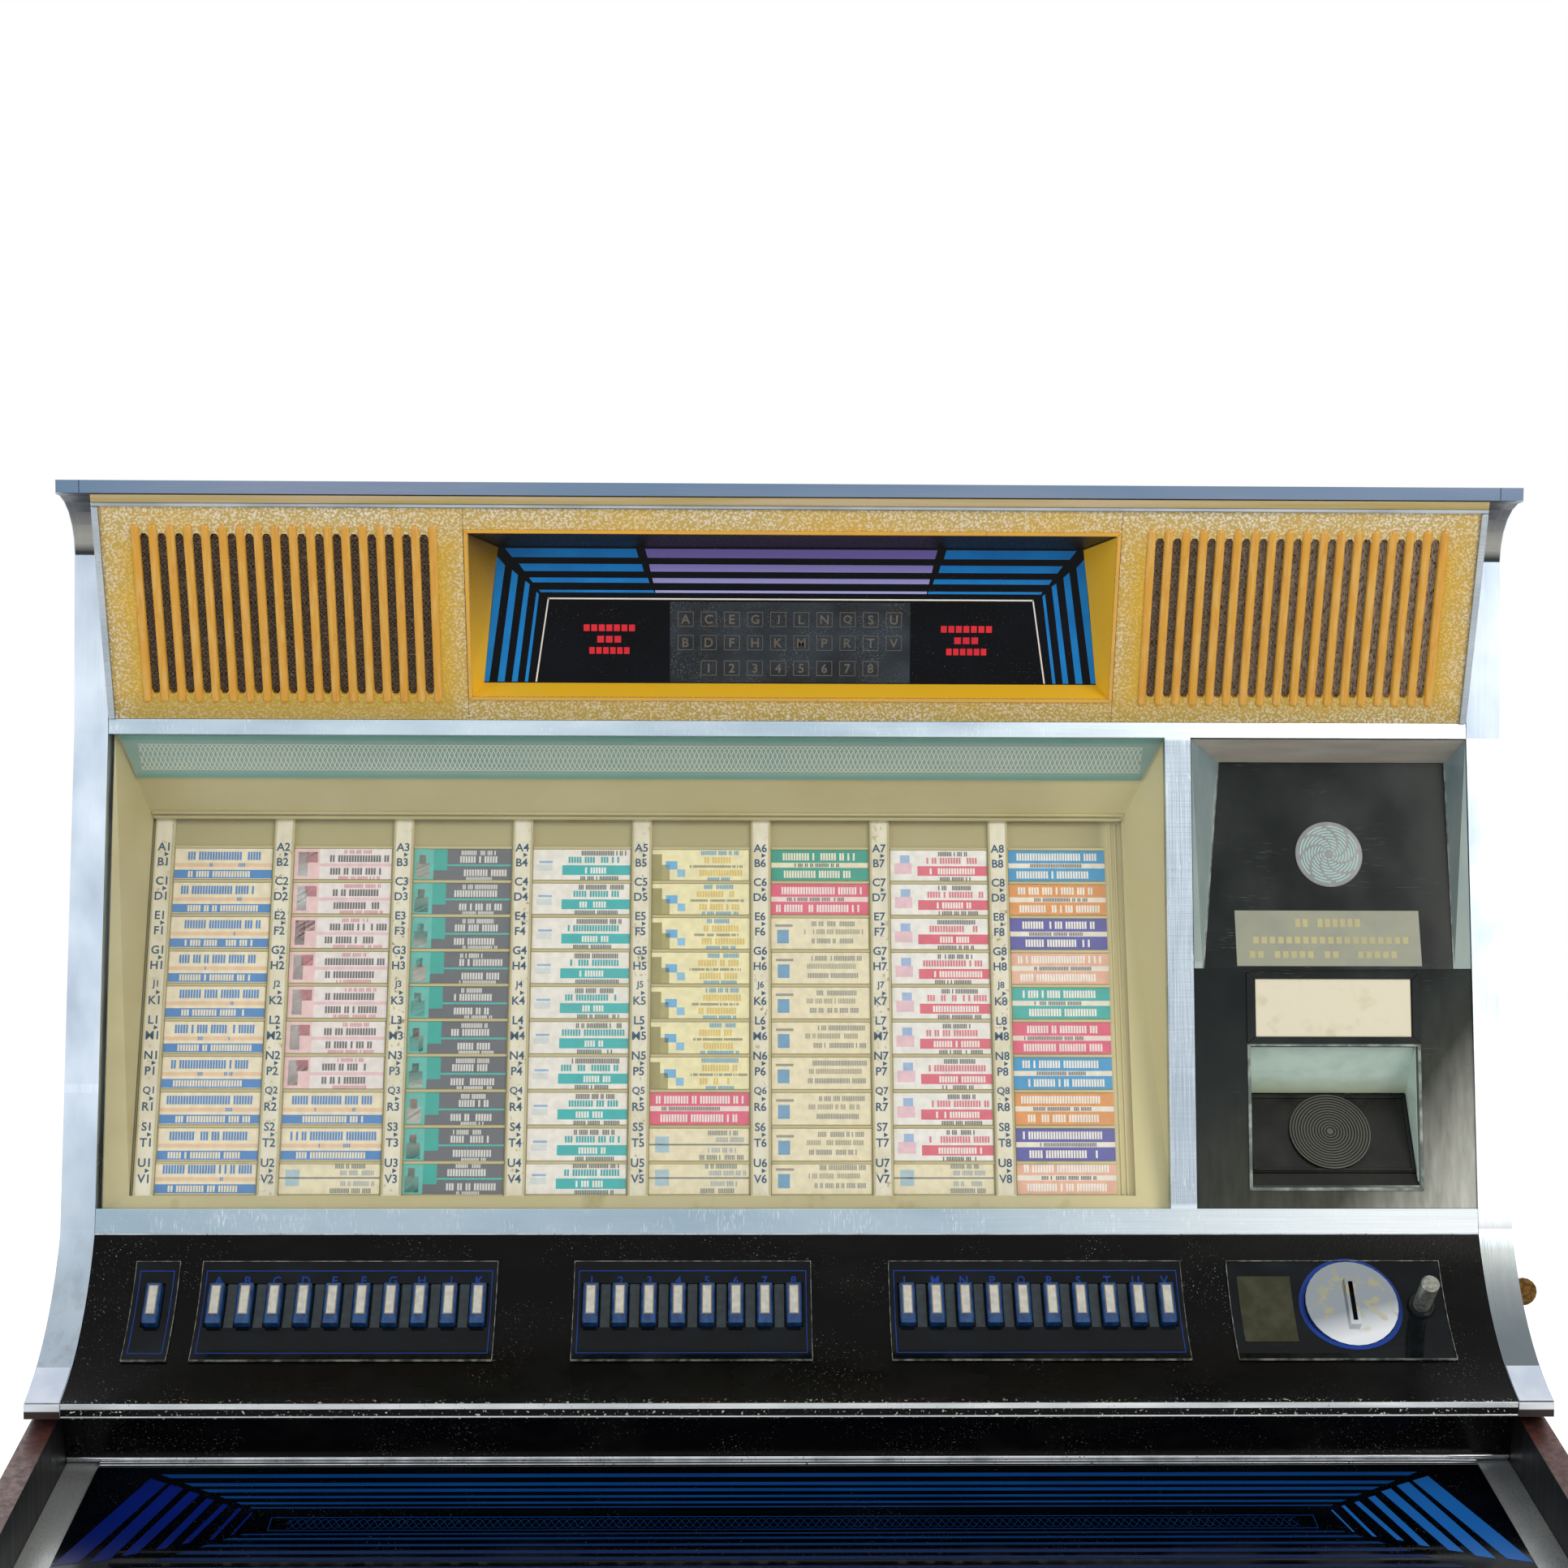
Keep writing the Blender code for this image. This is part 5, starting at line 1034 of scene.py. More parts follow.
led_panel, shader, where = new_finish("smoked indicator panel", "#2b3136", 0.22,
                                      Specular_IOR_Level=0.2)
dusty = flecks(where, (0.0010, 0.55, 0.68), (0.02, 0.40, 0.62))
cloud = patches(where, (0.05, 0.03, 0.03), 0.4, 0.65)
fill(shader, {"Base Color": layered("#1a1f23", (cloud, "#2c343c"), (dusty, "#7f8790", 0.5))})
add_piece("indicator_panel", boxes(-0.0870, 0.0858, -0.0968, -0.0390, *DISPLAY_INK), led_panel,
          "lid", at=DISPLAY)

LETTER_WEIGHT = 0.018      # strokes grow by this share of the letter's size
letter_shapes = {}


def letter_shape(word):
    """Points and faces of a word one unit tall, its middle at the origin, from 0 to 1 deep."""
    if word not in letter_shapes:
        curve = bpy.data.curves.new("letters", "FONT")
        curve.body = word
        curve.extrude = 0.5
        curve.resolution_u = 3
        curve.offset = LETTER_WEIGHT
        holder = bpy.data.objects.new("letters", curve)
        bpy.context.scene.collection.objects.link(holder)
        graph = bpy.context.evaluated_depsgraph_get()
        mesh = bpy.data.meshes.new_from_object(holder.evaluated_get(graph))
        shape = bmesh.new()
        shape.from_mesh(mesh)
        bmesh.ops.remove_doubles(shape, verts=shape.verts, dist=0.0001)
        bmesh.ops.recalc_face_normals(shape, faces=shape.faces)
        shape.to_mesh(mesh)
        shape.free()
        points = np.empty(len(mesh.vertices) * 3)
        mesh.vertices.foreach_get("co", points)
        points = points.reshape(-1, 3)
        low, high = points.min(0), points.max(0)
        points = (points - (low + high) / 2) / (high[1] - low[1])
        points[:, 2] = (points[:, 2] > 0) * 1.0
        letter_shapes[word] = points, [list(face.vertices) for face in mesh.polygons]
        bpy.data.objects.remove(holder, do_unlink=True)
        bpy.data.curves.remove(curve)
        bpy.data.meshes.remove(mesh)
    return letter_shapes[word]


def lettering(labels, low, depth):
    """Words at places on a face: labels are (word, x, y, height)."""
    bodies = []
    for word, x, y, height in labels:
        points, faces = letter_shape(word)
        bodies.append((points * (height, height, depth) + (x, y, low), faces))
    return joined(*bodies)


INDICATOR_ROWS = ((51.4, "ACEGJLNQSU", 0), (68.2, "BDFHKMPRTV", 0), (86.5, "12345678", 1))
INDICATOR_FIRST, INDICATOR_PITCH = -0.0758, 0.01665
words, code_boxes = [], []
for depth_mm, codes, skip in INDICATOR_ROWS:
    for place, code in enumerate(codes):
        x = INDICATOR_FIRST + INDICATOR_PITCH * (place + skip)
        words.append((code, x, -depth_mm / 1000, 0.0066))
        code_boxes.append(mitred_ring(x - 0.0057, x + 0.0057, -depth_mm / 1000 - 0.0054,
                                      -depth_mm / 1000 + 0.0054, 0.00045))
code_ink = ink("faded indicator print", "#6b6358", "#4c4843", 0.4)
code_lines = prisms(np.concatenate(code_boxes), DISPLAY_INK[1], DISPLAY_INK[1] + 0.0001)
add_piece("indicator_codes", joined(lettering(words, DISPLAY_INK[1], 0.00010), code_lines),
          code_ink, "lid", at=DISPLAY)

red_ink = ink("red enamel", "#e0303c", "#b32530", 0.3)
dashes = []
for centre in (-0.1300, 0.1270):
    for depth_mm, width_mm, parts in ((57.9, 38.0, 7), (66.1, 18.5, 3), (74.2, 30.0, 6)):
        step = width_mm / 1000 / parts
        left = centre - width_mm / 2000 + step * np.arange(parts)
        dashes.append(rectangles(left, left + step * 0.78, -depth_mm / 1000 - 0.0024,
                                 -depth_mm / 1000 + 0.0024))
add_piece("display_red_marks", prisms(np.concatenate(dashes), *DISPLAY_INK), red_ink, "lid",
          at=DISPLAY)


# Window: a bright aluminium frame of two rails and a post, with clear glass left of the post.
# The rails are brushed lengthways and the lower one is scratched by coins and hands.
rail_aluminium, shader, where = new_finish("brushed aluminium rail", "#c3d2dd", 0.3, Metallic=1.0)
lines = patches(where, (0.09, 0.0004, 0.0004), 0.3, 0.7)
worn = patches(where, (0.09, 0.03, 0.03), 0.35, 0.65)
low_rail = past(where, (0, 0, -1), -0.792, -0.790)
lit_end = past(where, (1, 0, 0), 0.1, 0.42)
post_width = both(past(where, (1, 0, 0), 0.2685, 0.2695),
                  past(where, (-1, 0, 0), -0.2895, -0.2885))
post_height = both(past(where, (0, 0, 1), 0.793, 0.795), past(where, (0, 0, -1), -1.120, -1.118))
on_post = both(post_width, post_height)
upright = patches(where, (0.0006, 0.02, 0.05), 0.3, 0.7)
scratched = flecks(where, ((0.0006, 0.006, 0.006), 0.58, 0.66), (0.02, 0.45, 0.6))
post_colour = layered("#93a2b1", (upright, "#c3cfd9"))
fill(shader, {"Base Color": layered("#d0e0ea", (lines, "#9fb2c0", 0.35), (worn, "#a5b9c8", 0.8),
                                    (low_rail, "#8ba1af", 0.6), (lit_end, "#f1f5f6", 0.75),
                                    (on_post, post_colour), (scratched, "#eef4f6", 0.5)),
              "Roughness": scaled(lines, 0.22, 0.42), "Normal": bump(lines, 0.00004, 0.35)})
dress("window_frame", rail_aluminium)
window_glass, shader, where = new_finish("clear window glass", "#dfecec", 0.03,
                                         Specular_IOR_Level=0.4)
film = patches(where, 0.08, 0.45, 0.75)
fill(shader, {"Base Color": layered("#e4f0ef", (film, "#d5dcd8")),
              "Alpha": scaled(film, 0.015, 0.045)})
dress("window_glass", window_glass)
WINDOW = face_frame((0, -0.10315, 0.79111), (0, 0.19354, 0.98110))
BEAD_FOOT, BEAD_TOP, BEAD_PROUD = -0.0180, -0.0172, 0.0008
add_piece("lower_rail_bead", boxes(-SIDE_EDGE, SIDE_EDGE, BEAD_FOOT, BEAD_TOP, 0.0, BEAD_PROUD),
          chrome, "lid", at=WINDOW)


# Title tray: a cream moulded funnel round the title rack. A frosted teal strip under its top wall
# spreads the lamp's light and carries a lattice of fine interlaced white waves.
cream_abs, shader, where = new_finish("cream moulded ABS, yellowed", "#b9ae80", 0.42)
yellowed = patches(where, (0.09, 0.05, 0.05), 0.3, 0.7)
stain = both(patches(where, (0.02, 0.02, 0.03), 0.58, 0.7), past(where, (0, 0, -1), -0.90, -0.80))
sunlit = past(where, (1, 0, 0), 0.18, 0.26)
fill(shader, {"Base Color": layered("#b7ac7c", (yellowed, "#c3b98c"), (stain, "#94854f", 0.5),
                                    (sunlit, "#dacf99", 0.9))})
dress("title_tray", cream_abs)
TRAY_MOUTH, TRAY_THROAT = np.array([-0.0263, 1.1223]), np.array([0.0145, 1.0549])
TRAY_LEFT, TRAY_RIGHT = (-0.4857, -0.4680), (0.2735, 0.2470)
fall = (TRAY_THROAT - TRAY_MOUTH) / np.linalg.norm(TRAY_THROAT - TRAY_MOUTH)
TRAY_LENGTH = float(np.linalg.norm(TRAY_THROAT - TRAY_MOUTH))
TRAY_TOP = face_frame((0, *TRAY_THROAT), (0, *-fall))


def tray_outline(start, end, margin=0.0022):
    """A strip right across the tray's top wall, start and end measured up from the throat."""
    corners = []
    for height, ways in ((start, (0, 1)), (end, (1, 0))):
        share = 1 - height / TRAY_LENGTH
        sides = (TRAY_LEFT[0] + (TRAY_LEFT[1] - TRAY_LEFT[0]) * share + margin,
                 TRAY_RIGHT[0] + (TRAY_RIGHT[1] - TRAY_RIGHT[0]) * share - margin)
        corners += [(sides[way], height) for way in ways]
    return [corners]


BAND_FOOT, BAND_TOP, TRAY_SKIN = 0.0385, 0.0760, 0.0011
teal_diffuser, shader, where = new_finish("frosted teal acrylic diffuser", "#7fa095", 0.35)
glow = patches(where, (0.10, 0.012, 0.012), 0.3, 0.7)
border = past(where, tuple(TRAY_TOP[1]), float(TRAY_TOP[3] @ TRAY_TOP[1]) + 0.0435,
              float(TRAY_TOP[3] @ TRAY_TOP[1]) + 0.0405)
upper_border = past(where, tuple(TRAY_TOP[1]), float(TRAY_TOP[3] @ TRAY_TOP[1]) + 0.0705,
                    float(TRAY_TOP[3] @ TRAY_TOP[1]) + 0.0730)
edge = larger(border, upper_border)
fill(shader, {"Base Color": layered("#7d9f95", (glow, "#8fa99c"), (edge, "#5f9a8b", 0.8))})
add_piece("light_diffuser", prisms(tray_outline(BAND_FOOT, BAND_TOP), TRAY_SKIN,
                                   TRAY_SKIN + 0.0012), teal_diffuser, "lid",
          at=TRAY_TOP)
WAVE_LEFT, WAVE_RIGHT, WAVE_MIDDLE, WAVE_SWING, WAVE_PITCH = -0.4700, 0.2560, 0.0570, 0.0115, 0.0234
reach = np.linspace(WAVE_LEFT, WAVE_RIGHT, 31 * 16 + 1)
waves = []
for phase in range(7):
    swing = WAVE_SWING * np.sin(2 * math.pi * (reach / WAVE_PITCH + phase / 7))
    line = np.stack([reach, WAVE_MIDDLE + swing, 0 * reach + TRAY_SKIN + 0.00115], 1)
    waves.append(carried(flat_section(0.00058, 0.0002), line, (0, 0, 1)))
lattice_ink = ink("frosted white lattice", "#d9dccb", "#c6ccbb", 0.5)
add_piece("diffuser_lattice", joined(*waves), lattice_ink, "lid", at=TRAY_TOP)
add_piece("tray_mouldings", prisms(tray_outline(0.0012, 0.0036) + tray_outline(0.0056, 0.0072),
                                   TRAY_SKIN - 0.0002, TRAY_SKIN + 0.0018), cream_abs, "lid",
          at=TRAY_TOP, bevel=0.0004)


# Title rack: a khaki backing plate with eight ivory index bars, each printed with pairs of codes,
# and 80 printed title strips of paper, each slid under a thin ledge. The strips hold plain marks.
RACK = face_frame((0, -0.08315, 0.79511), (0, 0.36541, 0.93085))
rack_finish, shader, where = new_finish("ivory index bars on a khaki plate", "#ded8c0", 0.42)
raised = past(where, tuple(RACK[2]), float(RACK[3] @ RACK[2]) + 0.0004, float(RACK[3] @ RACK[2])
              + 0.0007)
handled = patches(where, (0.010, 0.02, 0.02), 0.40, 0.66)
chipped = flecks(where, ((0.003, 0.003, 0.004), 0.60, 0.68), (0.05, 0.45, 0.6))
bar_colour = layered("#e6e0c9", (handled, "#cdc6a6", 0.6), (chipped, "#a08f60"))
sunlit = past(where, (1, 0, 0), 0.230, 0.237)
fill(shader, {"Base Color": layered("#aba173", (sunlit, "#d6ca97"), (raised, bar_colour))})
dress("title_rack", rack_finish)
BAR_FIRST, BAR_PITCH, BAR_HALF, BAR_FACE = -0.4586, 0.0876, 0.0071, 0.0030
ROW_FIRST, ROW_PITCH, ROW_COUNT = 0.2551, 0.02583, 10
ROW_LETTERS = ("AB", "CD", "EF", "GH", "JK", "LM", "NP", "QR", "ST", "UV")
bar_middles = BAR_FIRST + BAR_PITCH * np.arange(8)
code_labels, arrows = [], []
for number, middle in enumerate(bar_middles):
    for row, pair in enumerate(ROW_LETTERS):
        centre = ROW_FIRST - ROW_PITCH * row - 0.0050
        code_labels.append((f"{pair[0]}{number + 1}", middle - 0.0004, centre + 0.0058, 0.0062))
        code_labels.append((f"{pair[1]}{number + 1}", middle - 0.0004, centre - 0.0056, 0.0062))
        arrows.append([(middle + 0.0006, centre + 0.0018), (middle + 0.0006, centre - 0.0016),
                       (middle + 0.0038, centre + 0.0001)])
index_ink = ink("blue grey index print", "#3a5670", "#4b667e", 0.5)
add_piece("index_codes", joined(lettering(code_labels, BAR_FACE, 0.00012),
                                prisms(arrows, BAR_FACE, BAR_FACE + 0.00012)), index_ink,
          "title_rack", at=RACK)
BAR_FOOT, BAR_TOP, EDGE_START, EDGE_END = 0.001, 0.277, 0.0001, 0.0013
bar_lefts, bar_rights = bar_middles - BAR_HALF, bar_middles + BAR_HALF
lefts = np.concatenate([bar_lefts + EDGE_START, bar_rights - EDGE_END])
rights = np.concatenate([bar_lefts + EDGE_END, bar_rights - EDGE_START])
add_piece("index_bar_edges", boxes(lefts, rights, BAR_FOOT, BAR_TOP, 0.0002, BAR_FACE + 0.0006),
          cream_abs, "title_rack", at=RACK, bevel=0.0002)

STRIP_LEFTS = bar_middles + BAR_HALF + 0.0006
STRIP_WIDTH, STRIP_HEIGHT = 0.0722, 0.0230
ledge_rows = np.repeat(ROW_FIRST + 0.0004 - ROW_PITCH * np.arange(ROW_COUNT + 1)[:, None], 8, 1)
ledge_lefts = np.broadcast_to(STRIP_LEFTS, ledge_rows.shape)
add_piece("strip_ledges", boxes(ledge_lefts.ravel(), ledge_lefts.ravel() + STRIP_WIDTH,
                                np.maximum(ledge_rows.ravel() - 0.0002, 0.0001),
                                np.maximum(ledge_rows.ravel() + 0.0018, 0.0012), 0.0002, 0.0013),
          cream_abs, "title_rack", at=RACK, bevel=0.0004)
RIDGE_LEFTS, RIDGE_RIGHTS, RIDGE_TOP = [-0.4676, 0.2372, 0.2412], [-0.4666, 0.2386, 0.2424], 0.276
add_piece("rack_side_ridges", boxes(RIDGE_LEFTS, RIDGE_RIGHTS, BAR_FOOT, RIDGE_TOP, 0.0002, 0.0016),
          cream_abs, "title_rack", at=RACK, bevel=0.0004)

# Each kind of strip: its paper, printed blocks (left, right, foot, top, ink) as shares of the
# strip, and rows of type (left, right, middle, height, ink, weight) set as plain marks.
STRIP_KINDS = {
    "cream_blue": ("#efe3c4", [(0, 1, 0.02, 0.30, "#4d87c3"), (0, 1, 0.40, 0.52, "#eac7a2")],
                   [(0.06, 0.96, 0.76, 0.27, "#4d87c3", 3), (0.30, 0.42, 0.46, 0.12, "#5c93c8", 2),
                    (0.62, 0.76, 0.46, 0.12, "#5c93c8", 2),
                    (0.10, 0.90, 0.16, 0.20, "#efe3c4", 3)]),
    "pink": ("#ece4de", [(0, 0.26, 0, 1, "#ecc8c6"), (0.04, 0.14, 0.1, 0.9, "#d8dcd8"),
                         (0.12, 0.24, 0.55, 0.9, "#e79aa2"), (0.26, 1, 0.42, 0.52, "#e9c3c6")],
             [(0.50, 0.90, 0.90, 0.12, "#dd9aa4", 2), (0.34, 0.97, 0.68, 0.22, "#6b676b", 3),
              (0.34, 0.92, 0.26, 0.22, "#6b676b", 3), (0.42, 0.95, 0.05, 0.10, "#dd9aa4", 2)]),
    "charcoal": ("#61646a", [(0, 0.20, 0, 1, "#5fb9ad"), (0.02, 0.16, 0.05, 0.55, "#ded7cb"),
                             (0.05, 0.12, 0.5, 0.8, "#b98f86"), (0.20, 0.34, 0.30, 1, "#2fa79a"),
                             (0.34, 1, 0.44, 0.50, "#48b3a6")],
                 [(0.48, 0.86, 0.88, 0.15, "#dcdad4", 2), (0.42, 0.92, 0.66, 0.22, "#dcdad4", 3),
                  (0.42, 0.94, 0.22, 0.22, "#dcdad4", 3), (0.50, 0.90, 0.03, 0.10, "#dcdad4", 2)]),
    "teal": ("#efeadf", [(0.06, 0.20, 0.55, 0.62, "#8fb6d6"), (0.04, 0.20, 0.30, 0.5, "#d6dcd8"),
                         (0.30, 1, 0.16, 0.48, "#37b2b1")],
             [(0.42, 0.95, 0.88, 0.16, "#6c6a66", 2), (0.32, 0.98, 0.66, 0.20, "#37a9ac", 3),
              (0.48, 0.84, 0.31, 0.20, "#f1eee4", 3), (0.42, 0.92, 0.06, 0.12, "#5f6f72", 2)]),
    "seaside": ("#f1e8b6", [(0, 0.10, 0, 0.85, "#9c935c"), (0.10, 0.18, 0, 0.50, "#aaa168"),
                            (0.14, 0.26, 0.35, 0.62, "#6fb0da"),
                            (0.26, 0.34, 0.1, 0.35, "#8cc0de")],
                [(0.50, 0.90, 0.90, 0.14, "#6aa6c4", 2), (0.46, 0.94, 0.66, 0.20, "#e0c46c", 3),
                 (0.36, 0.98, 0.45, 0.08, "#8a8873", 1), (0.46, 0.94, 0.24, 0.20, "#e0c46c", 3),
                 (0.50, 0.92, 0.04, 0.10, "#6aa6c4", 2)]),
    "rose": ("#e2607c", [(0, 1, 0.42, 0.58, "#f0dcd2")],
             [(0.05, 0.95, 0.78, 0.24, "#f4e6e0", 3), (0.10, 0.80, 0.50, 0.12, "#7a6a70", 2),
              (0.05, 0.92, 0.20, 0.24, "#f4e6e0", 3)]),
    "plain": ("#ece1bd", [(0.06, 0.20, 0.25, 0.75, "#a9c6cf"), (0, 1, 0.47, 0.52, "#7c7c74")],
              [(0.52, 0.96, 0.86, 0.15, "#8a9089", 2), (0.58, 0.98, 0.65, 0.15, "#a9b4b4", 2),
               (0.55, 0.96, 0.32, 0.15, "#a9b4b4", 2), (0.50, 0.94, 0.10, 0.15, "#8a9089", 2)]),
    "mint": ("#2f9c86", [(0, 1, 0.42, 0.58, "#efe3c4")],
             [(0.08, 0.92, 0.78, 0.24, "#efe7d2", 3), (0.2, 0.8, 0.5, 0.12, "#4f6f66", 2),
              (0.08, 0.92, 0.20, 0.24, "#efe7d2", 3)]),
    "globe": ("#ede2be", [(0.06, 0.18, 0.18, 0.62, "#6f9fc0"), (0.04, 0.22, 0.72, 0.80, "#98978a")],
              [(0.40, 0.96, 0.82, 0.16, "#9a9a90", 2), (0.30, 0.96, 0.56, 0.16, "#b0aa92", 2),
               (0.36, 0.96, 0.26, 0.16, "#9a9a90", 2)]),
    "redline": ("#f1eee6", [(0.04, 0.22, 0.22, 0.58, "#e9c3cb"),
                            (0.10, 0.20, 0.58, 0.84, "#9fb9dc"),
                            (0.28, 1, 0.16, 0.48, "#de6678")],
                [(0.46, 0.90, 0.88, 0.15, "#6c6a66", 2), (0.32, 0.98, 0.66, 0.20, "#dc7c88", 3),
                 (0.40, 0.92, 0.31, 0.20, "#f4eee6", 3), (0.44, 0.92, 0.06, 0.12, "#6c6a66", 2)]),
}


def solid_kind(ground):
    """A strip of one colour with a pale middle band and pale type."""
    return (ground, [(0, 1, 0.42, 0.58, "#f0e9d8")],
            [(0.06, 0.94, 0.79, 0.24, "#f6f1e6", 3), (0.18, 0.82, 0.50, 0.12, "#6f7076", 2),
             (0.08, 0.92, 0.20, 0.24, "#f6f1e6", 3)])


for kind, ground in (("blue", "#3f9bce"), ("orange", "#e69a54"), ("indigo", "#5a5aa6"),
                     ("peach", "#ecb79c"), ("sea", "#3fb0a8")):
    STRIP_KINDS[kind] = solid_kind(ground)
LAST_COLUMN = ["blue", "orange", "indigo", "peach", "sea", "rose", "blue", "orange", "indigo",
               "peach"]
STRIP_COLUMNS = [["cream_blue"] * 10, ["pink"] * 7 + ["cream_blue"] * 2 + ["plain"],
                 ["charcoal"] * 10, ["teal"] * 10, ["seaside"] * 7 + ["rose"] + ["plain"] * 2,
                 ["mint", "rose"] + ["globe"] * 8, ["redline"] * 9 + ["plain"], LAST_COLUMN]
PAPER_LOW, PAPER_TOP, INK_STEP = 0.0002, 0.0005, 0.00006
MARK_WIDTHS = {1: 0.0006, 2: 0.0009, 3: 0.0014}      # by weight of type
draw = np.random.default_rng(7)
papers, paper_codes, blocks, block_codes, marks, mark_codes = [], [], [], [], [], []
for column, kinds in enumerate(STRIP_COLUMNS):
    for row, kind in enumerate(kinds):
        paper, printed, type_rows = STRIP_KINDS[kind]
        left = STRIP_LEFTS[column] + 0.0005 * draw.random()
        foot = max(ROW_FIRST - ROW_PITCH * row - STRIP_HEIGHT, 0.0016)
        size = np.array([STRIP_WIDTH - 0.0010, STRIP_HEIGHT])
        papers.append(rectangles(left, left + size[0], foot, foot + size[1]))
        paper_codes.append(paper)
        for low, high, under, over, code in printed:
            blocks.append(rectangles(left + low * size[0], left + high * size[0],
                                     foot + under * size[1], foot + over * size[1]))
            block_codes.append(code)
        for low, high, middle, tall, code, weight in type_rows:
            wide = MARK_WIDTHS[weight]
            starts = np.arange(left + (low + 0.08 * draw.random()) * size[0],
                               left + (high - 0.12 * draw.random()) * size[0], wide * 1.42)
            starts = starts[draw.random(len(starts)) > 0.14]
            marks.append(rectangles(starts, starts + wide, foot + (middle - tall / 2) * size[1],
                                    foot + (middle + tall / 2) * size[1]))
            mark_codes += [code] * len(starts)
strip_paper = tinted_finish("printed card, faded", 0.55, 0.006, Coat_Weight=0.15)
for name, outlines, codes, low in (("title_strips", papers, paper_codes, 0),
                                   ("title_strip_blocks", blocks, block_codes, 1),
                                   ("title_strip_marks", marks, mark_codes, 2)):
    start = PAPER_LOW if low == 0 else PAPER_TOP + INK_STEP * (low - 1)
    tinted(add_piece(name, prisms(np.concatenate(outlines), start, PAPER_TOP + INK_STEP * low),
                     strip_paper, "title_rack", at=RACK), len(codes), codes)


# Coin column: a gloss black moulding that leans back behind bevelled side glasses, with a lens
# disc, a price plate, a lit window in a bevelled frame, and a mint lined coin return pocket.
coin_black, shader, where = new_finish("black moulded panel, polished by hands", "#1d2222", 0.2,
                                       Specular_IOR_Level=0.2)
film = patches(where, (0.05, 0.05, 0.08), 0.4, 0.7)
scratches = flecks(where, ((0.014, 0.014, 0.0004), 0.64, 0.72), (0.05, 0.5, 0.62))
sheen = past(where, (0.45, 0, -0.9), -0.655, -0.530)
glare = past(where, (0.80, 0, -0.6), -0.165, -0.098)
streaks = patches(where, (0.006, 0.006, 0.09), 0.3, 0.7)
sheen = both(sheen, scaled(streaks, 0.45, 0.85))
glare = both(glare, scaled(streaks, 0.6, 1.0))
fill(shader, {"Base Color": layered("#0d1414", (film, "#1b2322"), (sheen, "#55564b"),
                                    (glare, "#c4c5bb"), (scratches, "#59605e")),
              "Roughness": scaled(film, 0.16, 0.30)})
dress("coin_panel", coin_black)
COLUMN_LEFT, COLUMN_RIGHT, COLUMN_MIDDLE = 0.2886, 0.4875, 0.3880


def window_point(x, s, out):
    """A place given across, up and out of the window's face."""
    return WINDOW[3] + x * WINDOW[0] + s * WINDOW[1] + out * WINDOW[2]


def slabs(corners, push):
    """Flat pieces from their front corners (N, 4, 3), counterclockwise, and a push to the back."""
    front = np.asarray(corners, float)
    back = front + np.asarray(push, float)[..., None, :]
    return np.stack([back, front], 1), capped(len(front), 4)


side_glass, shader, where = new_finish("bevelled teal grey acrylic", "#869792", 0.2,
                                       Coat_Weight=0.4)
depth = past(where, (0, 0, 1), 0.96, 1.10)
cloud = patches(where, (0.02, 0.03, 0.06), 0.35, 0.7)
fill(shader, {"Base Color": layered("#8a9c96", (depth, "#74878b"), (cloud, "#a3ada6", 0.5))})
FACE_LOW, FACE_TOP, FACE_TOP_OUT = 0.1700, 0.3215, -0.0296
left_bevel = [window_point(COLUMN_LEFT, FACE_LOW, -0.0012), window_point(0.2950, FACE_LOW, -0.0016),
              window_point(0.3130, FACE_TOP, FACE_TOP_OUT + 0.0004),
              window_point(COLUMN_LEFT, 0.3350, -0.0012)]
right_bevel = [window_point(0.4757, FACE_LOW, -0.0016),
               window_point(COLUMN_RIGHT, FACE_LOW, -0.0012),
               window_point(COLUMN_RIGHT, 0.3350, -0.0012),
               window_point(0.4795, FACE_TOP, FACE_TOP_OUT + 0.0004)]
add_piece("column_side_glasses", slabs([left_bevel, right_bevel], -0.0008 * WINDOW[2]), side_glass,
          "lid")
top_glass = mottled("warm grey acrylic bevel", "#a7a096", 0.25, ((0.05, 0.01, 0.01), 0.35, 0.7),
                    "#a39c91", "#b3ada3", Coat_Weight=0.3)
top_bevel = [[window_point(0.3130, FACE_TOP, FACE_TOP_OUT + 0.0004),
              window_point(0.4795, FACE_TOP, FACE_TOP_OUT + 0.0004),
              window_point(COLUMN_RIGHT, 0.3350, -0.0012),
              window_point(COLUMN_LEFT, 0.3350, -0.0012)]]
add_piece("column_top_bevel", slabs(top_bevel, -0.0008 * WINDOW[2]), top_glass, "lid")

SLOPE = face_frame((0, -0.06831, 0.95741), (0, 0.05685, 0.14351))
edge_line = mottled("polished acrylic edge", "#6f7a7a", 0.2, (0.01, 0.4, 0.65), "#59645f",
                    "#9aa39c")
edges = [[(0.2950, 0.0), (0.2958, 0.0), (0.3138, 0.1550), (0.3130, 0.1550)],
         [(0.4749, 0.0), (0.4757, 0.0), (0.4795, 0.1550), (0.4787, 0.1550)],
         [(0.3130, 0.1542), (0.4795, 0.1542), (0.4795, 0.1550), (0.3130, 0.1550)]]
add_piece("column_edge_lines", prisms(edges, 0.0002, 0.0010), edge_line, "lid",
          at=SLOPE)

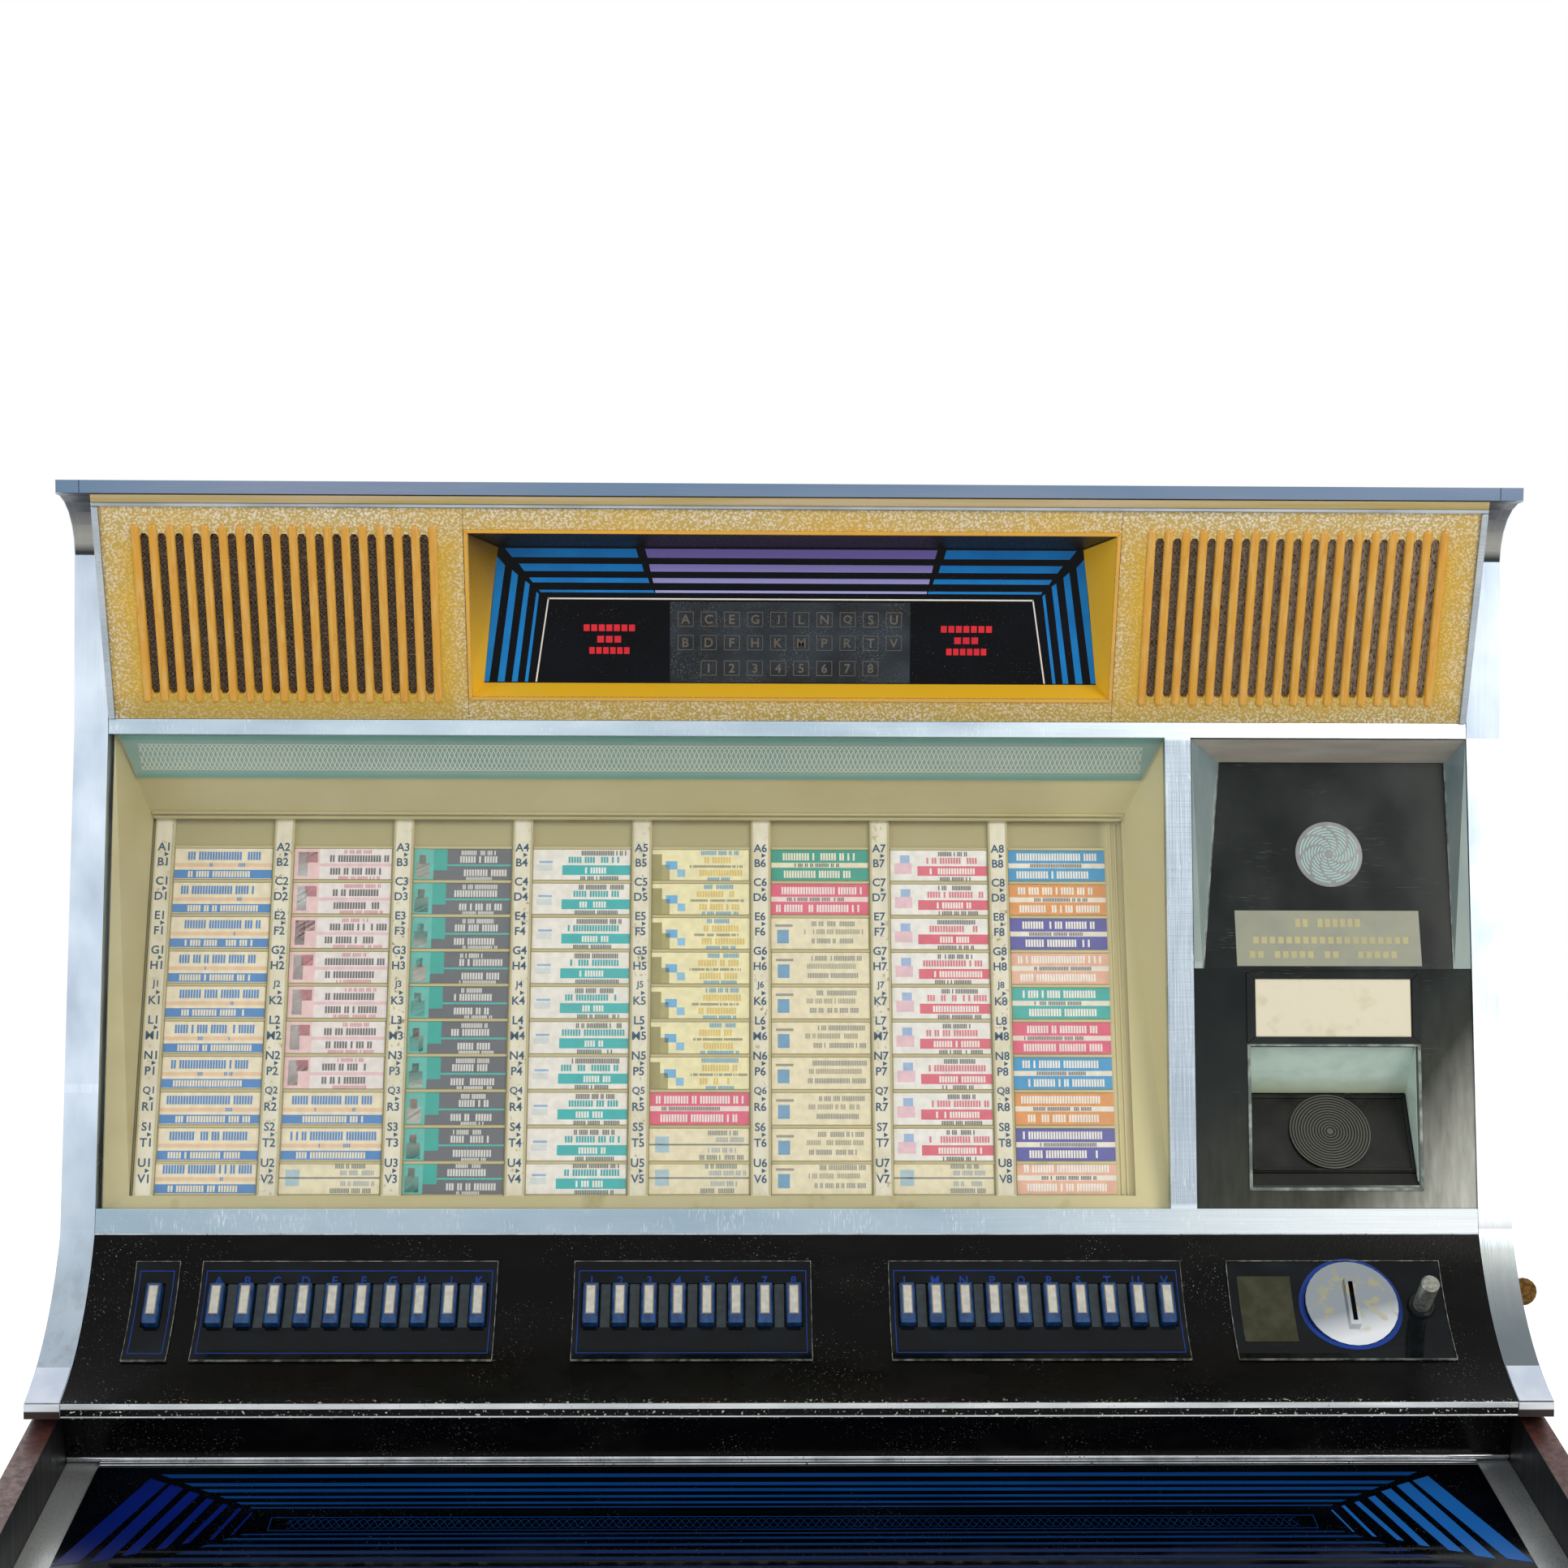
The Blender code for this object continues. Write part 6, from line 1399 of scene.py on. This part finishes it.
DISC_X, DISC_Y, DISC_RADIUS = 0.3903, 0.0845, 0.0243
lens_disc = mottled("frosted lens disc", "#8f9292", 0.35, (0.006, 0.35, 0.7), "#8b8f8e", "#9a9a9f",
                    Specular_IOR_Level=0.2)
DISC_PROFILE = [(0, 0.0001), (1, 0.0001), (1, 0.0010), (0.97, 0.0013), (0, 0.0013)]
add_piece("lens_disc", round_bodies((DISC_X, DISC_Y), DISC_RADIUS, DISC_PROFILE, 48), lens_disc,
          "lid", at=SLOPE, smooth=True)
SWIRL_ARMS, SWIRL_RINGS, SWIRL_FIRST, SWIRL_PITCH = 8, 9, 0.0040, 0.0021
SWIRL_SPAN, SWIRL_TURN = 0.30, 0.16      # radians: half of each arc, and from ring to ring
arm_turns = np.arange(SWIRL_ARMS) * 2 * math.pi / SWIRL_ARMS
sweep = np.linspace(-SWIRL_SPAN, SWIRL_SPAN, 7)
arcs = []
for ring_number in range(SWIRL_RINGS):
    radius = SWIRL_FIRST + SWIRL_PITCH * ring_number
    for turn in arm_turns + SWIRL_TURN * ring_number:
        line = np.stack([DISC_X + radius * np.cos(turn + sweep),
                         DISC_Y + radius * np.sin(turn + sweep), 0 * sweep + 0.0013], 1)
        arcs.append(carried(flat_section(0.00095, 0.00012), line, (0, 0, 1)))
arc_ink = ink("pale teal lens print", "#a9cbc5", "#9dbfb9", 0.4)
add_piece("lens_swirl", joined(*arcs), arc_ink, "lid", at=SLOPE)

olive_print = mottled("olive grey printed plate", "#92947f", 0.4, (0.02, 0.4, 0.7), "#90927d",
                      "#85887a")
PLATE_LEFT, PLATE_RIGHT, PLATE_FOOT, PLATE_TOP = 0.3197, 0.4526, 0.0018, 0.0426
add_piece("price_plate", boxes(PLATE_LEFT, PLATE_RIGHT, PLATE_FOOT, PLATE_TOP, 0.0001, 0.0004),
          olive_print, "lid", at=SLOPE)
plate_ink = ink("faded yellow print", "#bdb488", "#a8a383", 0.5)
plate_marks = []
for middle, low, high, tall, wide in ((0.0335, 0.3630, 0.4080, 0.0060, 0.0036),
                                      (0.0208, 0.3320, 0.4420, 0.0050, 0.0040),
                                      (0.0102, 0.3290, 0.4420, 0.0050, 0.0040)):
    starts = np.arange(low, high, wide * 1.5)
    starts = starts[draw.random(len(starts)) > 0.12]
    plate_marks.append(rectangles(starts, starts + wide, middle - tall / 2, middle + tall / 2))
add_piece("price_plate_marks", prisms(np.concatenate(plate_marks), 0.0004, 0.00048), plate_ink,
          "lid", at=SLOPE)

FACE_OUT = -0.0020
LIT_LEFT, LIT_RIGHT, LIT_FOOT, LIT_TOP = 0.3322, 0.4438, 0.1211, 0.1627
FRAME_LEFT, FRAME_RIGHT = 0.3258, 0.4502
lit_cream, shader, where = new_finish("opal acrylic, lit from behind", "#e2dbc1", 0.35,
                                      Emission_Strength=0.06)
dirty = flecks(where, (0.01, 0.5, 0.68), (0.03, 0.5, 0.62))
fill(shader, {"Emission Color": linear("#fff4d8"),
              "Base Color": layered("#d6cfb6", (dirty, "#b5aa86", 0.5))})
add_piece("lit_window", boxes(LIT_LEFT, LIT_RIGHT, LIT_FOOT, LIT_TOP, FACE_OUT - 0.0011,
                              FACE_OUT + 0.0004), lit_cream, "lid", at=WINDOW,
          bevel=0.0006)
lit_frame = mitred_ring(FRAME_LEFT, FRAME_RIGHT, 0.1160, 0.1678, 0.0054)
add_piece("lit_window_frame", prisms(lit_frame, FACE_OUT + 0.0001, FACE_OUT + 0.0016), black_gloss,
          "lid", at=WINDOW, bevel=0.0010)
mouth_rim = mitred_ring(FRAME_LEFT, FRAME_RIGHT, 0.0125, 0.1168, 0.0024)
add_piece("return_mouth_rim", prisms(mouth_rim, FACE_OUT + 0.0001, FACE_OUT + 0.0012), edge_line,
          "lid", at=WINDOW, bevel=0.0005)

mint_paint, shader, where = new_finish("mint moulded liner", "#a9beb2", 0.38)
grimy = patches(where, (0.015, 0.01, 0.01), 0.42, 0.7)
near_fold = past(where, tuple(WINDOW[2]), float(WINDOW[3] @ WINDOW[2]) - 0.026,
                 float(WINDOW[3] @ WINDOW[2]) - 0.036)
fill(shader, {"Base Color": layered("#cfe3d8", (grimy, "#b2c8ba", 0.5),
                                    (near_fold, "#a09f70", 0.6))})
MOUTH_LEFT, MOUTH_RIGHT = 0.3284, 0.4473
upper_face = [[window_point(MOUTH_LEFT, 0.0812, -0.0372),
               window_point(MOUTH_RIGHT, 0.0812, -0.0372),
               window_point(MOUTH_RIGHT, 0.1140, -0.0080),
               window_point(MOUTH_LEFT, 0.1140, -0.0080)]]
liner = slabs(upper_face, -0.0006 * WINDOW[2])
cheeks = [window_point(0, up, out)[1:] for up, out in
          ((0.0190, -0.0050), (0.1150, -0.0050), (0.0862, -0.0385), (0.0400, -0.0385))]
sides = run_across(cheeks, [MOUTH_LEFT - 0.0002, MOUTH_RIGHT - 0.0004],
                   [MOUTH_LEFT + 0.0004, MOUTH_RIGHT + 0.0002])
sill = slabs(
    [[window_point(MOUTH_LEFT, 0.0150, -0.0024), window_point(MOUTH_RIGHT, 0.0150, -0.0024),
      window_point(MOUTH_RIGHT, 0.0246, -0.0086), window_point(MOUTH_LEFT, 0.0246, -0.0086)]],
    -0.0006 * WINDOW[2])
add_piece("return_liner", joined(liner, sides), mint_paint, "lid")

FLAP = face_frame((0, -0.09039, 0.81445), (0, 0.03811, 0.04852))
FLAP_FACE, FLAP_MIDDLE = 0.0020, 0.03085
flap_black, shader, where = new_finish("black moulded phenolic, worn", "#2b2c28", 0.34,
                                       Specular_IOR_Level=0.25)
polish = patches(where, 0.02, 0.35, 0.7)
# The tops of the ring ridges are painted lighter: painted highlights.
painted_ridge_highlight = past(where, tuple(FLAP[2]), float(FLAP[3] @ FLAP[2]) + FLAP_FACE + 0.0003,
             float(FLAP[3] @ FLAP[2]) + FLAP_FACE + 0.0005)
fill(shader, {"Base Color": layered("#111210", (polish, "#24251f", 0.7), (painted_ridge_highlight, "#5e5f55", 0.8)),
              "Roughness": scaled(polish, 0.26, 0.42)})
dress("coin_return_flap", flap_black)
add_piece("return_sill", sill, flap_black, "lid")
rings = [(0, 0.0002), (1, 0.0002), (0.99, FLAP_FACE + 0.0005)]
for share in np.linspace(0.92, 0.08, 13):
    rings += [(share + 0.040, FLAP_FACE + 0.0006), (share + 0.030, FLAP_FACE + 0.0001),
              (share + 0.008, FLAP_FACE + 0.0001), (share, FLAP_FACE + 0.0006)]
add_piece("flap_rings", round_bodies((COLUMN_MIDDLE, FLAP_MIDDLE), 0.0294,
                                     rings + [(0, FLAP_FACE + 0.0006)], 48), flap_black,
          "coin_return_flap", at=FLAP, smooth=True)
add_piece("flap_rim", prisms(mitred_ring(0.3300, 0.4460, 0.0008, 0.0606, 0.0024), -0.0002, 0.0012),
          flap_black, "coin_return_flap", at=FLAP, bevel=0.0006)


# Key panel: a black painted steel panel that sweeps forward, with 29 clear blue keys in wells
# under clear acrylic plates. Each key holds an ivory insert; its code is printed in blue above it.
panel_black, shader, where = new_finish("black stoved paint, worn smooth", "#101010", 0.34,
                                        Specular_IOR_Level=0.09)
dust = flecks(where, (0.0011, 0.67, 0.71), (0.05, 0.50, 0.66))
chips = both(patches(where, 0.0022, 0.62, 0.68), past(where, (0, 0, -1), -0.6880, -0.6866))
smears = patches(where, (0.06, 0.05, 0.03), 0.50, 0.72)
fine_skin = patches(where, 0.0022, 0.3, 0.7, 1.0)
fill(shader, {"Base Color": layered("#040404", (smears, "#0f0f0e", 0.5), (dust, "#8f8c84"),
                                    (chips, "#c9c7bf")),
              "Roughness": scaled(smears, 0.26, 0.44),
              "Normal": bump(fine_skin, 0.00006, 0.5, swept_normal(where))})
dress("key_panel", panel_black)
key_blue = mottled("translucent blue ABS", "#1f4f8d", 0.14, ((0.004, 0.006, 0.006), 0.35, 0.7),
                   "#0f3365", ("#255486", 0.8), Specular_IOR_Level=0.4)
KEY_PITCH = 0.0201
RESET_X, LETTERS_X, NUMBERS_X, LAST_X = -0.4410, -0.3978, -0.1389, 0.0807
KEY_NAMES = ["reset"] + list("abcdefghjk") + list("12345678") + list("lmnpqrstuv")
KEY_PLACES = np.concatenate([[RESET_X], LETTERS_X + KEY_PITCH * np.arange(10),
                             NUMBERS_X + KEY_PITCH * np.arange(8),
                             LAST_X + KEY_PITCH * np.arange(10)])
for name in KEY_NAMES:
    dress(f"key_{name}", key_blue)
KEYS = face_frame((0, -0.13871, 0.73049), (0, 0.69465, 0.71934))
KEY_TOP = 0.0080
key_ivory = mottled("aged ivory inlay", "#b2b1a4", 0.4, (0.004, 0.35, 0.65), "#b1b1a8", "#c8c6ba")
brown_line = ink("brown inlay edge", "#94826a", "#7d6f60", 0.4)
INLAY_HALF, INLAY_FOOT, INLAY_TOP, INLAY_EDGE = 0.0028, -0.0086, 0.0124, 0.0006
for name, x in zip(KEY_NAMES, KEY_PLACES):
    edge = boxes(x - INLAY_HALF - INLAY_EDGE, x + INLAY_HALF + INLAY_EDGE, INLAY_FOOT - INLAY_EDGE,
                 INLAY_TOP + INLAY_EDGE, KEY_TOP, KEY_TOP + 0.0002)
    add_piece(f"inlay_edge_{name}", edge, brown_line, f"key_{name}", at=KEYS,
              bevel=0.0001)
    inlay = boxes(x - INLAY_HALF, x + INLAY_HALF, INLAY_FOOT, INLAY_TOP, KEY_TOP + 0.0001,
                  KEY_TOP + 0.0005)
    add_piece(f"inlay_{name}", inlay, key_ivory, f"key_{name}", at=KEYS, bevel=0.0002)

# Plates follow the panel's sweep; the numbers are shares of the sweep from the panel's top.
PLATE_START, PLATE_END, WELL_START, WELL_END = 0.14, 0.697, 0.255, 0.500
LINE_START, LINE_END, LETTER_SHARE, LETTER_HEIGHT = 0.187, 0.657, 0.240, 0.0062
KEY_CLEARANCE, PLATE_MARGINS = 0.0068, np.array([0.0150, 0.0120, 0.0120, 0.0120])
COIN_PLATE = (0.3065, 0.4565)
first_keys = np.array([RESET_X, LETTERS_X, NUMBERS_X, LAST_X])
last_keys = first_keys + KEY_PITCH * np.array([0, 9, 7, 9])
plate_lefts, plate_rights = first_keys - PLATE_MARGINS, last_keys + PLATE_MARGINS
smoked = mottled("clear acrylic over black", "#12171b", 0.06, ((0.03, 0.02, 0.02), 0.45, 0.75),
                 "#090d10", ("#1a2129", 0.5), (0.06, 0.25), Specular_IOR_Level=0.12)
plates = joined(
    arc_slab(plate_lefts, plate_rights, PLATE_START, WELL_START, 0.0001, 0.0014),
    arc_slab(plate_lefts, plate_rights, WELL_END, PLATE_END, 0.0001, 0.0014),
    arc_slab(np.concatenate([plate_lefts, last_keys + KEY_CLEARANCE]),
             np.concatenate([first_keys - KEY_CLEARANCE, plate_rights]),
             WELL_START, WELL_END, 0.0001, 0.0014))
add_piece("key_plates", plates, smoked, "lid")
gap_lefts = np.concatenate([KEY_PLACES[1:10], KEY_PLACES[11:18], KEY_PLACES[19:28]]) + KEY_CLEARANCE
well_teal = mottled("dark teal key well", "#0d2229", 0.3, ((0.006, 0.006, 0.004), 0.4, 0.7),
                    "#0b1b22", "#17343c")
add_piece("key_wells", arc_slab(gap_lefts, gap_lefts + KEY_PITCH - 2 * KEY_CLEARANCE, WELL_START,
                                WELL_END, 0.00002, 0.0005), well_teal, "lid")


def arc_frames(lefts, rights, width, start, end, head, foot, low, high):
    """Frames on the sweep: sides of a width from start to end, with a bar at head and foot."""
    sides = arc_slab(np.concatenate([lefts, rights - width]),
                     np.concatenate([lefts + width, rights]), start, end, low, high)
    return joined(sides, *[arc_slab(lefts, rights, *bar, low, high, 2) for bar in (head, foot)])


EDGE = 0.00035
plate_edge = mottled("pale worn acrylic edge", "#5d635f", 0.35, (0.006, 0.42, 0.62), "#3b423f",
                     "#8f958a")
edges = arc_frames(np.append(plate_lefts, COIN_PLATE[0]) - EDGE,
                   np.append(plate_rights, COIN_PLATE[1]) + EDGE, EDGE, PLATE_START, PLATE_END,
                   (PLATE_START - 0.0028, PLATE_START), (PLATE_END, PLATE_END + 0.0032),
                   0.00005, 0.0015)
add_piece("key_plate_edges", edges, plate_edge, "lid")
line_ink = ink("blue line print", "#1d3f93", "#15306f", 0.3)
lines = arc_frames(plate_lefts + 0.0030, plate_rights - 0.0030, 0.0006, LINE_START, LINE_END,
                   (LINE_START, LINE_START + 0.0045), (LINE_END - 0.0045, LINE_END),
                   0.0013, 0.0015)
add_piece("key_plate_lines", lines, line_ink, "lid")


def laid_on_sweep(share, x, up, out):
    """Points across x, up the sweep from a share of it, and out of it."""
    return np.column_stack([x, on_arc(ARC_HALF * (2 * share - 1) - up / ARC_RADIUS, out)])


key_labels = [(name.upper(), x, 0.0, LETTER_HEIGHT) for name, x in
              list(zip(KEY_NAMES, KEY_PLACES))[1:]]
flat, faces = lettering(key_labels, 0.0013, 0.0002)
add_piece("key_letters", (laid_on_sweep(LETTER_SHARE, flat[:, 0], flat[:, 1], flat[:, 2:]), faces),
          line_ink, "lid")


# Coin entry: a chromed domed disc with the coin slot, in a clear plate with a printed blue ring
# and an olive window. The reject button beside it is a chromed pin in a black collar.
disc_chrome, shader, where = new_finish("chromed zinc, yellow stained", "#c9ccce", 0.12,
                                        Metallic=1.0)
# The chrome is painted grey, brightening to near white towards its lower edge: a painted
# reflection; the yellow stains are its own.
painted_lower_reflection = past(where, (0.25, -0.70, -0.70), -0.312, -0.291)
stained = flecks(where, ((0.008, 0.008, 0.006), 0.52, 0.6), (0.03, 0.5, 0.58))
fill(shader, {"Base Color": layered("#8d959b", (painted_lower_reflection, "#dfe2e4"), (stained, "#a39a68", 0.6)),
              "Roughness": scaled(stained, 0.10, 0.35)})
dress("coin_entry", disc_chrome)
button_metal = mottled("worn nickel plate", "#85877e", 0.32, ((0.004, 0.004, 0.002), 0.35, 0.7),
                       "#74776f", "#a2a499", (0.24, 0.40), Metallic=0.55)
dress("reject_button", button_metal)
COIN_X, BUTTON_X = 0.3905, 0.4398
add_piece("coin_plate_film", arc_slab([COIN_PLATE[0]], [COIN_PLATE[1]], PLATE_START, PLATE_END,
                                      0.00002, 0.0003), smoked, "lid")
RING_RADII, RING_STEPS, COIN_SHARE = (0.0326, 0.0360), 72, 0.38
turns = np.linspace(0, 2 * math.pi, RING_STEPS + 1)[:-1]
rows = [laid_on_sweep(COIN_SHARE, COIN_X + radius * np.sin(turns), radius * np.cos(turns), out)
        for radius in RING_RADII for out in (0.0003, 0.0005)]
inner_low, inner_top, outer_low, outer_top = RING_STEPS * np.arange(4)
steps = np.arange(RING_STEPS)
after = (steps + 1) % RING_STEPS
bands = [np.stack([steps + one, steps + other, after + other, after + one], 1)
         for one, other in ((inner_top, outer_top), (outer_top, outer_low),
                            (outer_low, inner_low), (inner_low, inner_top))]
add_piece("coin_ring", (np.concatenate(rows), np.concatenate(bands).tolist()), line_ink, "lid",
          smooth=True)
olive_glass = mottled("olive tinted window", "#35361f", 0.25, ((0.01, 0.01, 0.02), 0.4, 0.7),
                      "#2f301d", "#3f402f", Specular_IOR_Level=0.2)
PANE_LEFT, PANE_RIGHT, PANE_START, PANE_END = 0.3130, 0.3502, 0.218, 0.585
add_piece("coin_plate_window", arc_slab([PANE_LEFT], [PANE_RIGHT], PANE_START, PANE_END, 0.0003,
                                        0.0007), olive_glass, "lid")
COLLAR_PROFILE = [(0.64, 0.0004), (1, 0.0004), (1, 0.0020), (0.90, 0.0034), (0.72, 0.0034),
                  (0.64, 0.0026), (0.64, 0.0004)]
add_piece("button_collar", round_bodies((BUTTON_X, 0.0), 0.0098, COLLAR_PROFILE, 40), black_gloss,
          "lid", at=KEYS, smooth=True)


# Lip: two polished trim strips along the panel's front edge, one 4 mm high at its top and one
# 1 mm high at its foot.
bright_lip = brushed("polished aluminium edge trim", "#d9dcdd", "#9aa3a9", (1, 0, 0))
strips = [run_across([(LIP_FRONT - 0.0008, top), (LIP_FRONT - 0.0008, foot),
                      (LIP_FRONT - 0.0001, foot), (LIP_FRONT - 0.0001, top)],
                     [-SIDE_EDGE], [SIDE_EDGE])
          for top, foot in ((LIP_TOP + 0.0004, LIP_TOP - 0.0036),
                            (LIP_FOOT + 0.0016, LIP_FOOT + 0.0004))]
add_piece("panel_edge_trim", joined(*strips), bright_lip, "lid", bevel=0.0003)


# Lock: a worn bronze key in the right side of the lid, in a chromed collar that stands 2 mm proud
# of the cheek.
worn_bronze = mottled("worn nickelled brass", "#5c4628", 0.3, (0.003, 0.4, 0.62), "#4a351d",
                      "#75582f", (0.25, 0.5), Metallic=1.0)
dress("lock_key", worn_bronze)
LOCK_FACE = face_frame((0.5120, -0.085, 0.726), (0, 0, 1), (0, 1, 0))
LOCK_PROFILE = [(0.62, 0.0001), (1, 0.0001), (1, 0.0014), (0.90, 0.0022), (0.62, 0.0022),
                (0.62, 0.0001)]
add_piece("lock_collar", round_bodies((0, 0), 0.0115, LOCK_PROFILE, 40), chrome, "lid",
          at=LOCK_FACE, smooth=True)
